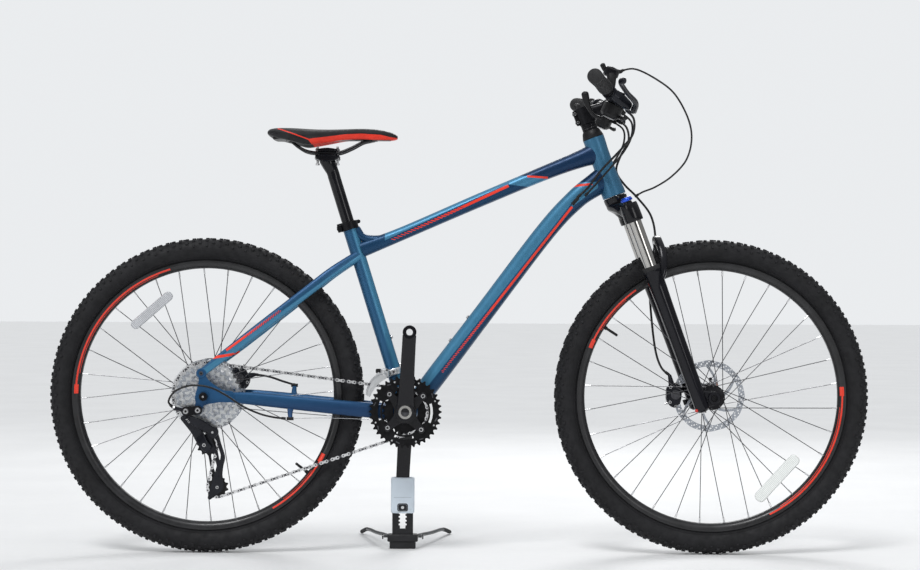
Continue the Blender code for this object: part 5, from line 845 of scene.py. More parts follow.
def build_reflectors():
    """Spoke reflectors: rounded bars clipped between two spokes, with cross ribs."""
    for end, start, stop, colour in (
            ("front", (0.6613, 0.1240), (0.7428, 0.2128), "reflector_white"),
            ("rear", (-0.7175, 0.4992), (-0.6386, 0.5678), "reflector_clear")):
        piece = Piece(f"{end}_reflector")
        first, last = np.array(start), np.array(stop)
        middle = (first + last) / 2
        along = unit(last - first)
        length = np.linalg.norm(last - first) + 0.010
        place = axes((middle[0], -0.0125, middle[1]), -Y, (along[0], 0.0, along[1]))
        outline = rounded_box(length, 0.0250 if end == "front" else 0.0210, 0.0100, 8)
        piece.prism(outline, 0.0060, place, reflector_finish(colour), edge=0.0018)
        back = place.copy()
        back[:3, 3] = back[:3, 3] + Y * 0.0042
        piece.prism(rounded_box(length * 0.55, 0.0140, 0.0040, 6), 0.0042, back,
                    "plastic", edge=0.0008)
        piece.make(f"{end}_wheel")


def reflector_finish(name):
    """Moulded lens whose prisms are a fine wave in its relief, and in its brightness as painted
    glints and shade.
    """
    made = Nodes(name)
    clear = name.endswith("clear")
    wave = made.node("ShaderNodeTexWave", [("Vector", made.coordinates.outputs["Object"]),
                                           ("Scale", 130.0), ("Distortion", 0.4)],
                     wave_type="BANDS", bands_direction="DIAGONAL").outputs["Fac"]
    # light and dark bands: painted glints and shade on the prisms' facets
    low, high = (((0.45, 0.47, 0.50), (0.86, 0.87, 0.90)) if clear
                 else ((0.62, 0.66, 0.64), (0.93, 0.95, 0.93)))
    made.set(Base_Color=made.mix(wave, low, high), Normal=made.bump(wave, 0.5, 0.0006),
             Roughness=made.ramp(made.noise(300.0), 0.10, 0.26), Coat_Weight=0.8,
             Transmission_Weight=0.25 if clear else 0.0)
    return made.material


# ------------------------------------------------------------------ drive

PITCH = 0.0127                            # length of a chain link
SMALL_TEETH, LARGE_TEETH, PULLEY_TEETH = 24, 38, 11
TEETH = (36, 32, 28, 24, 21, 19, 17, 15, 13, 11)   # the sprockets', from the spokes outwards
SPACING = 0.00395                         # from one sprocket to the next
# the planes of the largest sprocket and of the two rings
CASSETTE_Y, LARGE_Y, SMALL_Y = -0.0250, -0.0518, -0.0440
CRANK_LENGTH = 0.175
ARM_ANGLES = 42.0 + 90.0 * np.arange(4)   # degrees of the spider's arms
RING_HALF = 0.00125                       # half the large ring's thickness
BOLT_CIRCLE = 0.0520                      # radius of the large ring's bolts
SHIFT_PINS = 0.0690                       # radius of its shift pins and ramps
CAGE_Y = (SMALL_Y - 0.0040, SMALL_Y + 0.0098)   # the front derailleur's two plates


def flat(point):
    """Side view of a point as a complex number, ahead plus i times up."""
    return complex(point[0], point[2])


def chain_path():
    """Places of the chain's pins, and the phase of each wheel's teeth.

    The path is the tight loop round four circles: straight tangents between them and arcs on
    them, each circle's radius being its teeth times the pitch over a full turn. A place in the
    side view is a complex number, ahead plus i times up.
    """
    wheels = [(flat(REAR), TEETH[0], 1, CASSETTE_Y), (flat(BB), SMALL_TEETH, 1, SMALL_Y),
              (flat(pivot_of("tension_pulley_spin")), PULLEY_TEETH, 1, CASSETTE_Y),
              (flat(pivot_of("guide_pulley_spin")), PULLEY_TEETH, -1, CASSETTE_Y)]
    runs = []
    for (c0, n0, s0, y0), (c1, n1, s1, y1) in zip(wheels, wheels[1:] + wheels[:1]):
        r0, r1 = n0 * PITCH / math.tau, n1 * PITCH / math.tau
        gap = c1 - c0
        lift = s1 * r1 - s0 * r0
        length = math.sqrt(abs(gap) ** 2 - lift ** 2)
        heading = gap / complex(length, -lift)
        right = heading * -1j
        runs.append((c0 - s0 * r0 * right, c1 - s1 * r1 * right, heading, y0, y1))
    points, sides, arcs = [], [], []
    share = np.linspace(0, 1, 400, endpoint=False)
    for index, (leave, arrive, heading, y0, y1) in enumerate(runs):
        after = runs[(index + 1) % 4][2]
        hub, teeth, sense, y = wheels[(index + 1) % 4]
        turn = np.angle(after / heading)
        turn -= math.tau if sense > 0 and turn > 0 else 0.0
        turn += math.tau if sense < 0 and turn < 0 else 0.0
        arcs.append(((2 * index + 1) * len(share), hub, teeth))
        points += [leave + (arrive - leave) * share,
                   hub + (arrive - hub) * np.exp(1j * turn * share)]
        sides += [y0 + (y1 - y0) * share, np.full(len(share), y)]
    points, sides = np.concatenate(points), np.concatenate(sides)
    closed = np.append(points, points[0])
    reach = np.concatenate([[0.0], np.cumsum(np.abs(np.diff(closed)))])
    links = 2 * round(reach[-1] / PITCH / 2)
    pitch = reach[-1] / links
    wanted = np.arange(links) * pitch
    sample = lambda values, at: np.interp(at, reach, np.append(values, values[0]))
    pins = np.stack([sample(values, wanted)
                     for values in (points.real, sides, points.imag)], axis=1)
    phases = {}
    for start, hub, teeth in arcs:
        link = math.ceil(reach[start] / pitch) + 0.5
        at = complex(sample(points.real, link * pitch), sample(points.imag, link * pitch))
        phases[(round(hub.real, 3), teeth)] = math.atan2((at - hub).imag, (at - hub).real)
    return pins, phases


PINS, PHASES = chain_path()


def phase(hub, teeth):
    """Angle that puts a wheel's teeth between the chain's links."""
    return PHASES.get((round(float(hub[0]), 3), teeth), 0.3 * teeth)


def toothed(teeth, start=0.0, height=0.0028, depth=0.0034):
    """Sprocket outline: each tooth rises from a round root over 11 points."""
    radius = PITCH / 2 / math.sin(math.pi / teeth)
    share = np.array([-0.50, -0.40, -0.30, -0.22, -0.14, -0.08, 0.08, 0.14, 0.22, 0.30, 0.40])
    level = np.array([-1.0, -0.93, -0.62, -0.10, 0.55, 1.0, 1.0, 0.55, -0.10, -0.62, -0.93])
    level = np.where(level > 0, level * height, level * depth)
    angle = start + (np.arange(teeth)[:, None] + share) / teeth * math.tau
    reach = radius + np.tile(level, (teeth, 1))
    return np.stack([reach * np.cos(angle), reach * np.sin(angle)], axis=-1).reshape(-1, 2)


def chain_stretches(middle):
    """Which stretch each link is in, and what it follows.

    Going round: the cassette, the upper run and the chainring stay with the frame; the lower run
    and the short run above the pulleys turn from the frame to the derailleur; and what is wound
    on the two pulleys goes with their cage.
    """
    tension, guide = pivot_of("tension_pulley_spin"), pivot_of("guide_pulley_spin")
    near = lambda hub, radius: np.flatnonzero(
        np.hypot(middle[:, 0] - hub[0], middle[:, 2] - hub[2]) < radius)
    ring, pulley, late = (PITCH * teeth / math.tau + 0.0020
                          for teeth in (SMALL_TEETH, PULLEY_TEETH, TEETH[0]))
    leave, wound = near(BB, ring)[-1] + 1, near(tension, pulley)[0]
    free = near(guide, pulley)[-1] + 1
    on_cassette = near(REAR, late)
    back = on_cassette[on_cassette > free][0]
    number = np.arange(len(middle))
    bend = ("frame", "derailleur_body")
    return (
        ("chain_links", (number < leave) | (number >= back), None),
        ("chain_lower_run", (number >= leave) & (number < wound),
         (*bend, middle[leave], middle[wound - 1])),
        ("chain_on_pulleys", (number >= wound) & (number < free), "derailleur_cage"),
        ("chain_above_pulleys", (number >= free) & (number < back),
         (*bend, middle[back - 1], middle[free])))


def build_chain():
    """Chain: peanut-shaped plates in pairs, with a roller and a pin at every pitch, near-black as
    painted shade.

    Inner and outer plates alternate; each place is the middle of two neighbouring pins.
    """
    after = np.roll(PINS, -1, axis=0)
    middle = (PINS + after) / 2
    turn = np.linspace(-1.25, 1.25, 6) * math.pi / 2
    lobe = np.stack([PITCH / 2 + 0.0040 * np.cos(turn), 0.0040 * np.sin(turn)], axis=1)
    outline = np.vstack([lobe, [(0.0, 0.0023)], -lobe, [(0.0, -0.0023)]])
    outer = slab(outline, 0.0009)
    inner = slab(outline * np.array([0.97, 0.90]), 0.0009)
    roller, pin = drum(0.0036, 0.0024, 12), drum(0.0017, 0.0070, 8)
    links = stack_places(middle, -Y, after - PINS)
    pins = stack_places(PINS, -Y, after - PINS)
    even = np.arange(len(middle)) % 2 == 0
    # each shape with its places, which of them it takes, its offsets across and its finish
    shapes = ((outer, links, even, (-0.00265, 0.00265), "chain_steel"),
              (inner, links, ~even, (-0.00165, 0.00165), "dark_steel"),
              # rollers and pins: real parts, coloured near-black as painted shade between the
              # plates
              (roller, pins, even | ~even, (0.0012,), "chain_gap_shade"),
              (pin, pins, even | ~even, (0.0035,), "chain_gap_shade"))
    for name, here, follows in chain_stretches(middle):
        piece = Piece(name)
        for shape, places, chosen, offsets, paint_name in shapes:
            for offset in offsets:
                spots = places[chosen & here].copy()
                spots[:, :3, 3] += Y * offset
                piece.repeat(shape, spots, paint_name)
        if follows is None:
            piece.make("frame", ["chain"])
        elif isinstance(follows, str):
            piece.make(follows)
        else:
            item = piece.make("frame")
            item.parent = None
            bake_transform(item)


def build_cassette():
    """Ten toothed plates with lightening holes on a splined carrier, and their lock ring."""
    piece = Piece("cassette_sprockets")
    for index, teeth in enumerate(TEETH):
        y = CASSETTE_Y - SPACING * index
        first = phase(REAR, teeth) if index == 0 else 0.3 * index
        radius = PITCH / 2 / math.sin(math.pi / teeth)
        holes = [circle(0.0168 if index < 8 else 0.0145, 36)]
        rim = radius - 0.0062
        if index < 5:
            count = 14 - index
            inner, wide = max(rim - 0.0062, 0.0200), 250.0 / count
            for step in range(count):
                angle = step * 360.0 / count + index * 9.0
                holes.append(np.array([polar(rim - 0.0012, angle),
                                       polar(rim - 0.0008, angle + wide / 2),
                                       polar(rim - 0.0012, angle + wide),
                                       polar(inner, angle + wide - 3.0),
                                       polar(inner, angle + 3.0)]))
        piece.plate(toothed(teeth, first), holes, 0.0017, side_view(REAR[0], y, REAR[2]),
                    "rotor_steel" if index % 2 else "silver")
        if index < 7:
            piece.ring((0.0172, rim - 0.0080), 0.0006, REAR + Y * (y + 0.0018), -Y, "silver", 48)
    outer = CASSETTE_Y - SPACING * 9
    for index in range(9):
        y = CASSETTE_Y - SPACING * (index + 0.5)
        piece.lathe(mm((12.6, -1.1), (12.6, 1.1), (17.2, 1.1), (17.2, -1.1)),
                    REAR + Y * y, Y, "black_anodised", sides=32, loop=True)
    piece.lathe(mm((9.8, -1), (9.8, 2), (15, 2), (15.8, 0.6), (15.8, -0.6), (15, -1))[::-1],
                REAR + Y * (outer - 0.0015), -Y, "dark_steel", sides=48, loop=True)
    turn = np.arange(12) * 30.0
    places = stack_places(around(REAR, 0.0114, turn, outer - 0.0030), -Y, outward(turn))
    piece.repeat(block(0.0022, 0.0018, 0.0012, 0.9), places, "dark_steel")
    bolts = np.arange(6) * 60.0 + 20.0
    rivets = around(REAR, 0.0260, bolts, CASSETTE_Y - 3 * SPACING - 0.0009)
    piece.repeat(drum(0.0016, 0.0008, 10, 0.0012), stack_places(rivets, -Y, X), "silver")
    piece.make("cassette", ["cassette"], sharp=25)
    guard = Piece("spoke_protector")
    holes = [circle(0.0200, 40)] + [circle(0.0046, 12, polar(0.0560, step * 30.0))
                                    for step in range(12)]
    guard.plate(circle(0.0775, 96), holes, 0.0011, side_view(REAR[0], -0.0217, REAR[2]),
                clear_plastic())
    guard.lathe(mm((77.4, -0.9), (77.4, 0.9), (79, 0.9), (79, -0.9)),
                REAR - Y * 0.0217, Y, clear_plastic(), sides=96, loop=True)
    guard.make("rear_wheel")


@cache
def clear_plastic():
    """Water-clear moulded disc, slightly scuffed."""
    made = Nodes("clear_plastic")
    blotch = made.noise(160.0, 5.0)
    made.set(Base_Color=made.mix(made.ramp(blotch, 0.0, 1.0), (0.86, 0.88, 0.90),
                                 (0.95, 0.96, 0.97)),
             Roughness=made.ramp(blotch, 0.06, 0.22),
             Normal=made.bump(made.noise(500.0), 0.05, 0.0002), Transmission_Weight=0.92,
             IOR=1.45, Alpha=0.55)
    return made.material


def arm_sections(side, root_y, tip_y, length, widths, halves, count=28):
    """Rounded sections down a crank arm: width and thickness read along it from short lists."""
    along = CRANK_UP * -side
    share = np.linspace(0.0, 1.0, count)
    ease = share ** 1.2
    middle = (BB + along * (length * share)[:, None]
              + Y * (side * (root_y + (tip_y - root_y) * ease))[:, None])
    wide = np.interp(share, np.linspace(0, 1, len(widths)), widths)
    thick = np.interp(share, np.linspace(0, 1, len(halves)), halves)
    across = np.cross(Y, along)
    section = oval(28, 4.5)
    return (middle[:, None] + across * section[None, :, :1] * wide[:, None, None]
            + Y * section[None, :, 1:] * thick[:, None, None])


def build_crank_arms():
    """Both arms, the hollow spindle, the spider and the small ring with its bolts."""
    piece = Piece("crank_arms")
    black = "gloss_black"
    root, tip = 0.0640, 0.0760
    for side, root_y in ((-1, root), (1, 0.0585)):
        grid = arm_sections(side, root_y, tip, CRANK_LENGTH,
                            mm(20, 18.6, 17, 16, 15.4, 15.2, 15, 15),
                            mm(8.2, 7.8, 7.4, 7.2, 7, 6.9, 6.9, 6.9))
        along = CRANK_UP * -side
        piece.grid(grid[:-1], black)
        eye = BB + along * CRANK_LENGTH + Y * side * tip
        piece.ring((0.0072, 0.0150), 0.0136, eye - Y * 0.0068, Y, black, 48)
        piece.ring((0.0070, 0.0078), 0.0138, eye - Y * 0.0069, Y, "steel", 32)
        boss = BB + Y * side * root_y
        inner_r = 0.0092 if side < 0 else 0.0118
        piece.ring((inner_r, 0.0210), 0.0170, boss - Y * 0.0085, Y, black, 64)
    piece.lathe(mm((9.2, 0), (12, 0), (12, 129), (9.2, 129)),
                BB + Y * (0.0650 - 0.1290), Y, "steel", sides=48, loop=True)
    outer = BB - Y * (root + 0.0085)
    piece.ring((0.0092, 0.0146), 0.0016, outer, -Y, "chrome", 64)
    piece.lathe(mm((0.1, 0), (9.1, 0), (9.1, -5), (0.1, -5))[::-1],
                outer + Y * 0.0040, -Y, "dark_steel", sides=48)
    for side in (-1, 1):
        pinch = BB - CRANK_UP * 0.021 + Y * 0.0585 + X * 0.0105 * side
        piece.bolt(pinch, X * side, 0.0033, "dark_steel", 0.0040, sides=14)
    piece.lathe(mm((0.1, 0), (9.5, 0), (10.5, -1.2), (10.5, -2.4), (0.1, -2.4))[::-1],
                BB + Y * 0.0685, Y, "black_anodised", sides=40)
    y = LARGE_Y - RING_HALF - 0.0003 - 0.0020
    arm = ((0.0235, 42.0), (0.0270, 26.0), (0.0370, 14.5), (0.0480, 9.5), (0.0575, 8.0),
           (0.0602, 4.0))
    outline = []
    for middle in ARM_ANGLES:
        outline += [polar(radius, middle - lean) for radius, lean in arm]
        outline += [polar(radius, middle + lean) for radius, lean in arm[::-1]]
    piece.prism(outline, 0.0044, side_view(BB[0], y, BB[2]), black, edge=0.0009)
    piece.ring((0.0122, 0.0245), 0.0100, BB + Y * (y + 0.0030), -Y, black, 56)
    piece.plate(toothed(SMALL_TEETH, phase(BB, SMALL_TEETH)), [circle(0.0275, 48)], 0.0019,
                side_view(BB[0], SMALL_Y, BB[2]), "chainring_black")
    for degrees in ARM_ANGLES:
        tab = [polar(r, degrees + lean) for r, lean in
               ((0.0280, -16.0), (0.0280, 16.0), (0.0350, 10.0), (0.0372, 0.0), (0.0350, -10.0))]
        piece.prism(tab, 0.0022, side_view(BB[0], SMALL_Y - 0.0020, BB[2]), "dark_steel",
                    edge=0.0004)
        post = around(BB, 0.0320, degrees, SMALL_Y + 0.0010)
        piece.rods(post, post - Y * 0.0110, 0.0046, "steel", sides=20)
        bolt = around(BB, BOLT_CIRCLE, degrees, LARGE_Y + 0.0016)
        piece.bolt(bolt - Y * 0.0052, -Y, 0.0052, "steel", 0.0022, sides=24)
        piece.rods(bolt, bolt + Y * 0.0012, 0.0060, "steel", sides=20)
    piece.make("crank", ["crank_right", "crank_left"])


def build_large_ring():
    """Toothed ring with shaped windows, shift pins and ramps on its inner face."""
    piece = Piece("chainring_teeth")
    inside_line, bolts, slots = [], [], []
    for middle in ARM_ANGLES:
        inside_line += [polar(r, middle + lean) for r, lean in (
            (0.043, -8), (0.043, 8), (0.046, 12), (0.0492, 18), (0.0508, 26), (0.0512, 36),
            (0.0512, 45), (0.0512, 54), (0.0508, 64), (0.0492, 72), (0.046, 78))]
        bolts.append(circle(0.0048, 16, polar(BOLT_CIRCLE, middle)))
        lean = np.array([24.0, 34.0, 45.0, 56.0, 66.0])
        slots.append(np.vstack([polar(0.0552, middle + lean), polar(0.0604, middle + lean[::-1])]))
    piece.plate(toothed(LARGE_TEETH), [np.array(inside_line), *bolts, *slots], 0.0024,
                side_view(BB[0], LARGE_Y, BB[2]), "chainring_black")
    turn = np.arange(8) * 45.0 + 20.0
    pin = drum(0.0022, 0.0016, 12, 0.0018)
    for lift, face in ((-0.0012, -1), (0.0012, 1)):
        piece.repeat(pin, stack_places(around(BB, SHIFT_PINS, turn, LARGE_Y + lift), Y * face, X),
                     "silver")
    ramps = around(BB, SHIFT_PINS, turn + 11.0, LARGE_Y - 0.0012)
    piece.repeat(block(0.0090, 0.0026, 0.0008, 0.8),
                 stack_places(ramps, -Y, outward(turn + 84.0)), "dark_steel")
    piece.make("crank", ["chainring_large"], sharp=25)


def build_bottom_bracket():
    """Cups with a splined rim either side of the shell."""
    piece = Piece("bottom_bracket_cups")
    for side in (-1, 1):
        start = BB + Y * side * 0.0368
        piece.lathe(mm((12.5, 10.5), (18.8, 10.5), (19.6, 9.6), (21.2, 8.6), (21.2, 0.4),
                       (20.4, -0.2), (12.5, -0.2))[::-1], start,
                    Y * side, "black_anodised", sides=64, loop=True)
        turn = np.arange(16) * 22.5
        ribs = around(BB, 0.0206, turn, start[1] + side * 0.0046)
        piece.repeat(block(0.0042, 0.0062, 0.0011, 0.9),
                     stack_places(ribs, outward(turn), outward(turn + 90.0)), "black_anodised")
        piece.ring((0.0123, 0.0160), 0.0012, start + Y * side * 0.0104, Y * side, "plastic", 40)
    piece.rods(BB - Y * SHELL_HALF, BB + Y * SHELL_HALF, 0.0165, "plastic", 24)
    piece.make("frame", ["bottom_bracket"])


# ------------------------------------------------------------------ frame

SEAT_TUBE = 0.4336    # from the bottom bracket to the seat tube's top
HEAD_TUBE = 0.1370    # length
HALF_HUB = 0.0675     # half the rear hub's width between the dropouts
DROPOUT = 0.0070      # thickness
SHELL_HALF = 0.0365   # half the bottom bracket shell's width
# the down tube's foot, its lower bend, its elbow and its head
DOWN_FOOT = BB + mm(6, 0, -4)
DOWN_HEAD = steer(0.0, 0.0, 0.048)
DOWN_ELBOW = DOWN_HEAD + mm(-70, 0, -53)
DOWN_LOW = DOWN_ELBOW + mm(-67, 0, -73)


def line_values(made, plane, start, end):
    """Node values from a line's start, ahead and up, then its unit direction and its length."""
    (x0, z0), (x1, z1) = start, end
    length = math.hypot(x1 - x0, z1 - z0)
    return (made.math("SUBTRACT", plane[0], x0), made.math("SUBTRACT", plane[1], z0),
            (x1 - x0) / length, (z1 - z0) / length, length)


def stripe(made, plane, start, end, half_width, dash=0.0, dash_start=0.0, lean=0.6):
    """1 on a straight painted line in the side view, broken into slanted dashes past a place.

    Along and across are the two dot products of the point with the line's direction and normal.
    """
    dx, dz, ux, uz, length = line_values(made, plane, start, end)
    along = made.math("ADD", made.math("MULTIPLY", dx, ux), made.math("MULTIPLY", dz, uz))
    across = made.math("SUBTRACT", made.math("MULTIPLY", dx, -uz), made.math("MULTIPLY", dz, -ux))
    mask = made.math("MULTIPLY", inside(made, along, 0.0, length),
                     inside(made, across, -half_width, half_width))
    if dash:
        slant = made.math("ADD", along, made.math("MULTIPLY", across, lean))
        step = made.math("FRACT", made.math("DIVIDE", slant, dash))
        share = made.ramp(along, 0.80, 0.30, dash_start, length)
        on = made.math("MAXIMUM", made.math("LESS_THAN", along, dash_start),
                       made.math("LESS_THAN", step, share))
        mask = made.math("MULTIPLY", mask, on)
    return mask


def above(made, plane, start, end):
    """How far a point of the side view lies above a straight line."""
    dx, dz, ux, uz, _ = line_values(made, plane, start, end)
    return made.math("SUBTRACT", made.math("MULTIPLY", dz, ux), made.math("MULTIPLY", dx, uz))


def paint(name, zones, lines, base=None):
    """Metallic paint: colour zones first, then painted lines, flakes and a clear coat."""
    made = Nodes(name)
    split = made.node("ShaderNodeSeparateXYZ", [(0, made.coordinates.outputs["Object"])])
    plane = (split.outputs["X"], split.outputs["Z"])
    look = settings()
    base = base or look.paint_colour
    flake = made.noise(2600.0, 2.0)
    drift = made.noise(9.0, 2.0)
    colour = made.mix(made.ramp(drift, 0.0, 1.0, 0.3, 0.7), shade(base, 0.92), shade(base, 1.08))
    for rule, tint in zones:
        colour = made.mix(rule(made, plane), colour, tint)
    mask = 0.0
    for line in lines:
        mask = made.math("MAXIMUM", mask, stripe(made, plane, *line))
    spark = made.mix(made.ramp(flake, 0.0, 0.12, 0.55, 0.75), colour, (0.25, 0.45, 0.62))
    colour = made.mix(mask, spark, look.accent_colour)
    made.set(Base_Color=colour,
             Metallic=made.math("SUBTRACT", 0.42, made.math("MULTIPLY", mask, 0.42)),
             Roughness=made.ramp(made.noise(70.0, 4.0), 0.34, 0.44),
             Normal=made.bump(made.noise(240.0, 2.0), 0.010, 0.0002), Coat_Weight=0.12,
             Coat_Roughness=0.28, Specular_IOR_Level=0.30)
    return made.material


def band(start, end, low, high, soft=0.0006, between=None):
    """Zone rule: the strip between two heights above a line, if need be between two X places."""
    def rule(made, plane):
        lift = above(made, plane, start, end)
        mask = made.math("MULTIPLY", made.ramp(lift, 0.0, 1.0, low - soft, low + soft),
                         made.ramp(lift, 1.0, 0.0, high - soft, high + soft))
        if between:
            mask = made.math("MULTIPLY", mask, inside(made, plane[0], *between))
        return mask
    return rule


LIGHT = (0.055, 0.210, 0.355)
NAVY = (0.002, 0.026, 0.082)
DEEP = (0.004, 0.042, 0.108)


@cache
def tube_paint(which):
    """Each tube's own colours and lines."""
    if which == "top":
        line = ((0.107, 0.811), (-0.150, 0.6905))
        return paint("top_tube_paint",
                     [(band(line[1], line[0], 0.0055, 0.0600, between=(-0.165, 0.200)), LIGHT),
                      (band((0.100, 0.8145), (0.1445, 0.8095), 0.0, 0.100,
                            between=(0.108, 0.300)), LIGHT),
                      (band((0.124, 0.8350), (0.198, 0.8270), 0.0, 0.300,
                            between=(0.110, 0.400)), NAVY)],
                     [(line[0], line[1], 0.0030, 0.0082, 0.110, 1.4),
                      ((0.148, 0.832), (0.194, 0.829), 0.0022)], DEEP)
    if which == "down":
        line = ((0.247, 0.765), (-0.038, 0.400))
        return paint("down_tube_paint",
                     [(band(line[1], line[0], 0.0060, 0.0800, between=(-0.20, 0.262)), LIGHT),
                      (band(line[1], line[0], -0.0800, 0.0045, between=(-0.20, 0.34)), DEEP),
                      (band((0.250, 0.767), (0.3036, 0.807), 0.0, 0.0600,
                            between=(0.246, 0.3036)), LIGHT),
                      (band((0.200, 0.813), (0.300, 0.8165), 0.0040, 0.0900,
                            between=(0.205, 0.36)), NAVY)],
                     [(line[0], line[1], 0.0026, 0.0068, 0.290, 1.6),
                      ((0.241, 0.8105), (0.292, 0.8155), 0.0026)])
    if which == "seatstay":
        line = ((-0.3905, 0.535), (-0.508, 0.4475))
        return paint("seatstay_paint",
                     [(band(line[1], line[0], -0.0500, -0.0032, between=(-0.56, -0.15)), LIGHT),
                      (band(line[1], line[0], 0.0040, 0.0400, between=(-0.56, -0.15)),
                       (0.018, 0.075, 0.180))],
                     [(line[1], line[0], 0.0026, 0.0066, 0.052, -1.4),
                      ((-0.544, 0.4305), (-0.490, 0.4395), 0.0030)])
    if which == "chainstay":
        return paint("chainstay_paint", [(lambda m, p: m.ramp(p[1], 1.0, 0.0, 0.322, 0.345),
                                          (0.008, 0.042, 0.120))], [], (0.014, 0.078, 0.188))
    if which == "seat":
        return paint("seat_tube_paint", [(band(tuple(seat(0.0)[[0, 2]]), tuple(seat(0.4)[[0, 2]]),
                                               -0.030, -0.004, 0.003), (0.060, 0.230, 0.380))], [])
    return paint("head_tube_paint", [], [], (0.038, 0.145, 0.255))


def tapered(points, heights, widths, count):
    """Centre line and half sizes for a shaped tube, eased through its stations."""
    path = smooth(points, count)
    lengths = np.linalg.norm(np.diff(np.asarray(points, float), axis=0), axis=1)
    at = np.concatenate([[0.0], np.cumsum(lengths)]) / lengths.sum()
    share = np.linspace(0, 1, count)
    blend = smooth(np.column_stack([at, heights, widths]), 200)
    return (path, np.interp(share, blend[:, 0], blend[:, 1]),
            np.interp(share, blend[:, 0], blend[:, 2]))


def shaped_tube(piece, points, heights, widths, paint_name, count=48, power=2.3, sides=40):
    """Tube whose section, an oval of a given power, stays upright along its centre line."""
    path, tall, broad = tapered(points, heights, widths, count)
    tangent = unit(np.gradient(path, axis=0))
    side = np.broadcast_to(Y, tangent.shape)
    normal = unit(np.cross(side, tangent))
    side = np.cross(tangent, normal)
    section = oval(sides, power)
    grid = (path[:, None] + normal[:, None] * (section[None, :, :1] * tall[:, None, None])
            + side[:, None] * (section[None, :, 1:] * broad[:, None, None]))
    piece.grid(grid, paint_name)


def weld(piece, middle, along, radii, paint_name, tilt=None, size=0.0022):
    """Rippled bead round a joint: a small circle carried round an oval, swelling 40 times."""
    place = axes(middle, along, tilt)
    sides = 160
    angle = np.arange(sides) / sides * math.tau
    ripple = size * (1.0 + 0.10 * np.cos(angle * 40))
    ring = np.column_stack([np.cos(angle) * radii[0], np.sin(angle) * radii[1], 0 * angle])
    away = unit(np.column_stack([np.cos(angle) / radii[0], np.sin(angle) / radii[1], 0 * angle]))
    cross = np.arange(10) / 10 * math.tau
    grid = (ring[:, None] + away[:, None] * (np.cos(cross)[None, :, None] * ripple[:, None, None])
            + Z * (np.sin(cross)[None, :, None] * ripple[:, None, None] * 1.5))
    piece.grid(moved(grid, place), paint_name, loop=True)


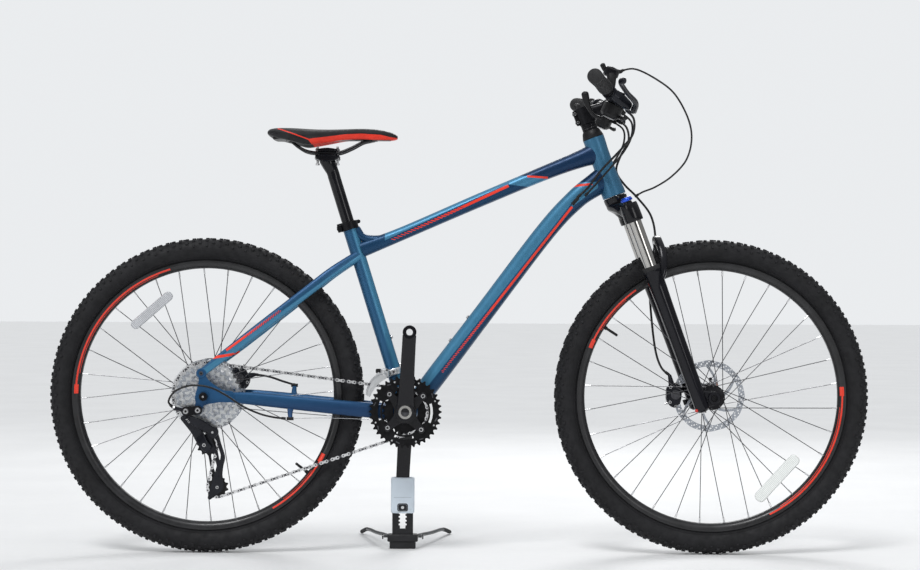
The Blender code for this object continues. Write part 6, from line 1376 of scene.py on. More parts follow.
def build_frame():
    """Frame tubes: shaped sections carried along their lines, with welds, bosses and dropouts."""
    piece = Piece("frame_tubes")
    seat_paint, head_paint = tube_paint("seat"), tube_paint("head")
    top_paint, down_paint = tube_paint("top"), tube_paint("down")
    stay_paint, chain_paint = tube_paint("seatstay"), tube_paint("chainstay")
    piece.tube([seat(-0.004), seat(0.2), seat(SEAT_TUBE - 0.0006)], 0.0159, seat_paint, 48)
    piece.ring((0.0139, 0.0165), 0.0160, seat(SEAT_TUBE - 0.0170), SEAT_UP, seat_paint, 48)
    piece.lathe([(0.0168, 0.0001), (0.0252, 0.0001), (0.0262, 0.0012), (0.0262, 0.0120),
                 (0.0255, 0.0160), (0.0238, 0.0420), (0.0224, 0.0720), (0.0226, 0.1050),
                 (0.0236, 0.1230), (0.0238, HEAD_TUBE - 0.0010), (0.0230, HEAD_TUBE),
                 (0.0168, HEAD_TUBE)][::-1], STEER_FOOT, STEER_UP, head_paint, sides=72, loop=True)
    shell = [(0.0172, -SHELL_HALF), (0.0206, -SHELL_HALF), (0.0212, -0.0358), (0.0212, 0.0358),
             (0.0206, SHELL_HALF), (0.0172, SHELL_HALF)]
    piece.lathe(shell[::-1], BB, Y, down_paint, sides=56, loop=True)
    start = seat(SEAT_TUBE - 0.066)
    end = steer(0.0, 0.0, HEAD_TUBE - 0.040)
    line = lambda share, lift: start + (end - start) * share + Z * lift
    shaped_tube(piece, [line(0.02, 0), line(0.19, 0), line(0.5, 0.0055), line(0.78, 0.0085),
                        line(0.93, 0.0075), line(0.995, 0.0060)],
                mm(17.2, 14.5, 15, 16, 19.6, 26.8),
                mm(15, 16.8, 19, 19.8, 20.6, 20.5), top_paint, 72, 2.5)
    shaped_tube(piece, [DOWN_FOOT, DOWN_FOOT + (DOWN_LOW - DOWN_FOOT) * 0.18,
                        DOWN_FOOT + (DOWN_LOW - DOWN_FOOT) * 0.55, DOWN_LOW, DOWN_ELBOW,
                        DOWN_HEAD + (DOWN_ELBOW - DOWN_HEAD) * 0.35, DOWN_HEAD],
                mm(20, 22.6, 21.7, 21.7, 22.7, 25.8, 26.8),
                mm(27, 28.4, 25, 24, 23.5, 21.8, 20), down_paint, 80, 2.7)
    end_y, shell_y = HALF_HUB + DROPOUT / 2, SHELL_HALF - 0.0145
    for side in (-1, 1):
        shaped_tube(piece, [
            BB + [-0.0075, side * shell_y, -0.0040],
            BB + [-0.0525, side * (shell_y + 0.0075), -0.0010],
            BB + [-0.0875, side * (shell_y + 0.0165), 0.0035],
            BB + [-0.1450, side * (shell_y + 0.0255), 0.0090],
            REAR + [0.1200, side * (end_y - 0.0125), -0.0065],
            REAR + [0.0550, side * (end_y - 0.0010), -0.0015]],
            mm(15, 16, 16.6, 16, 14.1, 10.8),
            mm(10, 9.8, 9.2, 8.8, 8, 4), chain_paint, 56, 2.6, 32)
        top = seat(SEAT_TUBE - 0.070)
        foot = REAR + mm(-6.4, 0, 50)
        path = foot - top
        shaped_tube(piece, [
            top + [0.004, side * 0.0080, -0.004],
            top + path * 0.16 + Y * side * 0.0330, top + path * 0.32 + Y * side * 0.0450,
            top + path * 0.75 + Y * side * 0.0620, foot + Y * side * end_y],
            mm(11.5, 11.7, 11.7, 11.2, 8.2), mm(8, 8, 7.5, 7, 3.6),
            stay_paint, 56, 2.4, 32)
        outline = smooth(mm((-14, 56), (-5.5, 61), (3, 55), (6, 42), (13.5, 33), (26, 23.5),
                            (44, 13.2), (64, 10.5), (64, -10.5), (33, -13), (11, -16.5),
                            (-2, -21.2), (-11.5, -20.4), (-17.2, -13), (-18.7, -1), (-15, 15),
                            (-10.8, 33), (-12, 44)), 80, True)
        place = side_view(REAR[0], side * end_y, REAR[2])
        piece.plate(outline, [circle(0.0053, 24)], DROPOUT - 0.0006, place, chain_paint)
        boss = REAR + [-0.0056, side * (end_y - 0.0045), 0.0503]
        piece.lathe(mm((0.1, 0), (10, 0), (10.9, 1), (10.9, 7.8), (9.8, 9), (6.2, 9.2), (5.8, 8),
                       (0.1, 8)), boss, Y * side, chain_paint, sides=40)
        piece.bolt(boss + Y * side * 0.0078, Y * side, 0.0044, "dark_steel", 0.0020)
        weld(piece, BB + [-0.0260, side * (shell_y + 0.0020), -0.0030], -X,
             (0.0160, 0.0104), chain_paint, Z)
    weld(piece, seat(0.0205), SEAT_UP, (0.0164, 0.0164), seat_paint)
    weld(piece, BB + mm(17, 0, 16.5), unit(DOWN_LOW - BB), (0.0208, 0.0278), down_paint, Z)
    shaped_tube(piece, mm((-231, 0, 712), (-214, 0, 696.5), (-188, 0, 690.5), (-160, 0, 693.5),
                          (-138, 0, 700)), mm(13, 9.2, 10.4, 10.4, 8), mm(11, 11, 13, 14.5, 14.5),
                top_paint, 32, 2.2, 28)
    piece.make("frame", ["frame"], sharp=38)
    build_frame_fittings()


def build_frame_fittings():
    """Bottle bosses, cable guides, reinforcing rings and the headset's lower seal."""
    piece = Piece("frame_fittings")
    steel, dark = "steel", "dark_steel"
    down_along = unit(DOWN_LOW - DOWN_FOOT)
    down_normal = np.cross(down_along, Y)
    for reach in (0.1830, 0.2470):
        place = DOWN_FOOT + down_along * reach + down_normal * 0.0205
        piece.ring((0.0012, 0.0052), 0.0022, place, down_normal, dark, 20)
        piece.bolt(place + down_normal * 0.0020, down_normal, 0.0042, steel, 0.0030)
    ahead = np.cross(Y, SEAT_UP)
    for reach in (0.1010, 0.1650):
        place = seat(reach) + ahead * 0.0150
        piece.ring((0.0012, 0.0048), 0.0022, place, ahead, dark, 20)
        piece.bolt(place + ahead * 0.0020, ahead, 0.0040, steel, 0.0030)
    for side in (-1, 1):
        guide = np.array([0.2560, side * 0.0345, 0.7800])
        guide_along = unit(np.array([-0.55, 0.0, -0.62]))
        piece.rods(guide - guide_along * 0.006, guide + guide_along * 0.014, 0.0040, "plastic", 16)
    for side, z, stay_z in ((-1, 0.2990, 0.3240), (1, 0.3660, 0.3420)):
        place = np.array([-0.3760, side * 0.0645, z])
        piece.rods(place, place + X * 0.0150, 0.0038, "plastic", 14)
        foot = np.array([-0.3680, side * 0.0560, stay_z])
        piece.tube(smooth([foot, (foot + place) / 2 + X * 0.0030, place + X * 0.0080], 12),
                   mm(7.5, 5.5, 4.5), tube_paint("chainstay"), 20,
                   wide=mm(2.6, 2.4, 3), power=3.0, start=X, round_ends=0.5)
    piece.tube(smooth(mm((-364, -64.5, 299), (-300, -53, 300), (-215, -35, 297),
                         (-140, -12, 289.5)), 40), 0.0008, steel, 10)
    piece.ring((0.0160, 0.0240), 0.0016, steer(0, 0, HEAD_TUBE - 0.0004), STEER_UP,
               "black_anodised", 56)
    piece.make("frame")
    hanger = Piece("derailleur_hanger_plate")
    axle = REAR - Y * (HALF_HUB + DROPOUT + 0.0028)
    outline = smooth(mm((-11.2, 3), (-8, 9.5), (0, 11.8), (8.5, 9), (11.5, 0), (6, -12), (-2, -26),
                        (-3, -36), (-11, -39.5), (-20.5, -35), (-20, -25), (-16, -12)), 48, True)
    hanger.plate(outline, [circle(0.0054, 24)], 0.0046, side_view(*axle), tube_paint("chainstay"))
    bolt = REAR + mm(-11.3, -79.8, -29.6)
    pivot = REAR + mm(-37.5, -79.8, -31.8)
    span = unit(pivot - bolt)
    turn = np.linspace(-90, 90, 12)
    link = np.vstack([polar(0.0098, turn) + mm(13.1, 0),
                      polar(0.0098, turn + 180.0) - mm(13.1, 0)])
    place = axes((bolt + pivot) / 2 - Y * 0.0038, -Y, -span)
    hanger.prism(link, 0.0072, place, "black_anodised", edge=0.0014)
    for at in (bolt, pivot):
        hanger.ring((0.0030, 0.0068), 0.0012, at - Y * 0.0072, -Y, "dark_steel", 32)
        hanger.bolt(at - Y * 0.0078, -Y, 0.0054, steel, 0.0024, sides=24)
    hanger.make("frame", ["derailleur_hanger"])


# ------------------------------------------------------------------ fork

LEG_AHEAD, LEG_SIDE = 0.0170, 0.0650   # the fork legs' axes, from the steering axis


def build_fork():
    """Crown, steerer and stanchions; and the tapered lowers with their arch."""
    ahead, side_y = LEG_AHEAD, LEG_SIDE
    crown = Piece("fork_crown_and_stanchions")
    black = "gloss_black"
    crown.lathe(mm((0.1, -20), (14.25, -20), (14.25, 207), (0.1, 207)),
                STEER_FOOT, STEER_UP, "steel", sides=32)
    crown.lathe(mm((0.1, -22), (24, -20), (25.8, -12), (26.2, -3), (24, -0.8), (0.1, -0.8)),
                STEER_FOOT, STEER_UP, black, sides=56)
    # the crown from one leg to the steering axis: side, ahead, up, half width and half height
    half = [(side_y, ahead, -0.0450, 0.0170, 0.0175), (0.0520, 0.0145, -0.0400, 0.0185, 0.0165),
            (0.0330, 0.0075, -0.0285, 0.0215, 0.0125)]
    rows = smooth([(-side, *rest) for side, *rest in half] + [(0.0, 0.0, -0.0195, 0.0250, 0.0120)]
                  + half[::-1], 48)
    section = oval(36, 3.0)
    middle = (STEER_FOOT + STEER_AHEAD * rows[:, 1:2] + Y * rows[:, 0:1] + STEER_UP * rows[:, 2:3])
    grid = (middle[:, None] + STEER_AHEAD * (section[None, :, :1] * rows[:, 3, None, None])
            + STEER_UP * (section[None, :, 1:] * rows[:, 4, None, None]))
    crown.grid(grid, black)
    for side in (-1, 1):
        foot = steer(ahead, side * side_y, 0.0)
        crown.lathe(mm((15.2, -68), (19.6, -68), (20.5, -66.5), (20.8, -60), (20.4, -40),
                       (19.6, -29), (18.6, -26.4), (10, -26.2), (9.5, -21.5), (0.1, -21.2)), foot,
                    STEER_UP, black, sides=56)
        crown.lathe(mm((0.1, -297), (14.2, -297), (15, -296), (15, -60), (0.1, -60)), foot,
                    STEER_UP, "chrome", sides=56)
        crown.lathe(mm((0.1, -22), (8.8, -22), (9.2, -20.8), (0.1, -20.8)),
                    foot, STEER_UP, "black_anodised", sides=36)
    crown.make("steering", ["fork_crown"])
    dial = Piece("lockout_dial_knob")
    foot = steer(ahead, -side_y, 0.0)
    dial.lathe(mm((0.1, -20.6), (12.2, -20.6), (12.6, -19.6), (12.6, -16), (11.8, -15),
                  (11.2, -12.4), (10, -11.8), (0.1, -11.7)), foot, STEER_UP, "blue_dial", sides=48)
    out = np.column_stack([polar(1.0, np.arange(20) * 18.0), np.zeros(20)])
    out = out @ axes(foot, STEER_UP)[:3, :3].T
    ribs = foot + out * 0.0122 - STEER_UP * 0.0178
    dial.repeat(block(0.0016, 0.0028, 0.0009, 0.8),
                stack_places(ribs, out, np.cross(out, STEER_UP)), "blue_dial")
    dial.bolt(foot - STEER_UP * 0.0118, STEER_UP, 0.0034, "steel", 0.0012)
    dial.make("lockout_dial", ["lockout_dial"])

    lowers = Piece("fork_lower_legs")
    axle_up = float((FRONT - STEER_FOOT) @ STEER_UP)
    axle_ahead = float((FRONT - STEER_FOOT) @ STEER_AHEAD)
    top = -0.1720
    for side in (-1, 1):
        foot = steer(ahead, side * side_y, 0.0)
        leg = np.vstack([mm((0.1, -20), (10, -19.5), (15, -15), (16, -6), (16.3, 40),
                            (16.7, 150)) + [0, axle_up],
                         mm((17.8, -90), (18.8, -50), (19, -18), (20, -16), (20.2, -9),
                            (15.3, -8)) + [0, top]])
        lowers.lathe(leg, foot, STEER_UP, "fork_black", sides=56)
        seal = mm((15.3, -0.6), (18.8, 0), (19.9, -3), (19.6, -9.5), (15.3, -9.5)) + [0, top]
        lowers.lathe(seal, foot, STEER_UP, "grip", sides=56, loop=True)
        outline = smooth([(ahead - 0.0125, axle_up + 0.0480), (ahead + 0.0020, axle_up + 0.0430),
                          (ahead + 0.0110, axle_up + 0.0280), (axle_ahead, axle_up + 0.0150),
                          (axle_ahead + 0.0110, axle_up + 0.0095), (axle_ahead + 0.0140, axle_up),
                          (axle_ahead + 0.0110, axle_up - 0.0095), (axle_ahead, axle_up - 0.0145),
                          (ahead + 0.0060, axle_up - 0.0165), (ahead - 0.0060, axle_up - 0.0180),
                          (ahead - 0.0130, axle_up - 0.0120), (ahead - 0.0140, axle_up + 0.0150)],
                         64, True)
        place = np.eye(4)
        place[:3, 0], place[:3, 1] = STEER_AHEAD, STEER_UP
        place[:3, 2] = np.cross(STEER_AHEAD, STEER_UP)
        place[:3, 3] = steer(0.0, side * 0.0580, 0.0)
        lowers.prism(outline, 0.0156, place, "fork_black", edge=0.0025)
        hub = FRONT + Y * side * 0.0515
        lowers.lathe(mm((7.8, 0), (12.8, 0), (13.8, 1), (13.8, 19), (12.6, 20.4),
                        (7.8, 20.4))[::-1], hub, Y * side, "fork_black", sides=56, loop=True)
        lowers.rods(foot + STEER_UP * (axle_up - 0.0200), foot + STEER_UP * (axle_up - 0.0228),
                    0.0060, "steel", 20)
    knob = steer(ahead - 0.0125, -side_y - 0.0070, axle_up - 0.0120)
    lowers.lathe(mm((0.1, -3), (3.4, -3), (3.6, 3), (2.6, 4.4), (0.1, 4.4)), knob,
                 unit(-STEER_AHEAD - Y * 0.6), "red_seal", sides=24)
    climb = ((0.001, side_y, -0.0400), (0.0205, 0.0620, -0.0210), (0.0345, 0.0510, 0.0150),
             (0.0375, 0.0300, 0.0435))
    arch = [steer(ahead + out, -side, top + up) for out, side, up in climb]
    arch.append(steer(ahead + 0.0380, 0.0, top + 0.0500))
    arch += [steer(ahead + out, side, top + up) for out, side, up in reversed(climb)]
    lowers.tube(smooth(arch, 60), 0.0086, "fork_black", 28,
                wide=mm(10.8, 11.2, 9.2, 8.8, 9.2, 8.8, 9.2, 11.2, 10.8),
                power=3.2, start=STEER_AHEAD)
    for up in (0.0310, 0.0030):
        place = axes(steer(ahead - 0.0190, 0.0620, axle_up + up), STEER_UP, STEER_AHEAD)
        lowers.prism(rounded_box(0.0130, 0.0116, 0.0030), 0.0118, place, "fork_black")
    lowers.make("fork_lowers", ["fork_lowers"], sharp=38)


# ------------------------------------------------------------------ axles and brakes

def build_axles():
    """Front through axle with its lever, and the rear quick release."""
    piece = Piece("front_through_axle")
    outer = 0.0720
    metal = "black_anodised"
    piece.lathe([(0.0056, -outer), (0.0068, -outer), (0.0075, -outer + 0.0008),
                 (0.0075, outer), (0.0056, outer)][::-1], FRONT, Y, metal, sides=32, loop=True)
    piece.lathe([(0.0001, outer + 0.0003), (0.0108, outer + 0.0003), (0.0115, outer + 0.0012),
                 (0.0115, outer + 0.0064), (0.0100, outer + 0.0076), (0.0001, outer + 0.0080)],
                FRONT, Y, metal, sides=40)
    pivot = FRONT + Y * (outer + 0.0070)
    path = smooth([pivot, pivot + mm(11, 4, 8), pivot + mm(18.5, 5, 16.5),
                   pivot + mm(16.5, 4, 26.5), pivot + mm(7.5, 2, 36)], 30)
    piece.tube(path, mm(6.8, 6.2, 5.6, 5, 4.2), metal, 20,
               wide=mm(5.8, 6, 5.8, 5.6, 4.6), power=3.0, round_ends=0.8)
    for step in (14, 17, 20):
        piece.tube(path[step:step + 3], 0.0066, "orange", 20, wide=0.0068, power=3.0,
                   round_ends=0.2)
    piece.tube(path[24:28], 0.0054, "silver", 20, wide=0.0060, power=3.0, round_ends=0.2)
    piece.make("front_axle", ["front_axle"])
    piece = Piece("rear_quick_release")
    end = HALF_HUB + DROPOUT + 0.0003
    right = end + 0.0053
    piece.rods(REAR - Y * (right + 0.0100), REAR + Y * (end + 0.0080), 0.0024, "steel", 16)
    piece.lathe(mm((2.6, 0), (9.4, 0), (9.8, 0.8), (9.6, 3), (8.2, 10.4), (7.6, 11),
                   (2.6, 11))[::-1], REAR - Y * right, -Y, metal, sides=40, loop=True)
    turn = np.arange(18) * 20.0
    ribs = around(REAR, 0.0086, turn, -(right + 0.0050))
    piece.repeat(block(0.0012, 0.0060, 0.0008, 0.8),
                 stack_places(ribs, outward(turn), outward(turn + 90.0)), metal)
    piece.lathe(mm((2.6, 0), (9, 0), (9.5, 0.8), (9.5, 9), (8.4, 10.8), (2.6, 11))[::-1],
                REAR + Y * end, Y, metal, sides=40, loop=True)
    piece.make("frame", ["rear_axle"])
    piece = Piece("rear_release_lever")
    pivot = REAR + Y * (end + 0.0170)
    path = smooth([pivot, pivot + mm(-14, 0.8, 2), pivot + mm(-28, 1, 5),
                   pivot + mm(-42, 0.2, 8.6), pivot + mm(-56, -1, 13)], 28)
    piece.tube(path, mm(3.8, 3.6, 3.4, 3), metal, 20, wide=mm(5.2, 5.4, 6.2, 5.6),
               power=3.0, round_ends=0.8)
    piece.make("rear_axle_lever", ["rear_axle_lever"])


def build_calipers():
    """Two half bodies bolted round the disc, with pads, pistons and a bleed port."""
    for end, hub, degrees, outer, body in (
            ("front", FRONT, 178.0, 0.0150, "fork_lowers"), ("rear", REAR, 28.0, 0.0145, "frame")):
        piece = Piece(f"{end}_brake_caliper")
        rotor = centre(f"{end}_rotor")[1]
        out = outward(degrees)
        along = np.cross(out, Y)
        middle = around(hub, ROTOR_RADIUS - 0.0010, degrees, rotor)
        metal = "forged_black"
        for low, high in ((-0.0125, -0.0022), (0.0022, outer)):
            place = axes(middle + Y * (low + high) / 2, Y, along)
            outline = smooth(mm((-21.5, -12), (-8, -16.5), (8, -16.5), (21.5, -12), (21.8, 4),
                                (15, 15), (0, 16.8), (-15, 15), (-21.8, 4)), 48, True)
            piece.prism(outline * [1.0, 1.0 if place[:3, 1] @ out > 0 else -1.0], high - low,
                        place, metal, edge=0.0022)
        for shift in (-0.0165, 0.0165):
            base = middle + along * shift + out * 0.0085
            piece.rods(base - Y * 0.0030, base + Y * 0.0030, 0.0046, metal, 20)
            piece.bolt(base + Y * (outer - 0.0004), Y, 0.0040, "steel", 0.0024)
            piece.bolt(base - Y * 0.0121, -Y, 0.0036, "steel", 0.0020)
        piece.ring((0.0006, 0.0105), 0.0016, middle + Y * (outer - 0.0004) - out * 0.003, Y,
                   "dark_steel", 36)
        piece.ring((0.0006, 0.0105), 0.0012, middle - Y * 0.0121 - out * 0.003, -Y,
                   "dark_steel", 36)
        for shift in (-0.0018, 0.0018):
            pad = axes(middle - out * 0.004 + Y * shift, Y, along)
            piece.prism(rounded_box(0.0260, 0.0200, 0.0040), 0.0014, pad, "dark_steel",
                        edge=0.0003)
        port = middle + along * 0.0190 + out * 0.0120 + Y * 0.0050
        piece.lathe(mm((0.1, 0), (3.4, 0), (3.4, 4), (2.2, 4.6), (2.2, 8), (0.1, 8.4)), port,
                    unit(out + along * 0.4), "steel", sides=20)
        hose = np.array((0.4700, 0.0520, 0.3920) if end == "front" else (-0.4560, 0.0600, 0.3900))
        toward = unit(hose - middle)
        piece.tube(smooth([middle + toward * 0.0120, (middle + hose) / 2 + toward * 0.0040, hose],
                          14), mm(7.5, 6.2, 4), metal, 24, round_ends=0.3)
        piece.bolt(middle + toward * 0.0200 + Y * 0.0050, Y, 0.0044, "dark_steel", 0.0050)
        # the bracket: an arm on each side of the body, bent towards the mount
        for share, reach in ((-1, 0.0200), (1, 0.0225)):
            route = smooth([middle + along * 0.0080 * share + out * 0.0110,
                            middle + along * reach * share + out * 0.0040,
                            middle + along * (reach + 0.0040) * share - out * 0.0100], 16)
            piece.tube(route + Y * 0.0060, mm(5.6, 6.2, 4.8), metal, 20,
                       wide=mm(4, 4.6, 4), power=3.2, start=Y, round_ends=0.6)
            piece.bolt(route[-3] + Y * 0.0120, Y, 0.0034, "steel", 0.0016)
            piece.bolt(route[-3] - Y * 0.0010, -Y, 0.0034, "steel", 0.0016)
        piece.make(body, [f"{end}_caliper"], sharp=38)


# ------------------------------------------------------------------ derailleurs

def build_rear_derailleur():
    """Body links, cage plates and toothed pulleys, each plate an outline smoothed by points."""
    body = Piece("rear_derailleur_body")
    metal, steel = "forged_black", "steel"
    start = REAR + mm(-37.5, -79.5, -31.8)
    cage_pivot = pivot_of("derailleur_cage_swing")
    body.ring((0.0010, 0.0102), 0.0142, start, Y, metal, 48)
    lower = cage_pivot - Y * 0.0103
    shoulder = start + mm(2, 7, -17)
    body.tube(smooth([start + mm(0, 7, 0), start + mm(1, 7, -9), shoulder], 16),
              mm(8.8, 9.6, 10), metal, 28, wide=mm(6.4, 6.8, 7), power=3.4)
    middle = (lower + shoulder) / 2
    for route, tall, wide in (
            ([shoulder + mm(-2, -3, 2), middle + mm(0, -6.8, 4),
              lower + mm(0, -4.5, 2)], (0.0080, 0.0104, 0.0088), (0.0036, 0.0040, 0.0036)),
            ([shoulder + mm(0, 5, -1), middle + mm(0, 5.2, 1),
              lower + mm(0, 5, 0)], (0.0066, 0.0072, 0.0076), (0.0028, 0.0030, 0.0028))):
        path = smooth(route, 24)
        tangent = unit(np.gradient(path, axis=0))
        body.tube(path, tall, metal, 28, wide=wide, power=4.0,
                  start=np.cross(Y, tangent[0]), round_ends=0.6)
    wing = smooth([shoulder + mm(-6, -6, 4), REAR + mm(-19, -49, -76),
                   REAR + mm(-4, -48, -104), REAR + mm(6, -45.5, -115)], 28)
    body.tube(wing, mm(9, 11, 12, 9.5), metal, 28, wide=mm(3.4, 3.6, 3.2, 2.6), power=4.0,
              start=np.cross(Y, unit(wing[1] - wing[0])), round_ends=0.6)
    for spot, radius in ((wing[4], 0.0034), (wing[24], 0.0040)):
        body.bolt(spot - Y * 0.0030, -Y, radius, steel, 0.0016)
    for end in (shoulder, lower):
        for side in (-0.0095, 0.0085):
            body.rods(end + Y * side, end + Y * side * 0.8, 0.0026, steel, 16)
    body.ring((0.0010, 0.0117), 0.0182, cage_pivot - Y * 0.0003, -Y, metal, 48)
    for step in range(4):
        body.ring((0.0100, 0.0121), 0.0008, cage_pivot - Y * (0.0040 + 0.0030 * step), -Y,
                  "dark_steel", 48)
    stop = start + mm(-27, 7.2, 6)
    body.tube(smooth([start + mm(0, 7, -2), start + mm(-13, 7.2, 3), stop], 14),
              mm(4.6, 4, 4.2), metal, 20, round_ends=0.6)
    body.ring((0.0022, 0.0048), 0.0060, stop + X * 0.0030, unit(stop - start), steel, 20)
    for shift in ((0.0080, -0.0118), (0.0115, -0.0180)):
        body.bolt(shoulder + [shift[0] * 0.4, -0.0080, shift[1] * 0.4], -Y, 0.0020, steel, 0.0016)
    body.make("derailleur_body", ["derailleur_body"], sharp=38)

    cage = Piece("rear_derailleur_cage")
    outer = smooth(mm((6, -76.5), (15, -71.2), (24, -75), (30, -90), (34.5, -106), (42, -129),
                      (42.8, -140), (39.2, -156), (37.4, -178), (40.2, -197), (37.2, -208),
                      (30, -215), (19, -223), (9.5, -229), (5.2, -225.5), (7.2, -215), (13, -195),
                      (20.5, -170), (26.2, -146), (25, -134), (18, -125.5), (7, -126.2),
                      (-6, -124), (-13.6, -115), (-14, -101), (-7, -90.5), (1, -83)), 110, True)
    inner = smooth(mm((-4, -99), (6, -95), (18, -101), (24.5, -120), (31, -150), (36.5, -178),
                      (39.2, -196), (34.5, -207), (26, -211), (18, -203), (13, -183), (9, -156),
                      (4, -130), (-2, -112)), 90, True)
    slot_line = smooth(mm((15, -96), (22.5, -96), (28.5, -116), (33, -130), (31, -142), (27, -125),
                          (19, -109)), 36, True)
    window = smooth(mm((16, -130), (22, -150), (27, -178), (23, -179), (16, -156), (11, -133)), 36,
                    True)
    outer_y, inner_y = CASSETTE_Y - 0.0062, CASSETTE_Y + 0.0062
    cage.plate(outer, [slot_line], 0.0019, side_view(REAR[0], outer_y, REAR[2]), metal)
    cage.plate(inner, [window], 0.0019, side_view(REAR[0], inner_y, REAR[2]), metal)
    for joint in ("guide_pulley_spin", "tension_pulley_spin"):
        hub = pivot_of(joint)
        flat_hub = hub * [1, 0, 1]
        cage.rods(flat_hub + Y * (outer_y - 0.0004), flat_hub + Y * (inner_y + 0.0008), 0.0027,
                  steel, 20)
        cage.bolt(flat_hub + Y * (outer_y - 0.0004), -Y, 0.0036, steel, 0.0018)
        pulley = Piece(joint.replace("_spin", "_wheel"))
        holes = [circle(0.0032, 24)] + [circle(0.0021, 12, polar(0.0108, step * 60.0 + 20))
                                        for step in range(6)]
        pulley.plate(toothed(PULLEY_TEETH, phase(hub, PULLEY_TEETH), 0.0022, 0.0026), holes, 0.0019,
                     side_view(hub[0], CASSETTE_Y, hub[2]), "plastic")
        for side in (-1, 1):
            pulley.ring((0.0032, 0.0072), 0.0016, flat_hub + Y * (CASSETTE_Y + side * 0.0008),
                        Y * side, "dark_steel", 32)
            pulley.ring((0.0078, 0.0088), 0.0006, flat_hub + Y * (CASSETTE_Y + side * 0.0009),
                        Y * side, "plastic", 40)
        pulley.make(joint.replace("_spin", ""), [joint.replace("_spin", "")], sharp=28)
    cage.make("derailleur_cage", ["derailleur_cage"], sharp=28)


def build_front_derailleur():
    """Clamp band, body with its links, and the two plates of the swinging cage."""
    base = Piece("front_derailleur_clamp")
    silver, dark = "silver", "dark_steel"
    middle = seat(0.0900)
    base.lathe(mm((16.2, -7), (19.2, -7), (19.9, -6), (19.9, 6), (19.2, 7), (16.2, 7))[::-1],
               middle, SEAT_UP, silver, sides=56, loop=True)
    ahead = np.cross(Y, SEAT_UP)
    for side in (-1, 1):
        place = axes(middle + Y * side * 0.0203 * 0.92 + ahead * 0.0035, SEAT_UP, ahead)
        base.prism(rounded_box(0.0110, 0.0052, 0.0018), 0.0124, place, silver)
    base.rods(middle - Y * 0.0240, middle - Y * 0.0160, 0.0030, dark, 18)
    place = axes(middle + mm(-19, -22.5, -3), Y, X)
    outline = smooth(mm((-8.5, -9.5), (4, -10.2), (8.8, -6), (8.5, 8), (2, 10), (-7, 8),
                        (-9.2, 0)), 40, True)
    base.prism(outline, 0.0200, place, silver, edge=0.0025)
    base.prism(rounded_box(0.0150, 0.0100, 0.0030), 0.0100,
               axes(middle + mm(-15, -11, 0), Y, X), silver)
    for shift in (-0.0045, 0.0045):
        base.bolt(middle + [shift - 0.0190, -0.0320, shift], -Y, 0.0026, dark, 0.0014)
    base.prism(rounded_box(0.0130, 0.0100, 0.0030), 0.0080,
               axes(middle + mm(-33, -20, 2), Y, X), "plastic")
    base.make("frame", ["front_derailleur_body"], sharp=38)
    cage = Piece("front_derailleur_plates")
    tip = PITCH * LARGE_TEETH / math.tau + 0.0032
    low = tip + 0.0045
    steps = np.linspace(0.0, 1.0, 22)
    for y, high in zip(CAGE_Y, (tip + 0.0190, tip + 0.0235)):
        degrees = 118.5 + 39.0 * steps
        outer = polar(high - 0.018 * np.abs(steps - 0.4) ** 1.5, degrees)
        inner = polar(low, degrees)
        outline = np.vstack([outer, inner[::-1]])
        cage.prism(outline, 0.0015, side_view(BB[0], y, BB[2]), silver, edge=0.0004)
        rib = polar(low + 0.0055, degrees[3:-3])
        path = np.column_stack([BB[0] + rib[:, 0], np.full(len(rib), y), BB[2] + rib[:, 1]])
        cage.tube(path, 0.0011, silver, 8, round_ends=0.8)
    for radius, degrees, wide in ((tip + 0.0176, 121.0, 0.0052), (low + 0.0022, 155.0, 0.0046)):
        spot = around(BB, radius, degrees, sum(CAGE_Y) / 2)
        cage.prism(rounded_box(wide, 0.0016, 0.0007), 0.0132, axes(spot, Y, X), silver,
                   edge=0.0002)
    link = around(BB, tip + 0.0150, 128.0, 0.0)
    cage.prism(rounded_box(0.0150, 0.0060, 0.0028), 0.0016,
               axes((link[0] - 0.004, SMALL_Y + 0.0106, link[2] + 0.004), Y, (0.6, 0, 0.8)),
               silver, edge=0.0003)
    cage.make("front_derailleur_cage", ["front_derailleur_cage"],
              sharp=38)


# ------------------------------------------------------------------ cockpit

BAR_SWEEP = (0.0680, 0.0270)   # how far the bar's ends lie back and up
BAR_HALF = 0.3700              # half the bar's width
BAR_STRAIGHT = 0.0700          # half its straight middle
GRIP_LENGTH = 0.1300
STEM_UP = HEAD_TUBE + 0.0330 + 0.0200
STEM_REACH, STEM_RISE = 0.072, math.radians(1.0)
BAR_CENTRE = steer(STEM_REACH * math.cos(STEM_RISE), 0.0,
                   STEM_UP + STEM_REACH * math.sin(STEM_RISE))


def bar(y):
    """Point on the handlebar's axis: straight in the middle, then swept back and up."""
    y = np.asarray(y, float)
    share = np.maximum(0.0, (np.abs(y) - BAR_STRAIGHT) / (BAR_HALF - BAR_STRAIGHT))
    return np.stack([BAR_CENTRE[0] - BAR_SWEEP[0] * share, y,
                     BAR_CENTRE[2] + BAR_SWEEP[1] * share], axis=-1)


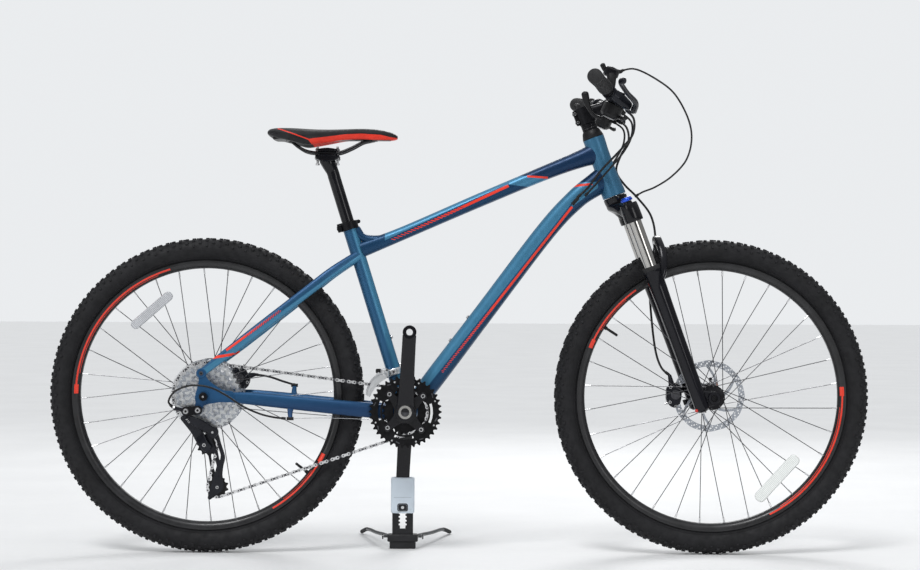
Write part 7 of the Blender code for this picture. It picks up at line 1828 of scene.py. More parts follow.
def build_stem():
    """Stem: collar on the steerer, a blended body and a split bar clamp with four bolts."""
    piece = Piece("stem_and_spacers")
    metal, steel = "black_anodised", "steel"
    top = STEM_UP + 0.0200
    low = HEAD_TUBE + 0.0003
    piece.lathe(mm((14.6, 0), (23.6, 0), (23.8, 1), (20, 14), (17.4, 17.6), (14.6, 17.6))
                + [0, low], STEER_FOOT, STEER_UP, "plastic", sides=64, loop=True)
    for start in (low + 0.0178, low + 0.0231, low + 0.0282):
        piece.lathe(mm((14.6, 0), (16.8, 0), (17.2, 0.5), (17.2, 4.4), (16.8, 4.9), (14.6, 4.9))
                    + [0, start], STEER_FOOT, STEER_UP, metal, sides=56, loop=True)
    piece.lathe([(0.0146, low + 0.0333), (0.0180, low + 0.0333), (0.0190, low + 0.0340),
                 (0.0190, top - 0.0016), (0.0180, top - 0.0006), (0.0146, top - 0.0006)],
                STEER_FOOT, STEER_UP, metal, sides=56, loop=True)
    piece.lathe(mm((0.1, -3), (17.6, -3), (17.6, -1), (16.6, 0), (4, 0), (0.1, 0)) + [0, top],
                STEER_FOOT, STEER_UP, "gloss_black", sides=56)
    piece.bolt(steer(0, 0, top - 0.0022), STEER_UP, 0.0042, steel, 0.0018)
    path = smooth([steer(0.006, 0, STEM_UP), steer(0.026, 0, STEM_UP),
                   steer(0.044, 0, STEM_UP + 0.0004), BAR_CENTRE - STEER_AHEAD * 0.012], 28)
    piece.tube(path, mm(17.8, 16, 15, 17.5), metal, 40,
               wide=mm(16.5, 15, 16, 20.5), power=3.0, start=STEER_UP)
    piece.lathe(mm((16, -22), (20.4, -22), (21.3, -20.8), (21.3, 20.8), (20.4, 22),
                   (16, 22))[::-1], BAR_CENTRE, Y, metal, sides=64, loop=True)
    for side in (-1, 1):
        for rise in (-1, 1):
            boss = BAR_CENTRE + STEER_UP * rise * 0.0182 + Y * side * 0.0150
            piece.rods(boss - STEER_AHEAD * 0.0070, boss + STEER_AHEAD * 0.0098, 0.0046, metal, 20)
            piece.bolt(boss + STEER_AHEAD * 0.0096, STEER_AHEAD, 0.0038, steel, 0.0020)
        for up in (-0.0100, 0.0100):
            lug = steer(-0.0205, 0.0, STEM_UP + up)
            piece.rods(lug - Y * 0.0085, lug + Y * 0.0085, 0.0052, metal, 20)
            piece.bolt(lug + Y * side * 0.0084, Y * side, 0.0036, steel, 0.0018)
    place = axes(steer(-0.0190, 0.0, STEM_UP), STEER_UP, STEER_AHEAD)
    piece.prism(rounded_box(0.0110, 0.0150, 0.0030), 0.0340, place, metal, edge=0.0012)
    piece.make("steering", ["stem"], sharp=38)


def build_handlebar():
    """Bar: a round section carried along its bend, thick in the middle."""
    piece = Piece("handlebar_tube")
    y = np.concatenate([np.linspace(-0.366, -0.080, 40), np.linspace(-0.072, 0.072, 15),
                        np.linspace(0.080, 0.366, 40)])
    radius = np.interp(np.abs(y), mm(0, 45, 75, 120, 160, 370),
                       mm(15.9, 15.9, 15.2, 11.8, 11.1, 11.1))
    path = bar(y)
    soft = path.copy()
    soft[1:-1] = (path[:-2] + 2 * path[1:-1] + path[2:]) / 4
    piece.tube(soft, radius, "black_anodised", 40, start=Z)
    piece.make("steering", ["handlebar"])
    for side, name in ((-1, "grip_right"), (1, "grip_left")):
        grip = Piece(f"{name}_rubber")
        inner = bar(side * (BAR_HALF - GRIP_LENGTH))
        outer = bar(side * BAR_HALF)
        along = unit(outer - inner)
        length = float(np.linalg.norm(outer - inner))
        at = np.linspace(0.0020, length - 0.0012, 180)
        base = 0.0150 + 0.0006 * np.cos(at / length * math.tau)
        ribs = np.where((at > 0.012) & (at < length - 0.012),
                        0.00045 * np.sign(np.sin(at / 0.0030 * math.pi)), 0.0)
        edge = np.where(at < 0.009, 0.0012, 0.0) + np.where(at > length - 0.008, 0.0008, 0.0)
        profile = np.column_stack([np.minimum(base + ribs + edge, 0.0160), at])
        profile = np.vstack([[0.0114, 0.0003], [0.0145, 0.0003], profile,
                             [0.0140, length - 0.0002], [0.0001, length]])
        grip.lathe(profile, inner, along, "grip", sides=48)
        grip.ring((0.0114, 0.0162), 0.0060, inner + along * 0.0008, along, "black_anodised", 48)
        grip.make("steering", [name], sharp=60)


# the shifter's paddles: places from the bar's middle, half heights and half widths along them
PADDLES = (
    ("shift_paddle", mm((-43.2, 150, -43.1), (-58.2, 154, -35.1), (-71.2, 162, -14.1),
                        (-76.7, 168, 6.9)), mm(3.4, 3.4, 4.4, 7.4, 7.8), mm(5, 5, 6, 8, 7.8)),
    ("release_paddle", mm((-1.2, 158, -42.1), (6.8, 168, -45.6), (9.8, 180, -44.1)),
     mm(2.4, 2.8, 3.8), mm(3.4, 3.8, 4.6)))


def build_controls():
    """Brake mounts with reservoirs, shifters, paddles and the fork's remote."""
    lever_pivot = BAR_CENTRE + mm(18.8, 170, -22.1)
    tip = BAR_CENTRE + mm(-10.2, 305, 22.4)
    metal, steel, plastic = "forged_black", "steel", "plastic"
    for side, name in ((1, "left"), (-1, "right")):
        m = lambda point: np.asarray(point, float) * [1.0, side, 1.0]
        body = Piece(f"controls_{name}_bodies")
        mount = bar(0.1880)
        along = unit(bar(0.1980) - bar(0.1780))
        body.ring((0.0113, 0.0156), 0.0130, m(mount - along * 0.0065), m(along), metal, 48)
        root = lever_pivot + mm(-8, 2, 7)
        path = smooth([mount + mm(6, 0, -2), (mount + root) / 2 + mm(1, 0, 0),
                       root, root + mm(4, -4, -3)], 22)
        body.tube(m(path), mm(10.4, 13.4, 12.2, 9.2), metal, 32,
                  wide=mm(10, 13.6, 11.8, 9.6), power=3.2, start=Z, round_ends=0.5)
        lid = axes(m((mount + root) / 2 + mm(2, 0, 10.8)), (0.18, 0.0, 1.0), X)
        body.prism(rounded_box(0.0300, 0.0190, 0.0040, 6), 0.0026, lid, "gloss_black")
        for shift in (-0.0115, 0.0115):
            body.bolt(lid[:3, 3] + lid[:3, 0] * shift + lid[:3, 2] * 0.0012, lid[:3, 2], 0.0018,
                      steel, 0.0008, sides=12)
        shifter = BAR_CENTRE + mm(-18.2, 150, -26.1)
        shell = axes(m(shifter), (0.42, 0.0, 0.90), X)
        outline = smooth(mm((-18, -12), (-6, -18), (11, -16.8), (18.2, -6), (17.6, 9), (6, 17.8),
                            (-11, 16.8), (-18.2, 4)), 48, True)
        body.prism(outline * [1.12, 1.12 * side], 0.0320, shell, plastic, edge=0.0050)
        body.ring((0.0006, 0.0132), 0.0016, shell[:3, 3] - shell[:3, 2] * 0.0163, -shell[:3, 2],
                  "gloss_black", 40)
        body.bolt(shell[:3, 3] - shell[:3, 2] * 0.0176, -shell[:3, 2], 0.0034, steel, 0.0016)
        pod = axes(m(BAR_CENTRE + mm(8, 136, -11)), (0.30, side * 0.15, 0.94), X)
        body.prism(rounded_box(0.0300, 0.0250, 0.0110, 8), 0.0150, pod, "gloss_black", edge=0.0040)
        neck = smooth([shifter, bar(0.1520) + mm(2, 0, -13), mount + mm(8, -2, -7)], 18)
        body.tube(m(neck), mm(12, 11.2, 9), metal, 28, power=2.8)
        nozzle = BAR_CENTRE + mm(2.6, 139, -26.2)
        body.tube(m(smooth([shifter + mm(8, -5, 0), nozzle, nozzle + mm(8, -6, -5)], 12)),
                  mm(5.2, 4.6, 3.6), plastic, 20, round_ends=0.3)
        hose_end = BAR_CENTRE + mm(15, 152, -25)
        body.tube(m(smooth([root + mm(0, -6, -2), hose_end, hose_end + mm(7, -7, -7)], 12)),
                  mm(6.2, 5, 3.8), metal, 20, round_ends=0.3)
        if name == "right":
            post = bar(0.1650)
            axis = unit(bar(0.17) - bar(0.16))
            body.ring((0.0113, 0.0155), 0.0100, m(post - axis * 0.0050), m(axis), metal, 44)
            remote = BAR_CENTRE + mm(-20, 158, 54)
            body.tube(m(smooth([post + mm(0, 0, 10), post + mm(2, 0, 26), remote + mm(0, 2, -4.5)],
                               16)), mm(8.4, 9, 10.4), plastic, 28, power=2.8)
            head = axes(m(remote), (0.34, 0.0, 0.94), X)
            body.prism(rounded_box(0.0330, 0.0230, 0.0080, 8), 0.0200, head, "gloss_black",
                       edge=0.0036)
            body.ring((0.0010, 0.0090), 0.0016, head[:3, 3] + head[:3, 2] * 0.0095, head[:3, 2],
                      metal, 32)
            body.bolt(head[:3, 3] + head[:3, 2] * 0.0108, head[:3, 2], 0.0034, steel, 0.0018)
            body.tube(m(smooth([remote + mm(12, 0, 2), remote + mm(21, 0, 2),
                                (0.3430, 0.1560, 1.0520)], 10)), mm(5.6, 4.2, 3.2), plastic, 18)
        body.make("steering", [f"controls_{name}"], sharp=38)

        blade = Piece(f"brake_blade_{name}")
        hinge = lever_pivot + mm(9, -4, -6)
        path = smooth([hinge, lever_pivot + mm(10, 30, 8), lever_pivot + (tip - lever_pivot) * 0.60
                       + mm(6, 0, -2), tip + mm(1, -12, -2), tip + mm(6, 0, 1)], 44)
        blade.tube(m(path), mm(6.8, 7.4, 6.4, 5.8, 5.6, 6, 7), metal, 24,
                   wide=mm(6.8, 6.2, 5.2, 4.6, 4.4, 4.6, 5.6), power=2.6, start=Z, round_ends=0.9)
        blade.rods(m(hinge + mm(0, 0, 6.6)), m(hinge - mm(0, 0, 6.6)), 0.0036, steel, 20)
        blade.make(f"brake_lever_{name}", [f"brake_lever_{name}"])
        for part, points, radii, wides in PADDLES:
            paddle = Piece(f"{part}_{name}_tab")
            paddle.tube(m(smooth(BAR_CENTRE + points, 22)), radii, plastic, 20, wide=wides,
                        power=2.8, start=X, round_ends=0.8)
            paddle.make(f"{part}_{name}", [f"{part}_{name}"])
    lever = Piece("lockout_thumb_lever")
    hinge = BAR_CENTRE + mm(-30.2, -156, 52.9)
    lever.tube(smooth([hinge + mm(10, 0, -1), hinge + mm(-2, 0, 6), hinge + mm(-8.6, 0, 17.6)],
                      16), mm(4, 5, 5.6), plastic, 24, wide=mm(6, 7, 7.4), power=2.8, start=X,
               round_ends=0.7)
    lever.make("lockout_lever", ["lockout_lever"])


# ------------------------------------------------------------------ cables

# each cable: its radius, the body that carries it, and the places that its middle line passes
ROUTES = {
    "lockout_cable": (0.0020, "steering", mm(
        (342, -156, 1052), (375, -154, 1056), (420, -150, 1035), (460, -140, 1005),
        (490, -128, 955), (500, -115, 910), (490, -102, 865), (460, -90, 830), (425, -83, 807),
        (398, -78, 796))),
    "front_brake_hose": (0.0025, "steering", mm(
        (360, 150, 969), (378, 133, 950), (380, 108, 918), (362, 95, 885), (352, 93, 850),
        (370, 93, 820), (400, 94, 790), (430, 93, 750), (440, 90, 700), (433, 90, 650),
        (428, 89.5, 590), (431, 88, 530), (440, 80, 450), (452, 64, 410), (470, 52, 392))),
    "rear_brake_hose_front": (0.0025, "frame", mm(
        (356, -150, 969), (374, -130, 950), (374, -100, 920), (356, -70, 895), (338, -50, 875),
        (310, -38, 845), (282, -34, 808), (258, -34.5, 785))),
    "rear_shift_housing": (0.0022, "frame", mm(
        (344, -136, 966), (370, -112, 945), (372, -82, 915), (358, -56, 885), (330, -40, 850),
        (299, -36.5, 815), (274, -36.5, 788))),
    "front_shift_housing": (0.0022, "frame", mm(
        (344, 136, 966), (368, 110, 945), (368, 80, 915), (354, 56, 885), (330, 40, 850),
        (299, 36.5, 815), (274, 36.5, 788))),
    "rear_shift_loop": (0.0022, "frame", mm(
        (-378, -64.5, 299), (-405, -66, 302), (-435, -73, 310), (-470, -90, 327),
        (-505, -100, 351), (-540, -101, 368), (-580, -98, 372), (-615, -90, 360), (-632, -79, 337),
        (-623.5, -72.3, 322.4))),
    "rear_brake_hose_rear": (0.0025, "frame", mm(
        (-365, 65, 366), (-395, 65, 375), (-425, 64, 385), (-456, 60, 390))),
}


# where a cable bends with a joint: the body at its first end, the one at its last end, and the
# two places between which it turns from one to the other
BENDS = {
    "front_brake_hose": ("steering", "fork_lowers", (0.4300, 0.0930, 0.7500),
                         (0.4310, 0.0880, 0.5000)),
    "rear_brake_hose_front": ("steering", "frame", (0.3700, -0.1200, 0.9400),
                              (0.2700, -0.0345, 0.7950)),
    "rear_shift_housing": ("steering", "frame", (0.3650, -0.1180, 0.9500),
                           (0.2860, -0.0365, 0.8000)),
    "front_shift_housing": ("steering", "frame", (0.3650, 0.1180, 0.9500),
                            (0.2860, 0.0365, 0.8000)),
    "rear_shift_loop": ("frame", "derailleur_body", (-0.4700, -0.0900, 0.3270),
                        (-0.6200, -0.0740, 0.3260)),
}


def build_cables():
    """Housings: a round section along each route, with a crimped end cap at both ends."""
    dial = steer(LEG_AHEAD, -LEG_SIDE, -0.0120)
    for name, (radius, body, route) in ROUTES.items():
        if name == "lockout_cable":
            route = [*route, (dial[0] + 0.0200, -0.0700, dial[2] + 0.0020)]
        piece = Piece(f"{name}_housing")
        path = smooth(route, 30 * len(route))
        piece.tube(path, radius, "hose", 16)
        housing = piece.make(body, [name])
        ends = Piece(f"{name}_end_caps")
        cap = 8 if name == "lockout_cable" else 10
        for stretch in (path[:cap], path[-cap:]):
            ends.tube(stretch, radius + 0.0008, "plastic", 16)
            ends.tube(stretch[[3, 4, 5]], radius + 0.0011, "plastic", 16)
        caps = ends.make(body)
        if name in BENDS:
            for item in (housing, caps):
                item.parent = None
                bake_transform(item)


# ------------------------------------------------------------------ saddle

def saddle_place():
    """Middle of the saddle's rails: a little above the seatpost's clamp."""
    return seat(SEAT_TUBE + 0.1550) + Z * 0.0060


def saddle_finish():
    """Black cover with red side bands, fine leather grain and a stitched-looking red line."""
    made = Nodes("saddle_leather")
    split = made.node("ShaderNodeSeparateXYZ", [(0, made.coordinates.outputs["Object"])])
    origin = saddle_place()
    x = made.math("SUBTRACT", split.outputs["X"], float(origin[0]))
    z = made.math("SUBTRACT", split.outputs["Z"], float(origin[2]))
    # the band's upper edge rises from the wing to mid length and then follows the nose
    edge = made.node("ShaderNodeFloatCurve", [("Value", made.ramp(x, 0.0, 1.0, -0.135, 0.155))])
    curve = edge.mapping.curves[0]
    stops = [(0.0, 0.0), (0.30, 0.0), (0.33, 0.34), (0.36, 0.38), (0.466, 0.47), (0.602, 0.60),
             (0.722, 0.64), (0.870, 0.60), (0.945, 0.50), (1.0, 0.46)]
    curve.points[0].location, curve.points[1].location = stops[0], stops[-1]
    for stop in stops[1:-1]:
        curve.points.new(*stop)
    for point in curve.points:
        point.handle_type = "VECTOR"
    edge.mapping.update()
    top = made.ramp(edge.outputs[0], 0.010, 0.060, 0.0, 1.0)
    plane = (x, z)
    mask = made.math("MULTIPLY", made.math("LESS_THAN", z, top),
                     made.math("GREATER_THAN",
                               above(made, plane, (-0.0420, 0.0300), (-0.0290, 0.0120)), 0.0))
    thin = stripe(made, plane, (-0.1070, 0.0512), (-0.0380, 0.0265), 0.0013)
    mask = made.math("MAXIMUM", mask, thin)
    cells = made.node("ShaderNodeTexVoronoi", [("Vector", made.coordinates.outputs["Object"]),
                                               ("Scale", 620.0)]).outputs["Distance"]
    accent = settings().saddle_accent
    black = made.drift(34.0, 4.0, (0.007, 0.007, 0.008), (0.013, 0.013, 0.015))
    red = made.drift(60.0, 4.0, accent, shade(accent, 0.85))
    made.set(Base_Color=made.mix(mask, black, red),
             Roughness=made.ramp(made.noise(120.0, 4.0), 0.38, 0.56),
             Normal=made.bump(cells, 0.22, 0.0003), Specular_IOR_Level=0.28, Coat_Weight=0.05,
             Coat_Roughness=0.3)
    return made.material


def build_saddle():
    """Padded cover and its shell.

    Stations along the length give half width, top and bottom; each section is an arched top that
    falls to a rolled edge, with a shallow groove along the middle.
    """
    origin = saddle_place()
    table = mm((-131, 27, 47, 40.5), (-129, 33, 49.5, 37.5), (-125.5, 42, 51.6, 35),
               (-118, 52, 53.2, 31.5), (-107.5, 60, 54.2, 27.5), (-88, 68.2, 54.3, 22.5),
               (-67.5, 71, 53.8, 16.5), (-48, 69.2, 52.8, 11.2), (-30, 64, 51.9, 12.8),
               (-12, 56, 51.6, 15.8), (8, 46.8, 51.8, 19.5), (32.5, 37, 52.6, 24.2),
               (58, 30.2, 53.6, 26.8), (82.5, 26.2, 54, 27.5), (104, 23.6, 53, 26.2),
               (122.5, 21.2, 50.8, 26.2), (136, 18.8, 47.6, 26.6), (145.5, 16, 44.2, 27.8),
               (151.5, 12.6, 40.8, 29.6), (154.5, 8.2, 38.4, 32))
    rows = smooth(table, 90)
    turn = np.linspace(0, math.tau, 57)[:-1]
    cos, sin = np.cos(turn), np.sin(turn)
    across = np.sign(cos) * np.abs(cos) ** 0.72
    # upper half: an arch; lower half: a flat floor with tight corners
    rise = np.where(sin >= 0, np.abs(sin) ** 0.80, -np.abs(sin) ** 0.34)
    half_tall = (rows[:, 2] - rows[:, 3]) / 2
    middle = (rows[:, 2] + rows[:, 3]) / 2
    y = across[None, :] * rows[:, 1:2]
    z = middle[:, None] + half_tall[:, None] * rise[None, :]
    groove = np.exp(-(y / 0.0075) ** 2) * (rise[None, :] > 0.5)
    length = np.exp(-((rows[:, 0:1] + 0.015) / 0.060) ** 4)
    z = z - 0.0028 * groove * length
    # the underside is hollow between its two hanging edges
    hollow = np.clip(1.0 - (np.abs(y) / (rows[:, 1:2] * 0.86)) ** 4, 0.0, 1.0)
    floor = np.maximum(0.0, 0.0300 - rows[:, 3:4])
    z = z + np.where(rise[None, :] < 0, hollow * floor, 0.0)
    x = np.repeat(rows[:, :1], len(turn), axis=1)
    grid = np.stack([origin[0] + x, y, origin[2] + z], axis=-1)
    cover = Piece("saddle_cover_padded")
    cover.grid(grid, saddle_finish())
    item = cover.make("seatpost", ["saddle"], sharp=70)
    shell = Piece("saddle_base_shell")
    low = np.maximum(rows[:, 3], 0.0300)[8:-6]
    under = np.stack([np.stack([origin[0] + rows[8:-6, 0], rows[8:-6, 1] * 0.84 * share,
                                origin[2] + low - 0.0010 * (1 - share ** 2)], axis=-1)
                      for share in np.linspace(-1, 1, 21)], axis=1)
    shell.grid(np.concatenate([under, (under - mm(0, 0, 1.8))[:, ::-1]], axis=1), "plastic")
    for side in (-1, 1):
        shell.prism(rounded_box(0.0200, 0.0140, 0.0040), 0.0060,
                    axes(origin + [-0.0800, side * 0.0362, 0.0282], Z, X), "plastic", edge=0.0012)
    shell.prism(rounded_box(0.0220, 0.0260, 0.0060), 0.0050,
                axes(origin + mm(100, 0, 28.8), Z, X), "plastic", edge=0.0012)
    shell.make("seatpost", sharp=40)
    rails = Piece("saddle_wire_rails")
    half = mm((-81.5, 36.2, 30), (-77, 36, 24), (-66.5, 35, 15), (-47.5, 29, 4), (-26, 22, 0),
              (0, 22, 0), (26, 22, 0), (52.5, 20.5, 10), (77.5, 16.5, 23), (94.5, 13, 27),
              (100, 7, 27.5))
    whole = np.vstack([half, mm(102.5, 0, 27.5), half[::-1] * [1, -1, 1]])
    rails.tube(smooth(whole + origin, 130), 0.0035, "gloss_black", 20, start=Z)
    rails.make("seatpost", ["saddle_rails"])


def build_seatpost():
    """Post tube with a forged head, a two-bolt cradle and its yoke; and the seat collar."""
    piece = Piece("seatpost_and_clamp")
    metal, steel = "gloss_black", "steel"
    origin = saddle_place()
    piece.tube([seat(SEAT_TUBE - 0.1950), seat(SEAT_TUBE), seat(SEAT_TUBE + 0.1100)], 0.0136,
               metal, 48)
    clamp = origin - mm(0, 0, 6)
    neck = smooth([seat(SEAT_TUBE + 0.1040), seat(SEAT_TUBE + 0.1180), clamp - mm(0.3, 0, 11),
                   clamp - mm(0.5, 0, 6)], 26)
    piece.tube(neck, mm(13.6, 13.6, 15.8, 17.6), metal, 40,
               wide=mm(13.6, 13.6, 17.2, 19), power=2.2, start=X)
    cradle = axes(origin - Z * 0.0100, Y, X)
    outline = smooth(mm((-25.2, -1), (-23.8, 5.2), (0, 6.2), (23.8, 5.2), (25.2, -1), (15, -7.2),
                        (0, -9.6), (-15, -7.2)), 48, True)
    outline = outline * [1, 1 if cradle[2, 1] > 0 else -1]
    piece.prism(outline, 0.0560, cradle, metal, edge=0.0025)
    yoke = axes(origin + Z * 0.0073, Y, X)
    top = smooth(mm((-20.5, -3), (-19.5, 1), (0, 3.6), (19.5, 1), (20.5, -3), (0, -3.6)), 40, True)
    piece.prism(top * [1, 1 if yoke[2, 1] > 0 else -1], 0.0560, yoke, metal, edge=0.0014)
    for side in (-1, 1):
        for low in (-0.0046, 0.0046):
            place = axes(origin + [0, side * 0.0220, low], Z, X)
            piece.prism(rounded_box(0.0400, 0.0140, 0.0030), 0.0036, place, metal, edge=0.0008)
    piece.prism(rounded_box(0.0230, 0.0190, 0.0040), 0.0160, axes(origin, Z, X), metal)
    for ahead in (-0.0222, 0.0220):
        low = origin + [ahead, 0, -0.0228]
        piece.rods(low, low + Z * 0.0376, 0.0026, steel, 16)
        piece.bolt(low, -Z, 0.0044, steel, 0.0040)
        piece.rods(low + Z * 0.0300 - Y * 0.0090, low + Z * 0.0300 + Y * 0.0090, 0.0046, steel, 24)
        ear = origin + [ahead, 0, -0.0120]
        piece.rods(ear - Y * 0.0240, ear + Y * 0.0240, 0.0048, metal, 24)
        for side in (-1, 1):
            piece.bolt(ear + Y * side * 0.0238, Y * side, 0.0040, steel, 0.0016)
    piece.make("seatpost", ["seatpost"], sharp=38)

    collar = Piece("seat_collar_band")
    middle = seat(SEAT_TUBE - 0.0075)
    anodised = "black_anodised"
    collar.lathe(mm((15, -8), (19, -8), (19.8, -7), (19.8, 8.5), (19, 9.5), (15, 9.5))[::-1],
                 middle, SEAT_UP, anodised, sides=56, loop=True)
    ahead = np.cross(Y, SEAT_UP)
    lug = axes(middle - ahead * 0.0215, SEAT_UP, ahead)
    for side in (-1, 1):
        place = lug.copy()
        place[:3, 3] = lug[:3, 3] + Y * side * 0.0052
        collar.prism(rounded_box(0.0110, 0.0078, 0.0026), 0.0142, place, anodised)
    bolt = middle - ahead * 0.0220
    collar.rods(bolt - Y * 0.0140, bolt + Y * 0.0196, 0.0028, steel, 16)
    collar.rods(bolt - Y * 0.0150, bolt - Y * 0.0090, 0.0058, anodised, 24)
    collar.make("frame", ["seat_collar"])
    lever = Piece("seat_collar_handle")
    pivot = pivot_of("seat_collar_lever_open")
    lever.rods(pivot - SEAT_UP * 0.0060, pivot + SEAT_UP * 0.0060, 0.0060, anodised, 28)
    lever.tube(smooth([pivot, pivot + mm(20, 3, 6), pivot + mm(42, 2, 12)], 22),
               mm(5.8, 6, 5.6, 4.2), anodised, 20, wide=mm(4.4, 3.8, 3.6, 3.4),
               power=2.8, start=Z, round_ends=0.8)
    lever.make("seat_collar_lever", ["seat_collar_lever"])


# ------------------------------------------------------------------ stand

def stand_shell():
    """Pale grey moulded shell, darker in faint noisy patches towards its lower edge."""
    made = Nodes("stand_grey_shell")
    split = made.node("ShaderNodeSeparateXYZ", [(0, made.coordinates.outputs["Object"])])
    # darker in noise patches towards the bottom of the shell
    blotch = made.math("MULTIPLY", made.ramp(made.noise(70.0, 6.0), 0.0, 1.0, 0.52, 0.60),
                      made.ramp(split.outputs["Z"], 1.0, 0.0, 0.080, 0.115))
    grey = settings().stand_colour
    base = made.drift(22.0, 3.0, shade(grey, 0.96), shade(grey, 1.04))
    made.set(Base_Color=made.mix(blotch, base, shade(grey, 0.78)),
             Roughness=made.ramp(made.noise(140.0, 4.0), 0.34, 0.48),
             Normal=made.bump(made.noise(1400.0, 2.0), 0.12, 0.0002))
    return made.material


def shell_ring(outline_size, corner, z, centre_xy):
    """Level rounded rectangle at a height, as a row of points."""
    ring = rounded_box(*outline_size, corner, 8)
    return np.column_stack([ring + centre_xy, np.full(len(ring), z)])


# the stand's mast and base across the bicycle, and each leg's hinge and foot from its middle
POCKET_Y, MAST_Y, BASE_Y = 0.0752, 0.0760, 0.0830
LEG_HINGE, LEG_FOOT = 0.0388, 0.1050


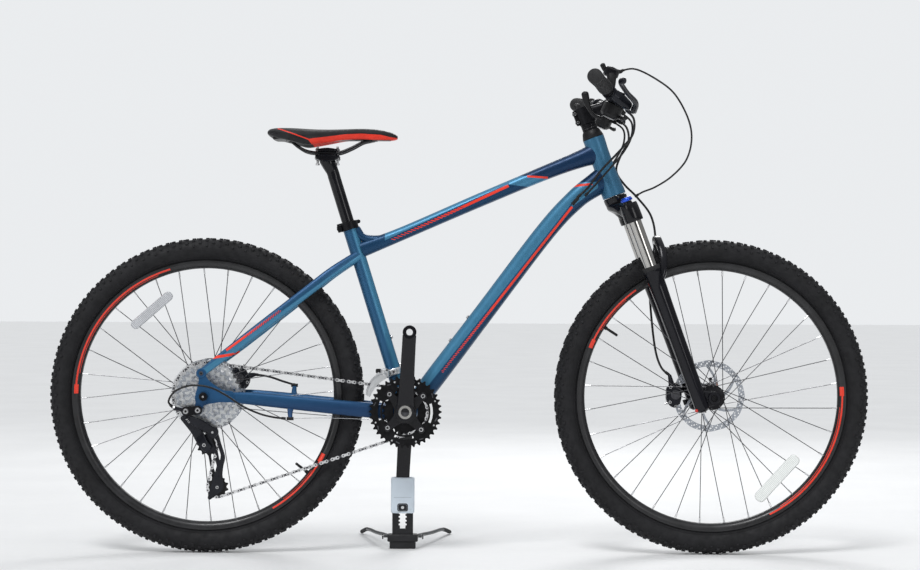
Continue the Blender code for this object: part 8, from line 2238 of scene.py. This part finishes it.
def build_stand():
    """Socket, button, notched mast and two folding legs.

    The socket's walls are rounded rectangles stacked up its height: outside up, over the rim and
    down the pocket's inside.
    """
    low, high = (np.array(corner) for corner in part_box("stand_socket"))
    middle = ((low + high) / 2)[:2]
    wide, deep = (high - low)[:2]
    shell, black = stand_shell(), "stand_plastic"
    socket = Piece("stand_socket_shell")
    floor = low[2] + 0.0437
    rows = [shell_ring((wide - 0.006, deep - 0.006), 0.0030, low[2], middle)]
    for z, cut_back in ((low[2] + 0.0010, 0.0030), (low[2] + 0.0034, 0.0), (low[2] + 0.0300, 0.0),
                        (high[2] - 0.0035, 0.0), (high[2] - 0.0012, 0.0020), (high[2], 0.0060)):
        rows.append(shell_ring((wide - cut_back, deep - cut_back), 0.0050, z, middle))
    inner = (middle[0] - 0.0004, POCKET_Y)
    for z, size in ((high[2] - 0.0004, 0.0006), (high[2] - 0.0016, 0.0), (floor, 0.0)):
        rows.append(shell_ring((wide - 0.0140 + size, 0.0180 + size), 0.0016, z, inner))
    socket.grid(np.stack(rows), shell)
    z_button = low[2] + 0.0134
    place = axes((middle[0], low[1] - 0.0001 + 0.0006, z_button), -Y, X)
    socket.plate(rounded_box(0.0240, 0.0180, 0.0050, 6), [rounded_box(0.0196, 0.0136, 0.0030, 6)],
                 0.0012, place, black)
    seam = axes((middle[0], low[1] + 0.0002, low[2] + 0.0360), -Y, X)
    socket.prism(rounded_box(wide - 0.0120, 0.0007, 0.0003), 0.0008, seam, "seam_grey",
                 edge=0.0001)
    for side in (-1, 1):
        screw = (middle[0] + side * (wide / 2 - 0.0022), middle[1], 0.1385)
        socket.bolt(screw, X * side, 0.0042, "steel", 0.0022)
    for x in (-0.0150, 0.0150):
        socket.bolt((middle[0] + x, high[1] - 0.0006, high[2] - 0.0180), Y, 0.0026,
                    "dark_steel", 0.0012)
    socket.make("stand_socket", ["stand_socket"], sharp=38)
    felt = Piece("stand_pocket_felt")
    for side in (-1, 1):
        pad = axes((inner[0], POCKET_Y + side * 0.0084, (floor + high[2]) / 2), Y, X)
        felt.prism(rounded_box(0.0340, high[2] - floor - 0.0060, 0.0020), 0.0009, pad,
                   "grip", edge=0.0003)
    felt.make("stand_socket")
    button = Piece("stand_release_button")
    place = axes((middle[0], centre("stand_lock_button")[1], z_button), -Y, X)
    size = extent("stand_lock_button")
    button.prism(rounded_box(size[0], size[2], 0.0030, 6), size[1], place, black, edge=0.0012)
    button.ring((0.0003, 0.0034), 0.0008, place[:3, 3] - Y * (size[1] / 2 - 0.0005), -Y,
               "silver", 32)
    button.make("stand_lock_button", ["stand_lock_button"])

    mast = Piece("stand_mast_and_base")
    blade_low, blade_top = 0.0300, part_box("stand_mast")[1][2]
    half, slot, step, rib_top = 0.02335, 0.0060, 0.0085, 0.0760
    left = []
    z = blade_low + 0.0215
    while z < blade_top - 0.0140:
        left += [(slot, z), (slot + 0.0030, z + 0.0012), (slot + 0.0030, z + step / 2),
                 (slot, z + step / 2 + 0.0012)]
        z += step
    line = [(-x, z_at) for x, z_at in left] + [(x, z_at) for x, z_at in reversed(left)]
    hole = np.array([(-slot, blade_low + 0.0150)] + line + [(slot, blade_low + 0.0150)])
    outline = np.array([(-half, blade_low), (half, blade_low), (half, blade_top - 0.003),
                        (half - 0.003, blade_top), (-half + 0.003, blade_top),
                        (-half, blade_top - 0.003)])
    mast.plate(outline, [hole], 0.0049, side_view(middle[0], MAST_Y, 0.0), black)
    for side in (-1, 1):
        rib = axes((middle[0] + side * (half - 0.0022), MAST_Y, (blade_low + rib_top) / 2), Z, X)
        mast.prism(rounded_box(0.0042, 0.0060, 0.0010), rib_top - blade_low, rib, black,
                   edge=0.0005)
    rows = [shell_ring((width, depth), 0.0048, z_at, (middle[0], BASE_Y))
            for z_at, width, depth in mm((0, 56, 21.5), (1.2, 58.5, 24), (15, 58.5, 24),
                                         (15.6, 65, 27), (17.2, 68.5, 30), (30, 68.5, 30),
                                         (31.8, 66.5, 28), (32.3, 62.5, 24))]
    mast.grid(np.stack(rows), black)
    for side in (-1, 1):
        pivot = np.array([middle[0] + side * LEG_HINGE, BASE_Y + 0.0090, 0.0274])
        for x in (-0.0062, 0.0062):
            ear = axes(pivot + X * x - Z * 0.0020, X, Z)
            mast.prism(smooth(mm((-8, -7), (5, -7.8), (9.8, 0), (5, 7.8), (-8, 7)), 32,
                              True) * [0.62, 1.0], 0.0028, ear, black, edge=0.0006)
        mast.rods(pivot - X * 0.0082, pivot + X * 0.0082, 0.0019, "steel", 16)
    mast.make("stand_mast", ["stand_mast"], sharp=35)
    for side, name in ((-1, "stand_leg_rear"), (1, "stand_leg_front")):
        leg = Piece(f"{name}_rod")
        pivot = np.array([middle[0] + side * LEG_HINGE, BASE_Y + 0.0090, 0.0274])
        reach = middle[0] + side * 0.0398 + side * (LEG_FOOT - LEG_HINGE) * 0.72
        path = smooth([pivot, pivot + mm(0, 20, -0.6), ((pivot[0] + reach) / 2, 0.2020, 0.0223),
                       (reach, 0.3100, 0.0180), (middle[0] + side * LEG_FOOT, 0.3805, 0.0046)], 60)
        leg.tube(path, 0.0040, "grey_rod", 24, round_ends=0.4)
        leg.tube(path[-14:-1], 0.0046, "grip", 24, round_ends=0.6)
        leg.rods(pivot - X * 0.0040, pivot + X * 0.0040, 0.0047, "grey_rod", 28)
        leg.make(name, [name])


# ------------------------------------------------------------------ stage

def build_stage_set():
    """Pale floor, white surround for the camera, four soft lamps and the side-on camera."""
    scene = bpy.context.scene
    floor_paint = Nodes("studio_floor")
    floor_paint.set(Base_Color=floor_paint.drift(3.0, 4.0, (0.77, 0.775, 0.78),
                                                 (0.80, 0.805, 0.81)),
                    Roughness=floor_paint.ramp(floor_paint.noise(40.0, 4.0), 0.52, 0.66))
    size = 30.0
    corners = [(-size, -8.0, -0.0002), (size, -8.0, -0.0002), (size, size, -0.0002),
               (-size, size, -0.0002)]
    mesh = bpy.data.meshes.new("studio_floor_sheet")
    mesh.from_pydata(corners, [], [(0, 1, 2, 3)])
    mesh.materials.append(floor_paint.material)
    sheet = bpy.data.objects.new("studio_floor_sheet", mesh)
    scene.collection.objects.link(sheet)

    world = bpy.data.worlds.new("studio")
    scene.world = world
    world.use_nodes = True
    tree = world.node_tree
    background = tree.nodes["Background"]
    background.inputs["Color"].default_value = (0.96, 0.98, 1.0, 1.0)
    paths = tree.nodes.new("ShaderNodeLightPath")
    place = tree.nodes.new("ShaderNodeTexCoord")
    split = tree.nodes.new("ShaderNodeSeparateXYZ")
    tree.links.new(place.outputs["Generated"], split.inputs[0])
    height = tree.nodes.new("ShaderNodeMapRange")
    height.inputs["To Min"].default_value = settings().sky_light * 0.10
    height.inputs["To Max"].default_value = settings().sky_light
    tree.links.new(split.outputs["Z"], height.inputs["Value"])
    strength = tree.nodes.new("ShaderNodeMix")
    tree.links.new(paths.outputs["Is Camera Ray"], strength.inputs[0])
    tree.links.new(height.outputs[0], strength.inputs[2])
    strength.inputs[3].default_value = 0.86
    tree.links.new(strength.outputs[0], background.inputs["Strength"])
    for name, kind, start, aim, size, power in (
            ("key", "SUN", (-0.7, -1.6, 2.4), (0.0, 0.0, 0.0), 0.35, 1.5),
            ("fill", "AREA", (2.6, -4.2, 1.6), (0.1, 0.0, 0.5), 1.6, 22.0),
            ("side", "AREA", (-3.0, -3.6, 1.2), (0.0, 0.0, 0.5), 1.4, 16.0),
            ("rim", "AREA", (0.6, 3.0, 2.6), (0.0, 0.0, 0.6), 1.6, 40.0)):
        data = bpy.data.lights.new(name, kind)
        if kind == "SUN":
            data.angle = size
        else:
            data.shape = "DISK"
            data.size = size
        data.energy = power * settings().lamp_power
        lamp = bpy.data.objects.new(f"lamp_{name}", data)
        lamp.location = start
        turn = (Vector(aim) - Vector(start)).to_track_quat("-Z", "Y")
        lamp.rotation_euler = turn.to_euler()
        scene.collection.objects.link(lamp)
    data = bpy.data.cameras.new("side_camera")
    data.sensor_width = 36.0
    data.lens = 88.5
    data.shift_x = 0.0005
    camera = bpy.data.objects.new("side_camera", data)
    camera.location = (0.0, -5.0, 0.592)
    camera.rotation_euler = (math.radians(90.0), math.radians(-0.23), 0.0)
    scene.collection.objects.link(camera)
    scene.camera = camera
    scene.view_settings.view_transform = "Standard"


# ------------------------------------------------------------------ add-on

class BicycleSettings(bpy.types.PropertyGroup):
    """Colours and lights that a user may want to change before dressing the bicycle."""

    paint_colour: FloatVectorProperty(
        name="Frame paint", description="Base colour of the frame's metallic paint",
        subtype="COLOR", size=3, min=0.0, max=1.0, default=(0.017, 0.088, 0.190))
    accent_colour: FloatVectorProperty(
        name="Accent lines", description="Colour of the painted lines on frame and rims",
        subtype="COLOR", size=3, min=0.0, max=1.0, default=(0.82, 0.045, 0.020))
    saddle_accent: FloatVectorProperty(
        name="Saddle bands", description="Colour of the saddle's side bands",
        subtype="COLOR", size=3, min=0.0, max=1.0, default=(0.78, 0.040, 0.020))
    tyre_colour: FloatVectorProperty(
        name="Tyre rubber", description="Colour of the tyres' casing and tread",
        subtype="COLOR", size=3, min=0.0, max=1.0, default=(0.013, 0.013, 0.015))
    stand_colour: FloatVectorProperty(
        name="Stand shell", description="Colour of the stand's moulded socket",
        subtype="COLOR", size=3, min=0.0, max=1.0, default=(0.66, 0.74, 0.82))
    lamp_power: FloatProperty(
        name="Lamp power", description="Brightness of all studio lamps together",
        min=0.0, max=5.0, default=1.0)
    sky_light: FloatProperty(
        name="Surround light", description="Strength of the white surround's own light",
        min=0.0, max=2.0, default=0.90)


class _Dress(bpy.types.Operator):
    """Base for the operators that build one group of pieces."""

    bl_options = {"REGISTER"}
    builders = ()

    def execute(self, context):
        for build in self.builders:
            build()
        return {"FINISHED"}


class BICYCLE_OT_frame(_Dress):
    """Build the painted frame with its fittings"""

    bl_idname = "bicycle.frame"
    bl_label = "Frame"
    builders = (build_frame,)


class BICYCLE_OT_wheels(_Dress):
    """Build tyres, rims, hubs, spokes, brake discs and reflectors"""

    bl_idname = "bicycle.wheels"
    bl_label = "Wheels"

    def execute(self, context):
        for end in ("front", "rear"):
            for build in (build_tyre, build_rim, build_hub, build_rotor):
                build(end)
        build_reflectors()
        return {"FINISHED"}


class BICYCLE_OT_fork(_Dress):
    """Build the suspension fork"""

    bl_idname = "bicycle.fork"
    bl_label = "Fork"
    builders = (build_fork,)


class BICYCLE_OT_axles(_Dress):
    """Build the front through axle and the rear quick release"""

    bl_idname = "bicycle.axles"
    bl_label = "Axles"
    builders = (build_axles,)


class BICYCLE_OT_brakes(_Dress):
    """Build both brake calipers"""

    bl_idname = "bicycle.brakes"
    bl_label = "Brake calipers"
    builders = (build_calipers,)


class BICYCLE_OT_drive(_Dress):
    """Build cranks, rings, bottom bracket, chain and cassette"""

    bl_idname = "bicycle.drive"
    bl_label = "Drive"
    builders = (build_crank_arms, build_large_ring, build_bottom_bracket, build_chain,
                build_cassette)


class BICYCLE_OT_derailleurs(_Dress):
    """Build both derailleurs with their pulleys"""

    bl_idname = "bicycle.derailleurs"
    bl_label = "Derailleurs"
    builders = (build_rear_derailleur, build_front_derailleur)


class BICYCLE_OT_cockpit(_Dress):
    """Build stem, handlebar, grips, levers and shifters"""

    bl_idname = "bicycle.cockpit"
    bl_label = "Cockpit"
    builders = (build_stem, build_handlebar, build_controls)


class BICYCLE_OT_cables(_Dress):
    """Build the held brake hoses and shift housings"""

    bl_idname = "bicycle.cables"
    bl_label = "Cables"
    builders = (build_cables,)


class BICYCLE_OT_seat(_Dress):
    """Build seatpost, seat collar, saddle rails and the padded saddle"""

    bl_idname = "bicycle.seat"
    bl_label = "Seat"
    builders = (build_seatpost, build_saddle)


class BICYCLE_OT_stand(_Dress):
    """Build the folding display stand"""

    bl_idname = "bicycle.stand"
    bl_label = "Display stand"
    builders = (build_stand,)


class BICYCLE_OT_stage(_Dress):
    """Set out floor, lamps and camera"""

    bl_idname = "bicycle.stage"
    bl_label = "Stage"
    builders = (build_stage_set,)


OPERATORS = (BICYCLE_OT_frame, BICYCLE_OT_wheels, BICYCLE_OT_fork, BICYCLE_OT_axles,
             BICYCLE_OT_brakes, BICYCLE_OT_drive, BICYCLE_OT_derailleurs, BICYCLE_OT_cockpit,
             BICYCLE_OT_cables, BICYCLE_OT_seat, BICYCLE_OT_stand, BICYCLE_OT_stage)


class BICYCLE_PT_panel(bpy.types.Panel):
    """Lists the colours and every group of pieces"""

    bl_label = "Bicycle on stand"
    bl_idname = "BICYCLE_PT_panel"
    bl_space_type = "VIEW_3D"
    bl_region_type = "UI"
    bl_category = "Bicycle"

    def draw(self, context):
        look = context.scene.bicycle
        for name in ("paint_colour", "accent_colour", "saddle_accent", "tyre_colour",
                     "stand_colour", "lamp_power", "sky_light"):
            self.layout.prop(look, name)
        for operator in OPERATORS:
            self.layout.operator(operator.bl_idname)


CLASSES = (BicycleSettings, *OPERATORS, BICYCLE_PT_panel)


def register():
    for kind in CLASSES:
        bpy.utils.register_class(kind)
    bpy.types.Scene.bicycle = PointerProperty(type=BicycleSettings)


def unregister():
    del bpy.types.Scene.bicycle
    for kind in reversed(CLASSES):
        bpy.utils.unregister_class(kind)


def main():
    register()
    for operator in OPERATORS:
        group, name = operator.bl_idname.split(".")
        result = getattr(getattr(bpy.ops, group), name)()
        if result != {"FINISHED"}:
            raise RuntimeError(f"{operator.bl_idname} did not finish")
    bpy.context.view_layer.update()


if __name__ == "__main__":
    main()
